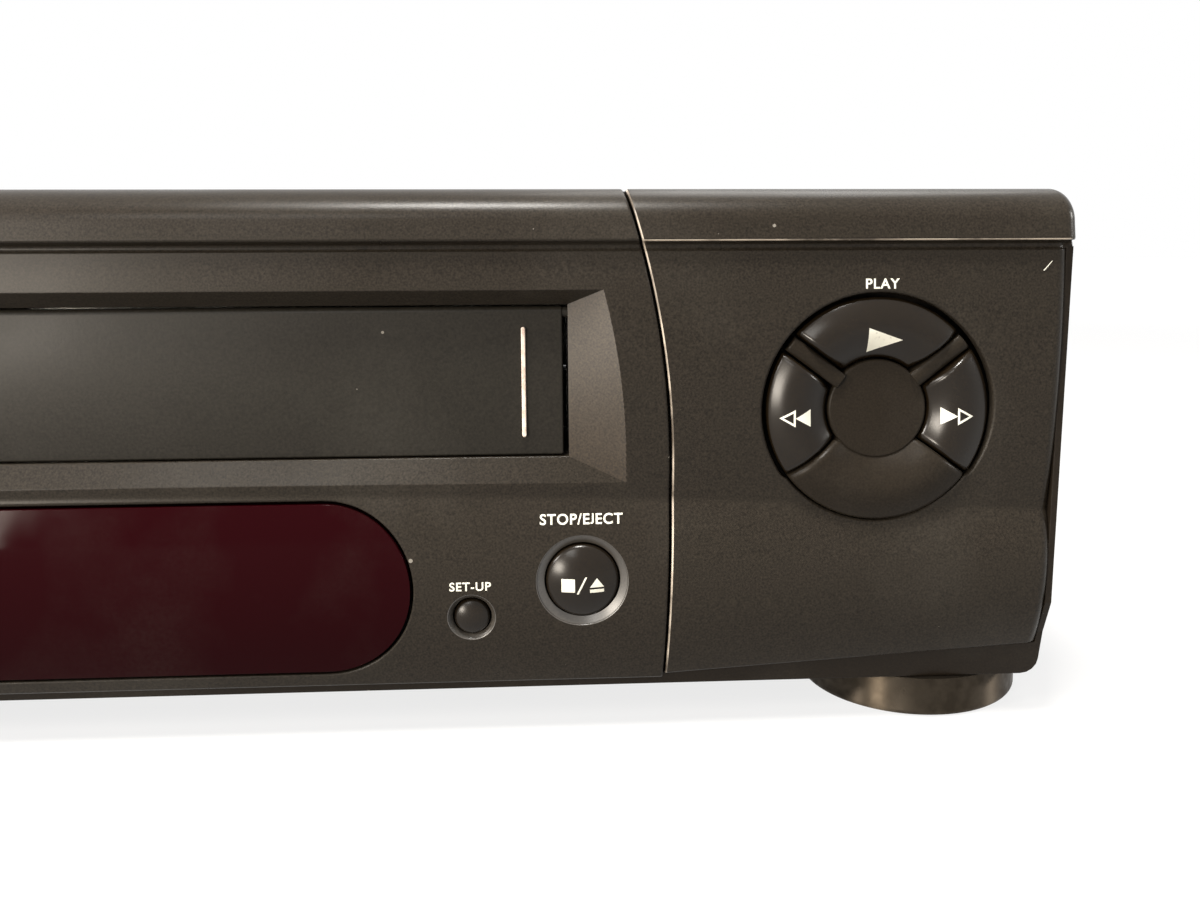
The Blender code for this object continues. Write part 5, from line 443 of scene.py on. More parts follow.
def prism(outline, axis, start, stop):
    """A straight body with one outline: in (depth, z) along x, (x, z) along the depth, or (x, depth) along z."""
    turned_to = {"x": lambda u, v, w: (w, u, v), "depth": lambda u, v, w: (u, w, v), "z": lambda u, v, w: (u, v, w)}
    return lofted([[turned_to[axis](u, v, w) for u, v in outline] for w in (start, stop)])


def lathed(profile, sides, place):
    """A turned body: profile points are (radius, height), place sets (across, up, height) in the frame."""
    shape = bmesh.new()
    rings = []
    for radius, height in profile:
        if radius == 0:
            rings.append([shape.verts.new(place(0, 0, height))] * sides)
            continue
        turns = [math.tau * i / sides for i in range(sides)]
        rings.append([shape.verts.new(place(radius * math.cos(turn), radius * math.sin(turn), height))
                      for turn in turns])
    for low, high in zip(rings, rings[1:]):
        for i in range(sides):
            corners = (low[i], low[(i + 1) % sides], high[(i + 1) % sides], high[i])
            shape.faces.new(tuple(dict.fromkeys(corners)))
    return shape


def together(*shapes):
    """Several closed shapes as one."""
    whole = bmesh.new()
    for shape in shapes:
        part = bpy.data.meshes.new("part")
        shape.to_mesh(part)
        shape.free()
        whole.from_mesh(part)
        bpy.data.meshes.remove(part)
    return whole


def shaped(piece, shape, operation):
    """Cut a closed shape out of a piece, or add it."""
    tool = solid("tool", shape, piece.data.materials[0])
    modifier = piece.modifiers.new(operation, "BOOLEAN")
    modifier.operation = operation
    modifier.solver = "EXACT"
    modifier.object = tool
    settle(piece)
    bpy.data.objects.remove(tool)


def cut(piece, shape):
    """Cut a closed shape out of a piece."""
    shaped(piece, shape, "DIFFERENCE")


def add(piece, shape):
    """Make a closed shape one with a piece."""
    shaped(piece, shape, "UNION")


def soften(piece, radius, steps=3, above=40):
    """Round a piece's sharp edges in its mesh."""
    modifier = piece.modifiers.new("rounded edges", "BEVEL")
    modifier.width = radius
    modifier.segments = steps
    modifier.angle_limit = math.radians(above)
    settle(piece)


def screw(name, centre, outward, material):
    """A domed cross-head screw on a face that looks along outward."""
    axis = Vector(outward)
    across = axis.orthogonal().normalized()
    up = axis.cross(across)
    start = Vector(centre)
    profile = [(0, SCREW_RISE)]
    for i in range(1, SCREW_STEPS + 1):
        turn = math.pi / 2 * i / SCREW_STEPS
        profile.append((SCREW_RADIUS * math.sin(turn), SCREW_RISE * math.cos(turn)))
    profile.append((0, 0))
    head = solid(name, lathed(profile, SCREW_SIDES, lambda u, v, w: start + across * u + up * v + axis * w),
                 material)
    bars = []
    for along, side in ((across, up), (up, across)):
        corners = [along * u + side * v for u, v in ((-CROSS_REACH, -CROSS_HALF), (CROSS_REACH, -CROSS_HALF),
                                                     (CROSS_REACH, CROSS_HALF), (-CROSS_REACH, CROSS_HALF))]
        bars.append(lofted([[start + axis * w + corner for corner in corners]
                            for w in (SCREW_RISE - CROSS_DEPTH, 2 * SCREW_RISE)]))
    for bar in bars:
        cut(head, bar)
    seat(head, "recorder", "zinc_steel", sharp=30)


socket_plastic = moulded("socket_black", (0.022, 0.022, 0.022), 0.38, edge=0.3 * MM)
dress(zinc, "rear_panel")
dress(socket_plastic, "scart_socket_outer", "scart_socket_inner", "mains_inlet")
dress(steel, "audio_socket_left", "audio_socket_right", "aerial_out_socket", "aerial_in_socket")
for i, (x, z) in enumerate(REAR_SCREWS):
    screw(f"rear_screw_{i}", (x * MM, REAR_DEPTH, z * MM), (0, 1, 0), zinc)


# Feet
# Two large turned front feet with a dark bronze plated shell, and two small rubber feet at the rear.

FOOT_X = 167.4 * MM
FOOT_DEPTH = 28.9 * MM
FOOT_RADIUS = 22.5 * MM
FOOT_TOP = 7.7 * MM
FOOT_EDGE = 1.2 * MM
FOOT_RING = 3.6 * MM
FOOT_RECESS = 1.5 * MM
FOOT_SIDES = 112

bronze = metal("bronze_plate", (0.066, 0.053, 0.039), 0.42, stretch=1.0, scale=500.0, stain=0.5,
               Anisotropic=1.0, Anisotropic_Rotation=0.25)
tree = bronze.node_tree
tree.links.new(wired(tree, "Tangent", direction_type="RADIAL", axis="Z").outputs[0],
               tree.nodes["Principled BSDF"].inputs["Tangent"])
for side, word in ((-1, "left"), (1, "right")):
    core = FOOT_RADIUS - FOOT_RING
    profile = [(0, FOOT_RECESS), (core, FOOT_RECESS), (core, 0)]
    for i in range(SCREW_STEPS + 1):
        turn = math.pi / 2 * i / SCREW_STEPS
        profile.append((FOOT_RADIUS - FOOT_EDGE * (1 - math.sin(turn)), FOOT_EDGE * (1 - math.cos(turn))))
    profile += [(FOOT_RADIUS, FOOT_TOP), (0, FOOT_TOP)]
    foot = lathed(profile, FOOT_SIDES, lambda u, v, w, x=side * FOOT_X: (x + u, FOOT_DEPTH + v, w))
    seat(solid("front_foot_shell_" + word, foot, bronze), "recorder", "foot_metal", "front_foot_" + word, sharp=25)
dress(rubber, "rear_foot_left", "rear_foot_right")


# Top cover
# Folded sheet steel, painted black with a fine wrinkle texture, vented on top and in both sides.

COVER_HALF = 188.5 * MM
COVER_SCREWS = {70 * MM: "front", 245 * MM: "rear"}
COVER_SCREW_HEIGHT = 22 * MM

paint = moulded("wrinkle_paint", (0.012, 0.0115, 0.011), 0.52, depth=0.06 * MM, scale=1500.0, edge=1.0 * MM, dusty=0.25,
                shine=0.12)
dress(paint, "top_cover")
for side, word in ((-1, "left"), (1, "right")):
    for depth, place in COVER_SCREWS.items():
        screw(f"cover_screw_{word}_{place}", (side * COVER_HALF, depth, COVER_SCREW_HEIGHT), (side, 0, 0), paint)


# Front carrier
# The black moulding behind the panels that everything at the front is fixed to; its rim and sloped lip show.

carrier_plastic = moulded("carrier_black", (0.0135, 0.0100, 0.0068), 0.42, depth=0.012 * MM, edge=0.35 * MM, shine=0.12)
dress(carrier_plastic, "front_frame")


# End panels
# Each end of the front is one moulding in warm dark grey: rolled band, groove, long swell, crease and chin.
# It clips over the front carrier, with a fine seam to the centre panel, and a round hole takes its keys.

CABINET_TOP = 103 * MM
CABINET_FLOOR = 8 * MM
HALF_WIDTH = 190 * MM
SEAM_SPAN = 114.6 * MM
SEAM_STRAIGHT = 52 * MM
SEAM_TOP_LEAN = 8.3 * MM
SEAM_FOOT_LEAN = 1.5 * MM
SEAM_HALF_GAP = 0.25 * MM
BAND_REAR = 16 * MM
BAND_FLAT = 9 * MM
BAND_ROLL_REACH = 8.6 * MM
BAND_ROLL_BOTTOM = 96.5 * MM
BAND_BOTTOM = 93.2 * MM
BAND_LIP = 0.5 * MM
GROOVE_BOTTOM = 91.4 * MM
GROOVE_SECTION = ((1.1, 93.02), (1.7, 92.85), (2.05, 92.6), (2.2, 92.3), (2.2, 92.0), (2.08, 91.75),
                  (1.88, 91.55), (1.68, 91.43))
SWELL_TOP_DEPTH = 1.6 * MM
SWELL_RISE = 1.3 * MM
CREASE_HEIGHT = 47 * MM
CREASE_FALL = 5.3 * MM
CREASE_DEPTH = 3.2 * MM
CREASE_BLEND = 0.015
CHIN_FOOT_DEPTH = 4.8 * MM
CHIN_RISE = 2.8 * MM
END_FOOT_INNER = 11 * MM
END_FOOT_OUTER = 15.4 * MM
FOOT_ROUND = 0.5 * MM
END_TAPER = 2.8 * MM
BAND_END_RADIUS = 2.6 * MM
FACE_END_RADIUS = 2.4 * MM
FACE_END_INSET = 1.1 * MM
RETURN_DEPTH = 5 * MM
EDGE_ROUND = 0.5 * MM
PANEL_WALL = 2.2 * MM
CHEEK_REAR = 15.7 * MM
CHEEK_BOTTOM = 91.7 * MM
CHEEK_WIDTH = 4.2 * MM
CHEEK_GAP = 0.15 * MM
CLEAR_BEHIND = 12 * MM
CLEAR_IN_FRONT = -2 * MM
ROLL_STEPS = 14
LIP_STEPS = 4
SWELL_STEPS = 18
CHIN_STEPS = 14
BLEND_STEPS = 5
END_STEPS = 12
PANEL_STEPS = 26
RIGHT_HOLE = (153.2 * MM, 61.9 * MM, 21.75 * MM)
RIGHT_HOLE_LOW = 21.15 * MM
LEFT_HOLE = (-153.2 * MM, 62.4 * MM, 14.5 * MM)
LOW_FROM, LOW_TO = 215, 325
LOW_BLEND = 3
HOLE_LIP = 0.6 * MM
HOLE_SIDES = 180
SEAM_EDGE = 0.30 * MM
SEAM_EDGE_DEPTH = 0.6 * MM
BAND_EDGE = (0.01 * MM, 0.25 * MM)
LIP_LINE = 0.35 * MM


def seam_x(z):
    """How far from the middle the seam between centre and end panel lies at a height."""
    if z > SEAM_STRAIGHT:
        return SEAM_SPAN - SEAM_TOP_LEAN * ((z - SEAM_STRAIGHT) / (CABINET_TOP - SEAM_STRAIGHT)) ** 2
    return SEAM_SPAN - SEAM_FOOT_LEAN * ((SEAM_STRAIGHT - z) / (SEAM_STRAIGHT - CABINET_FLOOR)) ** 2


def end_x(z):
    """Half the front's width at a height: the ends draw in a little towards the floor."""
    return HALF_WIDTH - END_TAPER * max(0, BAND_BOTTOM - z) / (BAND_BOTTOM - CABINET_FLOOR)


def crease_z(x):
    """The crease falls away gently from the middle to the ends."""
    return CREASE_HEIGHT - CREASE_FALL * (x / HALF_WIDTH) ** 2


def end_foot(x):
    """Lower edge of an end panel, which rises towards the end."""
    share = (abs(x) - SEAM_SPAN) / (HALF_WIDTH - SEAM_SPAN)
    return END_FOOT_INNER + (END_FOOT_OUTER - END_FOOT_INNER) * share


def swell_depth(share):
    """Depth of the swell, from the crease (0) to the groove (1)."""
    return CREASE_DEPTH + (SWELL_TOP_DEPTH - CREASE_DEPTH) * share - SWELL_RISE * 4 * share * (1 - share)


def chin_depth(share):
    """Depth of the chin, from the crease (0) to its foot (1)."""
    return CREASE_DEPTH + (CHIN_FOOT_DEPTH - CREASE_DEPTH) * share - CHIN_RISE * 4 * share * (1 - share)


def face_depth(x, z, foot):
    """Depth of a panel's face at a point, for a panel whose lower edge is at a given height."""
    crease = crease_z(x)
    if z > crease:
        return swell_depth((z - crease) / (GROOVE_BOTTOM - crease))
    return chin_depth((crease - z) / (crease - foot))


def face_rows():
    """Rows from the top edge to the foot: (kind, point or share, inward direction, wall, whether in the band)."""
    rows = [("fixed", (BAND_REAR, CABINET_TOP), (0, -1), PANEL_WALL, True)]
    for i in range(ROLL_STEPS + 1):
        turn = math.pi / 2 * i / ROLL_STEPS
        depth = BAND_FLAT - BAND_ROLL_REACH * math.sin(turn)
        height = BAND_ROLL_BOTTOM + (CABINET_TOP - BAND_ROLL_BOTTOM) * math.cos(turn)
        rows.append(("fixed", (depth, height), (math.sin(turn), -math.cos(turn)), PANEL_WALL, True))
    for i in range(LIP_STEPS + 1):
        turn = math.pi / 2 * i / LIP_STEPS
        point = (BAND_LIP * (1 - math.cos(turn)), BAND_BOTTOM + BAND_LIP * (1 - math.sin(turn)))
        rows.append(("fixed", point, (1, 0), PANEL_WALL + BAND_LIP, True))
    for depth, height in GROOVE_SECTION:
        rows.append(("fixed", (depth * MM, height * MM), (1, 0), PANEL_WALL, False))
    for i in range(SWELL_STEPS):
        share = 1 - (1 - CREASE_BLEND) * i / (SWELL_STEPS - 1)
        rows.append(("swell", share, (1, 0), PANEL_WALL, False))
    for i in range(1, BLEND_STEPS):
        rows.append(("crease", i / BLEND_STEPS, (1, 0), PANEL_WALL, False))
    for i in range(CHIN_STEPS):
        rows.append(("chin", CREASE_BLEND + (1 - CREASE_BLEND) * i / CHIN_STEPS, (1, 0), PANEL_WALL, False))
    for i in range(LIP_STEPS + 1):
        rows.append(("foot", math.pi / 2 * i / LIP_STEPS, (1, 0), PANEL_WALL, False))
    return rows


def row_point(row, x, foot):
    """Depth and height of a row at a distance from the middle."""
    kind, value = row[:2]
    crease = crease_z(x)
    if kind == "swell":
        return swell_depth(value), crease + (GROOVE_BOTTOM - crease) * value
    if kind == "chin":
        return chin_depth(value), crease - (crease - foot) * value
    if kind == "crease":
        above = row_point(("swell", CREASE_BLEND), x, foot)
        below = row_point(("chin", CREASE_BLEND), x, foot)
        weights = ((1 - value) ** 2, 2 * value * (1 - value), value ** 2)
        points = (above, (CREASE_DEPTH, crease), below)
        return tuple(sum(weight * point[i] for weight, point in zip(weights, points)) for i in (0, 1))
    if kind == "foot":
        height = foot + FOOT_ROUND * (1 - math.sin(value))
        return face_depth(x, height, foot) + FOOT_ROUND * (1 - math.cos(value)), height
    return value


def walled(outer, inner):
    """A closed wall between two grids of points of the same size."""
    shape = bmesh.new()
    front, back = ([[shape.verts.new(point) for point in row] for row in grid] for grid in (outer, inner))
    rows, columns = len(outer), len(outer[0])
    for grid in (front, back):
        for j in range(rows - 1):
            for i in range(columns - 1):
                shape.faces.new((grid[j][i], grid[j][i + 1], grid[j + 1][i + 1], grid[j + 1][i]))
    rim = [(0, i) for i in range(columns)] + [(j, columns - 1) for j in range(1, rows)]
    rim += [(rows - 1, i) for i in range(columns - 2, -1, -1)] + [(j, 0) for j in range(rows - 2, 0, -1)]
    for (j0, i0), (j1, i1) in zip(rim, rim[1:] + rim[:1]):
        shape.faces.new((front[j0][i0], front[j1][i1], back[j1][i1], back[j0][i0]))
    return shape


def panel_shell(side, columns_at):
    """A closed shell over the face; columns_at gives a row's columns: x, rounding, inner x, inner depth, foot."""
    outer, inner = [], []
    for row in face_rows():
        inward = row[2]
        outer.append([])
        inner.append([])
        for x, sunk, inner_x, inner_sunk, foot in columns_at(row):
            depth, height = row_point(row, x, foot)
            for points, at, back in ((outer[-1], x, sunk), (inner[-1], inner_x, inner_sunk)):
                points.append((side * at, depth + inward[0] * back, height + inward[1] * back))
    return walled(outer, inner)


def rounded_edge(steps=LIP_STEPS):
    """Places across a rounded seam edge, from its side to the face: (along the face, back from it)."""
    turns = [math.pi / 2 * i / steps for i in range(steps + 1)]
    return [(EDGE_ROUND * (1 - math.cos(turn)), EDGE_ROUND * (1 - math.sin(turn))) for turn in turns]


def end_columns(row):
    """Columns of an end panel, from the rounded seam edge to the rounded outer end and its short return."""
    wall, band = row[3:]
    height = row_point(row, SEAM_SPAN, END_FOOT_INNER)[1]
    start = seam_x(height) + SEAM_HALF_GAP
    radius = BAND_END_RADIUS if band else FACE_END_RADIUS
    wall = min(wall, radius - CHEEK_GAP)
    stop = end_x(height) - (0 if band else FACE_END_INSET)
    flat_end = stop - radius
    columns = [(start + along, back, start + along, wall, end_foot(start)) for along, back in rounded_edge()]
    for i in range(1, PANEL_STEPS):
        x = start + EDGE_ROUND + (flat_end - start - EDGE_ROUND) * i / PANEL_STEPS
        columns.append((x, 0, x, wall, end_foot(x)))
    for i in range(END_STEPS + 1):
        turn = math.pi / 2 * i / END_STEPS
        x = flat_end + radius * math.sin(turn)
        inner_x = flat_end + (radius - wall) * math.sin(turn)
        inner_sunk = radius - (radius - wall) * math.cos(turn)
        columns.append((x, radius * (1 - math.cos(turn)), inner_x, inner_sunk, end_foot(x)))
    columns.append((stop, RETURN_DEPTH, stop - wall, RETURN_DEPTH, end_foot(stop)))
    return columns


def round_outline(x, z, radius, sides, low=None):
    """A circle as places with their outward directions; low is its radius over the lower segment."""
    places = []
    for i in range(sides):
        angle = 360 * i / sides
        inside = min(angle - LOW_FROM, LOW_TO - angle) / LOW_BLEND
        reach = radius - (radius - low) * min(1, max(0, inside)) if low else radius
        across, up = math.cos(math.radians(angle)), math.sin(math.radians(angle))
        places.append(((x + reach * across, z + reach * up), (across, up)))
    return places


def lip(radius, steps=6, first=math.radians(16)):
    """Section of a rounded lip round an opening: (behind the face, outside the outline)."""
    rings = []
    for i in range(steps + 1):
        turn = first + (math.pi / 2 - first) * i / steps
        rings.append((radius * (1 - math.cos(turn)), radius * (1 - math.sin(turn))))
    rise = rings[0][0] + radius / 2
    return [(-radius / 2, rings[0][1] + rise / math.tan(first))] + rings


def opening(outline, foot, section):
    """What is cut from a panel for an opening; its section follows the face round the whole outline."""
    rings = []
    for behind, outside in section:
        ring = []
        for (x, z), (across, up) in outline:
            at_x, at_z = x + across * outside, z + up * outside
            ring.append((at_x, face_depth(at_x, at_z, foot) + behind, at_z))
        rings.append(ring)
    for depth, ring in ((CLEAR_IN_FRONT, rings[0]), (CLEAR_BEHIND, rings[-1])):
        flat = [(x, depth, z) for x, _, z in ring]
        rings = [flat] + rings if depth < 0 else rings + [flat]
    return lofted(rings)


def band_cheek(side):
    """The solid end of the band inside its rounded corner; it also closes the groove's end."""
    outline = [(CHEEK_REAR, CABINET_TOP - BAND_END_RADIUS)]
    for kind, point, inward, _, band in face_rows()[1:]:
        if band:
            outline.append((point[0] + inward[0] * BAND_END_RADIUS, point[1] + inward[1] * BAND_END_RADIUS))
    outline += [(BAND_END_RADIUS, CHEEK_BOTTOM), (CHEEK_REAR, CHEEK_BOTTOM)]
    start, stop = sorted((side * (HALF_WIDTH - CHEEK_WIDTH), side * (HALF_WIDTH - CHEEK_GAP)))
    return prism(outline, "x", start, stop)


def refinish(piece, material, chosen):
    """Give another finish to the faces whose middle is chosen by x, depth and z."""
    piece.data.materials.append(material)
    for face in piece.data.polygons:
        if chosen(face.center.x, face.center.y - FACE_Y, face.center.z):
            face.material_index = len(piece.data.materials) - 1


def on_painted_edge_highlight(x, depth, z):
    """Whether a place of an end panel is on its seam edge or on the band's lower lip, where a bright line is painted as
    a highlight.
    """
    inward = abs(x) - seam_x(z) - SEAM_HALF_GAP
    if z > GROOVE_BOTTOM:
        return abs(z - BAND_BOTTOM) < LIP_LINE and depth < BAND_LIP or BAND_EDGE[0] < inward < BAND_EDGE[1]
    sunk = depth - face_depth(abs(x), z, end_foot(x))
    return inward < SEAM_EDGE and sunk < SEAM_EDGE_DEPTH


def end_panel(name, side, hole, low, node):
    """One end panel with its round hole."""
    panel = solid(name, panel_shell(side, end_columns), panel_plastic)
    add(panel, band_cheek(side))
    x, z, radius = hole
    cut(panel, opening(round_outline(x, z, radius, HOLE_SIDES, low), END_FOOT_INNER, lip(HOLE_LIP)))
    # The seam edge and the band's lower lip take the bright colour of a painted highlight.
    refinish(panel, edge_highlight_plastic, on_painted_edge_highlight)
    seat(panel, "recorder", "end_plastic", node)


panel_plastic = moulded("panel_grey", (0.0212, 0.0172, 0.0128), 0.30, depth=0.008 * MM, edge=0.3 * MM, contrast=0.4,
                        shine=0.13)
# Painted highlight: a bright cream colour on the seam edge and the band's lower lip stands in for light caught by these
# edges.
edge_highlight_plastic, tree, shader = principled("panel_painted_edge_highlight")
broken = wired(tree, "MapRange", {0: noise(tree, 110.0, 5.0), 1: 0.38, 2: 0.56}).outputs[0]
tree.links.new(blended(tree, broken, (0.10, 0.08, 0.06, 1), (0.58, 0.50, 0.41, 1)), shader.inputs["Base Color"])
tree.links.new(wired(tree, "MapRange", {0: broken, 3: 0.4, 4: 0.24}).outputs[0], shader.inputs["Roughness"])
end_panel("right_end_panel", 1, RIGHT_HOLE, RIGHT_HOLE_LOW, "right_fascia")
end_panel("left_end_panel", -1, LEFT_HOLE, None, "left_fascia")


# Centre panel
# The middle of the front, moulded like the ends: the door's surround has four sloped facets, the side and lower ones
# painted lighter as lit, and
# # below it are a long slot for the display window and four wells for the round keys, whose chamfer is glossier and
# painted lighter as a highlight.

CENTRE_FOOT = 10.2 * MM
CENTRE_STEPS = 96
DOOR_OPENING = (95.7 * MM, 53.3 * MM, 81.7 * MM)
SURROUND_BOTTOM = 48.6 * MM
SURROUND_TOP = 84.5 * MM
SURROUND_SPAN = 106.2 * MM
SURROUND_TOP_LEAN = 3.9 * MM
SURROUND_CURVE_TOP = 54 * MM
SURROUND_FACET_DEPTH = 4.7 * MM
SURROUND_OVERSHOOT = 0.6
SURROUND_STEPS = 30
SURROUND_MITRE = 0.42
SURROUND_WALL = 2.6 * MM
WINDOW_TOP_CLEAR = 67.4 * MM
CARRIER_FRONT = 9.7 * MM
CUP_WALL = 1.4 * MM
CUP_REAR = 4 * MM
WINDOW_REACH = 50.5 * MM
WINDOW_MIDDLE = 29.4 * MM
WINDOW_RADIUS = 16.2 * MM
WINDOW_SIDES = 48
WINDOW_GAP = 0.3 * MM
WINDOW_LIP = 0.4 * MM
ROUND_KEYS = {"stop_eject": (98 * MM, 30.5 * MM, 6.75 * MM), "setup": (77.5 * MM, 24 * MM, 3.3 * MM),
              "standby": (-98 * MM, 30.5 * MM, 6.75 * MM), "record": (-77.5 * MM, 24 * MM, 3.3 * MM)}
WELL_MARGINS = {6.75 * MM: 1.6 * MM, 3.3 * MM: 0.95 * MM}
WELL_LIP = 0.3 * MM
WELL_DEPTH = 1.1 * MM
KEY_GAP = 0.3 * MM
WELL_SIDES = 72
WELL_SKIN = 0.02 * MM


def centre_columns(row):
    """Columns of the centre panel, from seam to seam."""
    wall = row[3]
    half = seam_x(row_point(row, SEAM_SPAN, END_FOOT_INNER)[1]) - SEAM_HALF_GAP
    right = [(half - along, back, half - along, wall, CENTRE_FOOT) for along, back in rounded_edge()]
    flat = half - EDGE_ROUND
    middle = [flat * (2 * i / CENTRE_STEPS - 1) for i in range(1, CENTRE_STEPS)]
    left = [(-x, back, -x, wall, foot) for x, back, _, _, foot in right]
    return left + [(x, 0, x, wall, CENTRE_FOOT) for x in middle] + right[::-1]


def surround_edges():
    """Matching places round the door's opening and round the surround's outer edge, counter-clockwise."""
    half, low, high = DOOR_OPENING
    inner, outer = [], []
    for i in range(SURROUND_STEPS + 1):
        step = i / SURROUND_STEPS
        z = SURROUND_BOTTOM + (SURROUND_TOP - SURROUND_BOTTOM) * step
        lean = max(0, (z - SURROUND_CURVE_TOP) / (SURROUND_TOP - SURROUND_CURVE_TOP)) ** 2
        inner.append((half, low + (high - low) * step))
        outer.append((SURROUND_SPAN - SURROUND_TOP_LEAN * lean, z))
    return [right + [(-x, z) for x, z in reversed(right)] for right in (inner, outer)]


def surround_ring(share, back=0.0, wider=0.0):
    """A ring of the sloped recess: share 0 is the door's opening, 1 the outer edge on the panel's face."""
    ring = []
    for (x, z), (edge_x, edge_z) in zip(*surround_edges()):
        edge_depth = face_depth(abs(edge_x), edge_z, CENTRE_FOOT)
        depth = SURROUND_FACET_DEPTH + (edge_depth - SURROUND_FACET_DEPTH) * share + back
        spread = wider * (1 if edge_x > 0 else -1)
        lift = wider * (1 if edge_z > WINDOW_TOP_CLEAR else -1)
        ring.append((x + (edge_x - x) * share + spread, depth, z + (edge_z - z) * share + lift))
    return ring


def bar_outline(reach, z, radius, sides):
    """A bar with half-round ends, as places with their outward directions."""
    places = []
    for i in range(sides + 1):
        turn = math.pi * i / sides - math.pi / 2
        places.append(((reach + radius * math.cos(turn), z + radius * math.sin(turn)),
                       (math.cos(turn), math.sin(turn))))
    return places + [((-x, 2 * z - height), (-across, -up)) for (x, height), (across, up) in places]


mouth = [surround_ring(1 + SURROUND_OVERSHOOT), surround_ring(0)]
mouth.insert(0, [(x, CLEAR_IN_FRONT, z) for x, _, z in mouth[0]])
mouth.append([(x, CLEAR_BEHIND, z) for x, _, z in mouth[-1]])
cutters = [lofted(mouth)]
outline = bar_outline(WINDOW_REACH, WINDOW_MIDDLE, WINDOW_RADIUS + WINDOW_GAP, WINDOW_SIDES)
cutters.append(opening(outline, CENTRE_FOOT, lip(WINDOW_LIP)))
for x, z, radius in ROUND_KEYS.values():
    margin = WELL_MARGINS[radius]
    section = lip(WELL_LIP) + [(WELL_DEPTH, KEY_GAP - margin)]
    cutters.append(opening(round_outline(x, z, radius + margin, WELL_SIDES), CENTRE_FOOT, section))
backing = [surround_ring(1, PANEL_WALL / 2, -EDGE_ROUND), surround_ring(0, 0, SURROUND_WALL)]
backing[1] = [(x, CARRIER_FRONT, z) for x, _, z in backing[1]]
backing = [lofted(backing)]
for x, z, radius in ROUND_KEYS.values():
    surface = face_depth(abs(x), z, CENTRE_FOOT)
    turns = [math.tau * i / WELL_SIDES for i in range(WELL_SIDES)]
    reach = radius + WELL_MARGINS[radius] + CUP_WALL
    cup = [(x + reach * math.cos(turn), z + reach * math.sin(turn)) for turn in turns]
    backing.append(prism(cup, "depth", surface + PANEL_WALL / 2, surface + CUP_REAR))
centre_panel = solid("centre_panel", panel_shell(1, centre_columns), panel_plastic)
add(centre_panel, together(*backing))
cut(centre_panel, together(*cutters))


def in_a_well(x, depth, z):
    """Whether a place of the centre panel is on the chamfer of a round key's well."""
    if depth < face_depth(abs(x), z, CENTRE_FOOT) + WELL_SKIN:
        return False
    return any(math.hypot(x - at_x, z - at_z) < radius + WELL_MARGINS[radius] + WELL_LIP
               for at_x, at_z, radius in ROUND_KEYS.values())


def in_the_surround(x, depth, z):
    """Whether a place is on a side facet or the lower facet of the door's surround, the facets that are painted lighter
    as lit.
    """
    half, _, high = DOOR_OPENING
    inside = abs(x) < SURROUND_SPAN and z < high + (abs(x) - half) * SURROUND_MITRE
    sunk = depth > face_depth(abs(x), z, CENTRE_FOOT) + WELL_SKIN
    return inside and sunk and z > SURROUND_BOTTOM and depth < SURROUND_FACET_DEPTH


# Painted light: the side and lower facets of the surround get a glossier copy of the panel plastic in a lighter, warmer
# colour that stands in for the light falling on them; the top facet keeps the darker panel colour.
facet_gloss_and_painted_light = moulded("surround_glossy_painted_light", (0.034, 0.025, 0.0165), 0.33, depth=0.006 * MM, contrast=0.4, shine=0.32)
refinish(centre_panel, facet_gloss_and_painted_light, in_the_surround)
# Glossier chamfer in the wells, in a colour lighter than the panel: the lighter colour is a painted highlight.
chamfer_gloss_and_painted_highlight = moulded("polished_chamfer_painted_highlight", (0.040, 0.034, 0.027), 0.34, depth=0.002 * MM, shine=1.0)
refinish(centre_panel, chamfer_gloss_and_painted_highlight, in_a_well)
seat(centre_panel, "recorder", "front_plastic", "centre_fascia")


# Display window
# A lens of smoked dark red acrylic, polished, in the slot of the centre panel; it follows the chin's curve.

LENS_GAP = 0.25 * MM
LENS_WALL = 2.2 * MM
LENS_ROWS = 40
LENS_COLUMNS = 28
LENS_EDGE = 0.35 * MM


def lens_wall():
    """The lens between its polished front and its back."""
    outer, inner = [], []
    for j in range(LENS_ROWS + 1):
        turn = math.pi / 2 - math.pi * j / LENS_ROWS
        z = WINDOW_MIDDLE + (WINDOW_RADIUS - LENS_GAP) * math.sin(turn)
        half = WINDOW_REACH + (WINDOW_RADIUS - LENS_GAP) * max(0, math.cos(turn))
        places = [half * (2 * i / LENS_COLUMNS - 1) for i in range(LENS_COLUMNS + 1)]
        outer.append([(x, face_depth(0, z, CENTRE_FOOT), z) for x in places])
        inner.append([(x, face_depth(0, z, CENTRE_FOOT) + LENS_WALL, z) for x in places])
    return walled(outer, inner)


window_red, tree, shader = principled("smoked_red_acrylic", Specular_IOR_Level=0.035)
dusted = placed(tree, dust, {"Colour": (0.0150, 0.0010, 0.0019, 1), "Amount": 0.3})
tree.links.new(dusted["Colour"], shader.inputs["Base Color"])
handled = wired(tree, "MapRange", {0: noise(tree, 70.0, 4.0), 1: 0.4, 2: 0.7, 3: 0.05, 4: 0.13}).outputs[0]
tree.links.new(figured(tree, "ADD", handled, figured(tree, "MULTIPLY", dusted["Mask"], 0.4)),
               shader.inputs["Roughness"])
lens = solid("display_lens", lens_wall(), window_red)
soften(lens, LENS_EDGE)
seat(lens, "recorder", "window_plastic", "display_window", sharp=50)

tube_glass, tree, shader = principled("display_tube_glass", Coat_Weight=0.5, Coat_Roughness=0.05)
cells = wired(tree, "TexVoronoi", {"Vector": object_place(tree), "Scale": 900.0}).outputs["Distance"]
tree.links.new(blended(tree, cells, (0.010, 0.016, 0.016, 1), (0.022, 0.032, 0.030, 1)), shader.inputs["Base Color"])
tree.links.new(wired(tree, "MapRange", {0: cells, 3: 0.10, 4: 0.25}).outputs[0], shader.inputs["Roughness"])
dress(tube_glass, "display_tube")
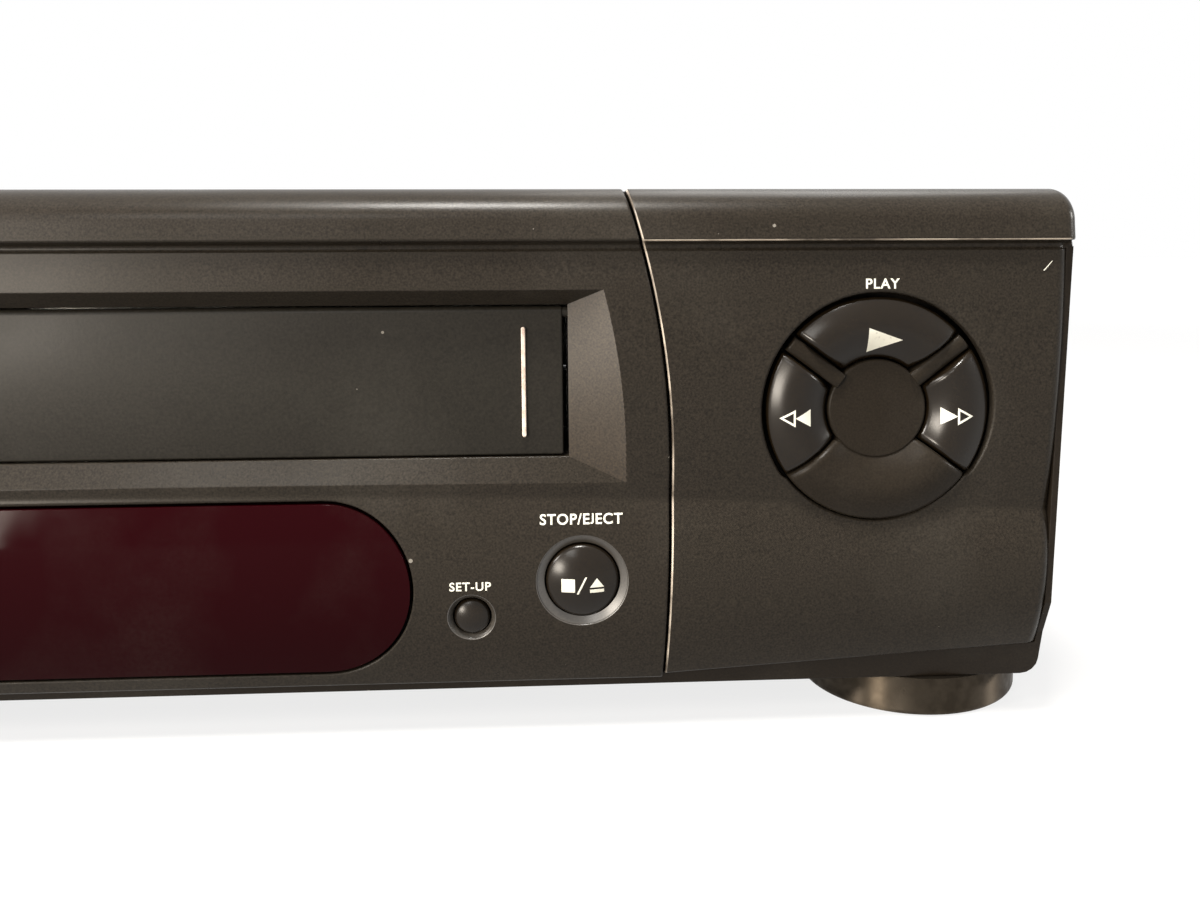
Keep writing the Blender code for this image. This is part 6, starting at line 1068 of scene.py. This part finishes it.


# Cassette door
# A moulded flap in greenish dark grey that closes the throat, with a full-round top edge on two hinge pins.
# Each end carries a fine raised rib, coloured a bright pinkish cream that is a painted highlight along it.

DOOR_HALF = 94.7 * MM
DOOR_DEPTH = 5 * MM
DOOR_WALL = 2.4 * MM
DOOR_BOTTOM = 53.6 * MM
HINGE_Z = 80.2 * MM
HINGE_DEPTH = DOOR_DEPTH + DOOR_WALL / 2
DOOR_BOW = 0.5 * MM
DOOR_EDGE = 0.35 * MM
DOOR_STEPS = 20
PIN_RADIUS = 1 * MM
PIN_REACH = 2.4 * MM
PIN_SIDES = 24
STIFFENER = (1.4 * MM, 1.2 * MM)
STIFFENER_BOTTOMS = (54.1 * MM, 65.6 * MM)
RIB_X = 87.5 * MM
RIB_BOTTOM = 57.5 * MM
RIB_TOP = 77.2 * MM
RIB_HALF = 0.4 * MM
RIB_RISE = 0.3 * MM

outline = [(DOOR_DEPTH + DOOR_WALL, HINGE_Z)]
for i in range(1, DOOR_STEPS + 1):
    turn = math.pi * i / DOOR_STEPS
    outline.append((HINGE_DEPTH + DOOR_WALL / 2 * math.cos(turn), HINGE_Z + DOOR_WALL / 2 * math.sin(turn)))
for i in range(1, DOOR_STEPS + 1):
    share = i / DOOR_STEPS
    bow = DOOR_BOW * 4 * share * (1 - share) - DOOR_BOW / 2 * share
    outline.append((DOOR_DEPTH - bow, HINGE_Z - (HINGE_Z - DOOR_BOTTOM) * share))
outline.append((DOOR_DEPTH + DOOR_WALL, DOOR_BOTTOM))
flap = [prism(outline, "x", -DOOR_HALF, DOOR_HALF)]
back = DOOR_DEPTH + DOOR_WALL
for bottom in STIFFENER_BOTTOMS:
    bar = [(back - DOOR_EDGE, bottom), (back + STIFFENER[0], bottom), (back + STIFFENER[0], bottom + STIFFENER[1]),
           (back - DOOR_EDGE, bottom + STIFFENER[1])]
    flap.append(prism(bar, "x", PIN_REACH - DOOR_HALF, DOOR_HALF - PIN_REACH))
door_plastic = moulded("door_grey", (0.0175, 0.0154, 0.0121), 0.36, depth=0.01 * MM, scale=2000.0, edge=0.2 * MM,
                       shine=0.13)
door = solid("door_flap", together(*flap), door_plastic)
soften(door, DOOR_EDGE)
seat(door, "door", "door_plastic", "cassette_door", sharp=35)

for side, word in ((-1, "left"), (1, "right")):
    turns = [math.tau * i / PIN_SIDES for i in range(PIN_SIDES)]
    ring = [(HINGE_DEPTH + PIN_RADIUS * math.cos(turn), HINGE_Z + PIN_RADIUS * math.sin(turn)) for turn in turns]
    start, stop = sorted((side * (DOOR_HALF - PIN_REACH), side * (DOOR_HALF + PIN_REACH)))
    seat(solid("door_pin_" + word, prism(ring, "x", start, stop), door_plastic), "door", "door_plastic", sharp=35)

# Painted highlight: the rib's bright pinkish cream, mottled by noise, stands in for the light the raised rib catches.
rib_painted_highlight, tree, shader = principled("rib_cream_painted_highlight")
highlight_mottle = wired(tree, "MapRange", {0: noise(tree, 900.0, 4.0), 1: 0.35, 2: 0.6}).outputs[0]
tree.links.new(blended(tree, highlight_mottle, (0.62, 0.48, 0.40, 1), (0.88, 0.75, 0.65, 1)), shader.inputs["Base Color"])
tree.links.new(wired(tree, "MapRange", {0: highlight_mottle, 3: 0.5, 4: 0.28}).outputs[0], shader.inputs["Roughness"])
for side, word in ((-1, "left"), (1, "right")):
    outline = []
    for x, z, first in ((RIB_X, RIB_TOP, 0), (RIB_X, RIB_BOTTOM, math.pi)):
        turns = [first + math.pi * i / LIP_STEPS / 2 for i in range(2 * LIP_STEPS + 1)]
        outline += [(side * x + RIB_HALF * math.cos(turn), z + RIB_HALF * math.sin(turn)) for turn in turns]
    rib = prism(outline, "depth", DOOR_DEPTH - DOOR_BOW - RIB_RISE, DOOR_DEPTH + DOOR_EDGE)
    rib = solid("door_rib_" + word, rib, rib_painted_highlight)
    soften(rib, RIB_HALF / 2)
    seat(rib, "door", "door_plastic", sharp=50)


# Round keys
# Four satin black moulded caps with a convex front, each on a stem through the carrier to its switch.
# Stop and eject share the large right one; the left pair mirrors the right.

CAP_SINK = 0.8 * MM
CAP_BEND = 1.96
CAP_ROUND = 0.5 * MM
CAP_SKIRT = 2.6 * MM
CAP_STEPS = 14
CAP_SIDES = 80
STEM_RADIUS = 1.7 * MM
STEM_TIP = 11.9 * MM

key_plastic = moulded("key_black", (0.0085, 0.0055, 0.0027), 0.25, depth=0.003 * MM, dusty=0.05, shine=0.26)


def fallen(distance, radius):
    """How far a rounded edge has fallen at a distance in from it."""
    short = radius - min(max(distance, 0), radius)
    return radius - math.sqrt(radius ** 2 - short ** 2)


def cap_depth(name, away):
    """Depth of a round key's domed front at a distance from its middle, without its rounded edge."""
    x, z, radius = ROUND_KEYS[name]
    bend = CAP_BEND * radius
    rim = face_depth(abs(x), z, CENTRE_FOOT) + CAP_SINK
    return rim + math.sqrt(bend ** 2 - radius ** 2) - math.sqrt(bend ** 2 - away ** 2)


for name, (x, z, radius) in ROUND_KEYS.items():
    turns = [math.pi / 2 * i / CAP_STEPS for i in range(CAP_STEPS + 1)]
    places = [radius * math.sin(turn) for turn in turns]
    profile = [(away, cap_depth(name, away) + fallen(radius - away, CAP_ROUND)) for away in places]
    base = profile[-1][1] + CAP_SKIRT
    profile += [(radius, base), (STEM_RADIUS, base), (STEM_RADIUS, STEM_TIP), (0, STEM_TIP)]
    cap = lathed(profile, CAP_SIDES, lambda u, v, w, x=x, z=z: (x + u, w, z + v))
    seat(solid(name + "_cap", cap, key_plastic), name + "_key", "key_plastic", name + "_button", sharp=35)


# Ring control
# A fixed hub with two spokes and a blank lower segment is one moulding behind the right panel's round hole.
# Play, rewind and forward are separate crowned segments that press in between the spokes.

RING_X, RING_Z = RIGHT_HOLE[:2]
RING_OUTER = 20.9 * MM
RING_HUB = 9.25 * MM
RING_GAP = 0.35 * MM
RING_INNER_DEPTH = 3 * MM
RING_OUTER_DEPTH = 2 * MM
RING_CROWN = 2.35 * MM
CROWN_FULLNESS = 0.98
RING_SKIRT = 6 * MM
BASE_BACK = 9.7 * MM
HUB_FRONT = 2.4 * MM
HUB_ROUND = 0.5 * MM
SPOKE_HALF = 1.5 * MM
SPOKE_DEPTH = 1.5 * MM
SPOKE_SIDE = 0.75 * MM
SPOKE_LEFT = 143
SPOKE_RIGHT = 38
SEAM_LEFT = 216
SEAM_RIGHT = -36
SPOKE_OFFSET = SPOKE_HALF + 1.4 * RING_GAP
SEAM_OFFSET = RING_GAP / 2
END_ROUND = 1.2 * MM
RIM_ROUND = 0.5 * MM
HUB_BITE = 0.5 * MM
SWEEP_STEPS = 56
SECTION_STEPS = 22


def eased(i, steps):
    """Steps from 0 to 1 that lie closer together at both ends."""
    return (1 - math.cos(math.pi * i / steps)) / 2


def crown_depth(radius, inner, outer):
    """Depth of a ring key's crowned front, without its rounded edges."""
    share = (radius - inner) / (outer - inner)
    base = RING_INNER_DEPTH + (RING_OUTER_DEPTH - RING_INNER_DEPTH) * share
    return base - RING_CROWN * math.sin(math.pi * share) ** CROWN_FULLNESS


def segment(centre, inner, outer, start, stop, back, inner_round=RIM_ROUND):
    """A crowned segment of a ring with rounded edges; start and stop are (angle, offset from that line)."""
    front, rear = [], []
    for i in range(SWEEP_STEPS + 1):
        front.append([])
        rear.append([])
        for j in range(SECTION_STEPS + 1):
            radius = inner + (outer - inner) * eased(j, SECTION_STEPS)
            low = math.radians(start[0]) + math.asin(start[1] / radius)
            high = math.radians(stop[0]) - math.asin(stop[1] / radius)
            angle = low + (high - low) * eased(i, SWEEP_STEPS)
            to_end = radius * min(math.sin(min(math.pi / 2, angle - low)), math.sin(min(math.pi / 2, high - angle)))
            depth = crown_depth(radius, inner, outer) + fallen(to_end, END_ROUND)
            depth += fallen(outer - radius, RIM_ROUND)
            depth += fallen(radius - inner, inner_round) if inner_round else 0
            x, z = centre[0] + radius * math.cos(angle), centre[1] + radius * math.sin(angle)
            front[-1].append((x, depth, z))
            rear[-1].append((x, back, z))
    return walled(front, rear)


def ring_key(name, centre, inner, outer, start, stop):
    """One key of a ring, on its stem."""
    angle = math.radians((start[0] + stop[0]) / 2)
    middle = (inner + outer) / 2
    at_x, at_z = centre[0] + middle * math.cos(angle), centre[1] + middle * math.sin(angle)
    profile = [(0, RING_SKIRT - RING_GAP), (STEM_RADIUS, RING_SKIRT - RING_GAP), (STEM_RADIUS, STEM_TIP),
               (0, STEM_TIP)]
    stem = lathed(profile, PIN_SIDES, lambda u, v, w: (at_x + u, w, at_z + v))
    cap = segment(centre, inner + RING_GAP, outer, start, stop, RING_SKIRT)
    seat(solid(name + "_segment", together(cap, stem), key_plastic), name + "_key", "key_plastic",
         name + "_button", sharp=32)


def spoke(centre, inner, outer, angle):
    """A straight bar from the hub to the rim with a rounded front."""
    section = [(-SPOKE_HALF, BASE_BACK)]
    for i in range(SECTION_STEPS + 1):
        turn = math.pi * i / SECTION_STEPS
        section.append((-SPOKE_HALF * math.cos(turn), SPOKE_DEPTH + SPOKE_SIDE * (1 - math.sin(turn))))
    section.append((SPOKE_HALF, BASE_BACK))
    along = Vector((math.cos(math.radians(angle)), math.sin(math.radians(angle))))
    across = Vector((-along.y, along.x))
    rings = []
    for radius, fall in ((inner, 0), (outer - RIM_ROUND, 0), (outer - RIM_ROUND / 3, RIM_ROUND / 3),
                         (outer, RIM_ROUND)):
        places = [(Vector(centre) + along * radius + across * offset, depth) for offset, depth in section]
        rings.append([(flat.x, min(depth + fall, BASE_BACK), flat.y) for flat, depth in places])
    return lofted(rings)


def hub(centre, radius):
    """A flat round boss with a rounded edge."""
    profile = [(0, HUB_FRONT)]
    for i in range(SCREW_STEPS + 1):
        turn = math.pi / 2 * i / SCREW_STEPS
        profile.append((radius - HUB_ROUND * (1 - math.sin(turn)), HUB_FRONT + HUB_ROUND * (1 - math.cos(turn))))
    profile += [(radius, BASE_BACK), (0, BASE_BACK)]
    return lathed(profile, CAP_SIDES, lambda u, v, w: (centre[0] + u, w, centre[1] + v))


ring = (RING_X, RING_Z)
inner = RING_HUB - HUB_BITE
lower = segment(ring, inner, RING_OUTER, (SEAM_LEFT, SEAM_OFFSET), (SEAM_RIGHT + 360, SEAM_OFFSET), BASE_BACK, 0)
spokes = [spoke(ring, inner, RING_OUTER - WINDOW_GAP, angle) for angle in (SPOKE_LEFT, SPOKE_RIGHT)]
hub_plastic = moulded("hub_grey", (0.0160, 0.0123, 0.0084), 0.34, depth=0.006 * MM, edge=0.2 * MM, shine=0.10)
base = solid("ring_base", together(hub(ring, RING_HUB), lower, *spokes), hub_plastic)
seat(base, "recorder", "end_plastic", "control_ring_base", sharp=32)
RING_KEYS = {"play": ((SPOKE_RIGHT, SPOKE_OFFSET), (SPOKE_LEFT, SPOKE_OFFSET)),
             "rewind": ((SPOKE_LEFT, SPOKE_OFFSET), (SEAM_LEFT, SEAM_OFFSET)),
             "forward": ((SEAM_RIGHT, SEAM_OFFSET), (SPOKE_RIGHT, SPOKE_OFFSET))}
for name, (start, stop) in RING_KEYS.items():
    ring_key(name, ring, RING_HUB, RING_OUTER, start, stop)


# Channel keys
# The left panel's round control is a smaller one of the same kind: a hub, two level spokes, and two keys.

CHANNEL_HUB = 4.6 * MM
CHANNEL_OUTER = 14 * MM

ring = LEFT_HOLE[:2]
spokes = [spoke(ring, CHANNEL_HUB - HUB_BITE, CHANNEL_OUTER - WINDOW_GAP, angle) for angle in (0, 180)]
base = solid("channel_base", together(hub(ring, CHANNEL_HUB), *spokes), hub_plastic)
seat(base, "recorder", "end_plastic", "channel_ring_base", sharp=32)
for name, start in (("channel_up", 0), ("channel_down", 180)):
    ring_key(name, ring, CHANNEL_HUB, CHANNEL_OUTER, (start, SPOKE_OFFSET), (start + 180, SPOKE_OFFSET))


# Printed marks
# Off-white ink, screen printed: key names on the panels and the usual transport signs on the keys.
# It lies on the curved faces as a thin film and moves with the piece that it is printed on.

INK_RISE = 0.04 * MM
INK_SINK = 0.06 * MM
INK_CELL = 0.45 * MM
INK_LINE = 0.36 * MM
LETTER_BOLD = 0.018
LETTER_SPACE = 1.11
TAIL_DEPTH = 0.1
TAIL_NARROW = 0.85
TAIL_SHIFT = 0.03
CAP_MARK_DROP = 0.5 * MM
SIGN_SIDES = 40

ink, tree, shader = principled("printed_ink", Specular_IOR_Level=0.2)
thin = wired(tree, "MapRange", {0: noise(tree, 1500.0, 3.0), 1: 0.2, 2: 0.38}).outputs[0]
tree.links.new(blended(tree, thin, (0.42, 0.40, 0.34, 1), (0.84, 0.83, 0.73, 1)), shader.inputs["Base Color"])
tree.links.new(wired(tree, "MapRange", {0: thin, 3: 0.45, 4: 0.6}).outputs[0], shader.inputs["Roughness"])


def lift_tails(shape):
    """Bring each letter that hangs below the line up on to it."""
    left = set(shape.verts)
    while left:
        letter, reached = [], [left.pop()]
        while reached:
            letter.append(reached.pop())
            for edge in letter[-1].link_edges:
                other = edge.other_vert(letter[-1])
                if other in left:
                    left.remove(other)
                    reached.append(other)
        low, high = (pick(vert.co.y for vert in letter) for pick in (min, max))
        right = max(vert.co.x for vert in letter)
        if low < -TAIL_DEPTH:
            for vert in letter:
                vert.co.y = (vert.co.y - low) * high / (high - low)
                vert.co.x = right - (right - vert.co.x) * TAIL_NARROW + TAIL_SHIFT


def lettering(words, width):
    """Bold capitals as a flat shape of a width, round the middle."""
    curve = bpy.data.curves.new("words", "FONT")
    curve.body = words
    curve.offset = LETTER_BOLD
    curve.space_character = LETTER_SPACE
    holder = bpy.data.objects.new("words", curve)
    bpy.context.scene.collection.objects.link(holder)
    bpy.context.view_layer.update()
    mesh = bpy.data.meshes.new_from_object(holder.evaluated_get(bpy.context.evaluated_depsgraph_get()))
    bpy.data.objects.remove(holder)
    shape = bmesh.new()
    shape.from_mesh(mesh)
    lift_tails(shape)
    across = [vert.co.x for vert in shape.verts]
    up = [vert.co.y for vert in shape.verts]
    scale = width / (max(across) - min(across))
    for vert in shape.verts:
        vert.co = ((vert.co.x - (max(across) + min(across)) / 2) * scale, 0,
                   (vert.co.y - (max(up) + min(up)) / 2) * scale)
    return shape


def sign(*outlines):
    """Outlines in (x, z) as a flat shape; an outline inside another one is a hole."""
    shape = bmesh.new()
    edges = []
    for outline in outlines:
        verts = [shape.verts.new((x, 0, z)) for x, z in outline]
        edges += [shape.edges.new(pair) for pair in zip(verts, verts[1:] + verts[:1])]
    bmesh.ops.triangle_fill(shape, use_beauty=True, edges=edges)
    return shape


def printed(name, shape, at, body, slot, surface):
    """Lay a flat shape on a curved surface as a film of ink; surface gives the depth at (x, z)."""
    bmesh.ops.remove_doubles(shape, verts=shape.verts, dist=MM / 1000)
    for axis in (0, 2):
        places = [vert.co[axis] for vert in shape.verts]
        for i in range(1, math.ceil((max(places) - min(places)) / INK_CELL)):
            point, normal = [0, 0, 0], [0, 0, 0]
            point[axis], normal[axis] = min(places) + i * INK_CELL, 1
            bmesh.ops.bisect_plane(shape, geom=shape.verts[:] + shape.edges[:] + shape.faces[:], plane_co=point,
                                   plane_no=normal)
    made = bmesh.ops.extrude_face_region(shape, geom=shape.faces[:], use_keep_orig=True)
    rear = {part for part in made["geom"] if isinstance(part, bmesh.types.BMVert)}
    for vert in shape.verts:
        x, z = at[0] + vert.co.x, at[1] + vert.co.z
        vert.co = (x, surface(x, z) + (INK_SINK if vert in rear else -INK_RISE), z)
    seat(solid(name, shape, ink), body, slot, sharp=40)


def on_face(x, z):
    """Depth of the panels' face, for marks printed on it."""
    return face_depth(abs(x), z, end_foot(x) if abs(x) > SEAM_SPAN else CENTRE_FOOT)


def on_cap(name):
    """Depth of a round key's front, for marks printed on it."""
    return lambda x, z: cap_depth(name, math.hypot(x - ROUND_KEYS[name][0], z - ROUND_KEYS[name][1]))


def on_ring(hole, hub_radius, outer):
    """Depth of a ring key's crown, for marks printed on it."""
    return lambda x, z: crown_depth(math.hypot(x - hole[0], z - hole[1]), hub_radius + RING_GAP, outer)


def triangle(x, width, height, turn=1):
    """A triangle round x that points to the right, or to the left for turn -1."""
    return [(x - turn * width / 2, -height / 2), (x + turn * width / 2, 0), (x - turn * width / 2, height / 2)]


def hollow_triangle(x, width, height, turn=1):
    """A triangle drawn as a line of ink."""
    lean = math.atan2(height / 2, width)
    short = width - INK_LINE - INK_LINE / math.sin(lean)
    middle = x - turn * (width / 2 - INK_LINE - short / 2)
    return [triangle(x, width, height, turn), triangle(middle, short, height * short / width, turn)]


def box(x, z, width, height):
    """An upright rectangle round a point."""
    return [(x - width / 2, z - height / 2), (x + width / 2, z - height / 2), (x + width / 2, z + height / 2),
            (x - width / 2, z + height / 2)]


def round_line(radius, start=0.0, stop=360.0):
    """A line of ink round the middle from one angle to another, in degrees, as one outline."""
    turns = [math.radians(start + (stop - start) * i / SIGN_SIDES) for i in range(SIGN_SIDES + 1)]
    rings = [[(reach * math.cos(turn), reach * math.sin(turn)) for turn in turns]
             for reach in (radius + INK_LINE / 2, radius - INK_LINE / 2)]
    return rings[0] + rings[1][::-1]


for words, width, at in (("PLAY", 6.3 * MM, (153.6 * MM, 85.3 * MM)),
                         ("STOP/EJECT", 15.3 * MM, (97.9 * MM, 42.0 * MM)),
                         ("SET-UP", 7.6 * MM, (77.4 * MM, 30.0 * MM)),
                         ("STANDBY", 12.0 * MM, (-97.9 * MM, 42.0 * MM)),
                         ("REC", 5.0 * MM, (-77.4 * MM, 30.0 * MM)),
                         ("CHANNEL", 12.2 * MM, (-153.2 * MM, 80.6 * MM))):
    printed("mark_" + words.lower().replace("/", "_"), lettering(words, width), at, "recorder", "front_plastic", on_face)

on_right, on_left = on_ring(RIGHT_HOLE, RING_HUB, RING_OUTER), on_ring(LEFT_HOLE, CHANNEL_HUB, CHANNEL_OUTER)
printed("sign_play", sign(triangle(0, 6.4 * MM, 4.6 * MM)), (154.1 * MM, 74.9 * MM), "play_key", "key_plastic", on_right)
for name, x, turn in (("rewind", 137.4 * MM, -1), ("forward", 167.8 * MM, 1)):
    wide, high = 2.9 * MM, 3.2 * MM
    printed("sign_" + name + "_solid", sign(triangle(-turn * wide / 2, wide, high, turn)), (x, 60.6 * MM),
            name + "_key", "key_plastic", on_right)
    printed("sign_" + name + "_line", sign(*hollow_triangle(turn * wide / 2, wide, high, turn)), (x, 60.6 * MM),
            name + "_key", "key_plastic", on_right)
arm, bar = 1.35 * MM, 0.3 * MM
plus = [(bar, bar), (bar, arm), (-bar, arm), (-bar, bar), (-arm, bar), (-arm, -bar), (-bar, -bar), (-bar, -arm),
        (bar, -arm), (bar, -bar), (arm, -bar), (arm, bar)]
for name, mark in (("channel_up", plus), ("channel_down", box(0, 0, 2 * arm, 2 * bar))):
    up = 1 if name == "channel_up" else -1
    at = (LEFT_HOLE[0], LEFT_HOLE[1] + up * (CHANNEL_HUB + CHANNEL_OUTER) / 2)
    printed("sign_" + name, sign(mark), at, name + "_key", "key_plastic", on_left)

nick = [(-0.85 * MM, -0.85 * MM), (-0.68 * MM, -0.9 * MM), (0.9 * MM, 0.88 * MM), (0.82 * MM, 0.98 * MM)]
printed("scuff_right", sign(nick), (184.6 * MM, 88.4 * MM), "recorder", "end_plastic", on_face)
slash = [(-1.05 * MM, -1.6 * MM), (-0.7 * MM, -1.6 * MM), (0.9 * MM, 1.6 * MM), (0.55 * MM, 1.6 * MM)]
eject = [(1.4 * MM, -0.35 * MM), (4.0 * MM, -0.35 * MM), (2.7 * MM, 1.35 * MM)]
marks = [sign(box(-2.6 * MM, 0, 2.5 * MM, 2.5 * MM)), sign(slash), sign(eject),
         sign(box(2.7 * MM, -1.05 * MM, 2.6 * MM, 0.6 * MM))]
x, z, _ = ROUND_KEYS["stop_eject"]
printed("sign_stop_eject", together(*marks), (x, z - CAP_MARK_DROP), "stop_eject_key", "key_plastic", on_cap("stop_eject"))
x, z, _ = ROUND_KEYS["standby"]
marks = [sign(round_line(1.5 * MM, 120, 420)), sign(box(0, 1.3 * MM, INK_LINE, 1.6 * MM))]
printed("sign_standby", together(*marks), (x, z), "standby_key", "key_plastic", on_cap("standby"))
x, z, _ = ROUND_KEYS["record"]
turns = [math.tau * i / SIGN_SIDES for i in range(SIGN_SIDES)]
dot = sign([(0.9 * MM * math.cos(turn), 0.9 * MM * math.sin(turn)) for turn in turns])
printed("sign_record", dot, (x, z), "record_key", "key_plastic", on_cap("record"))
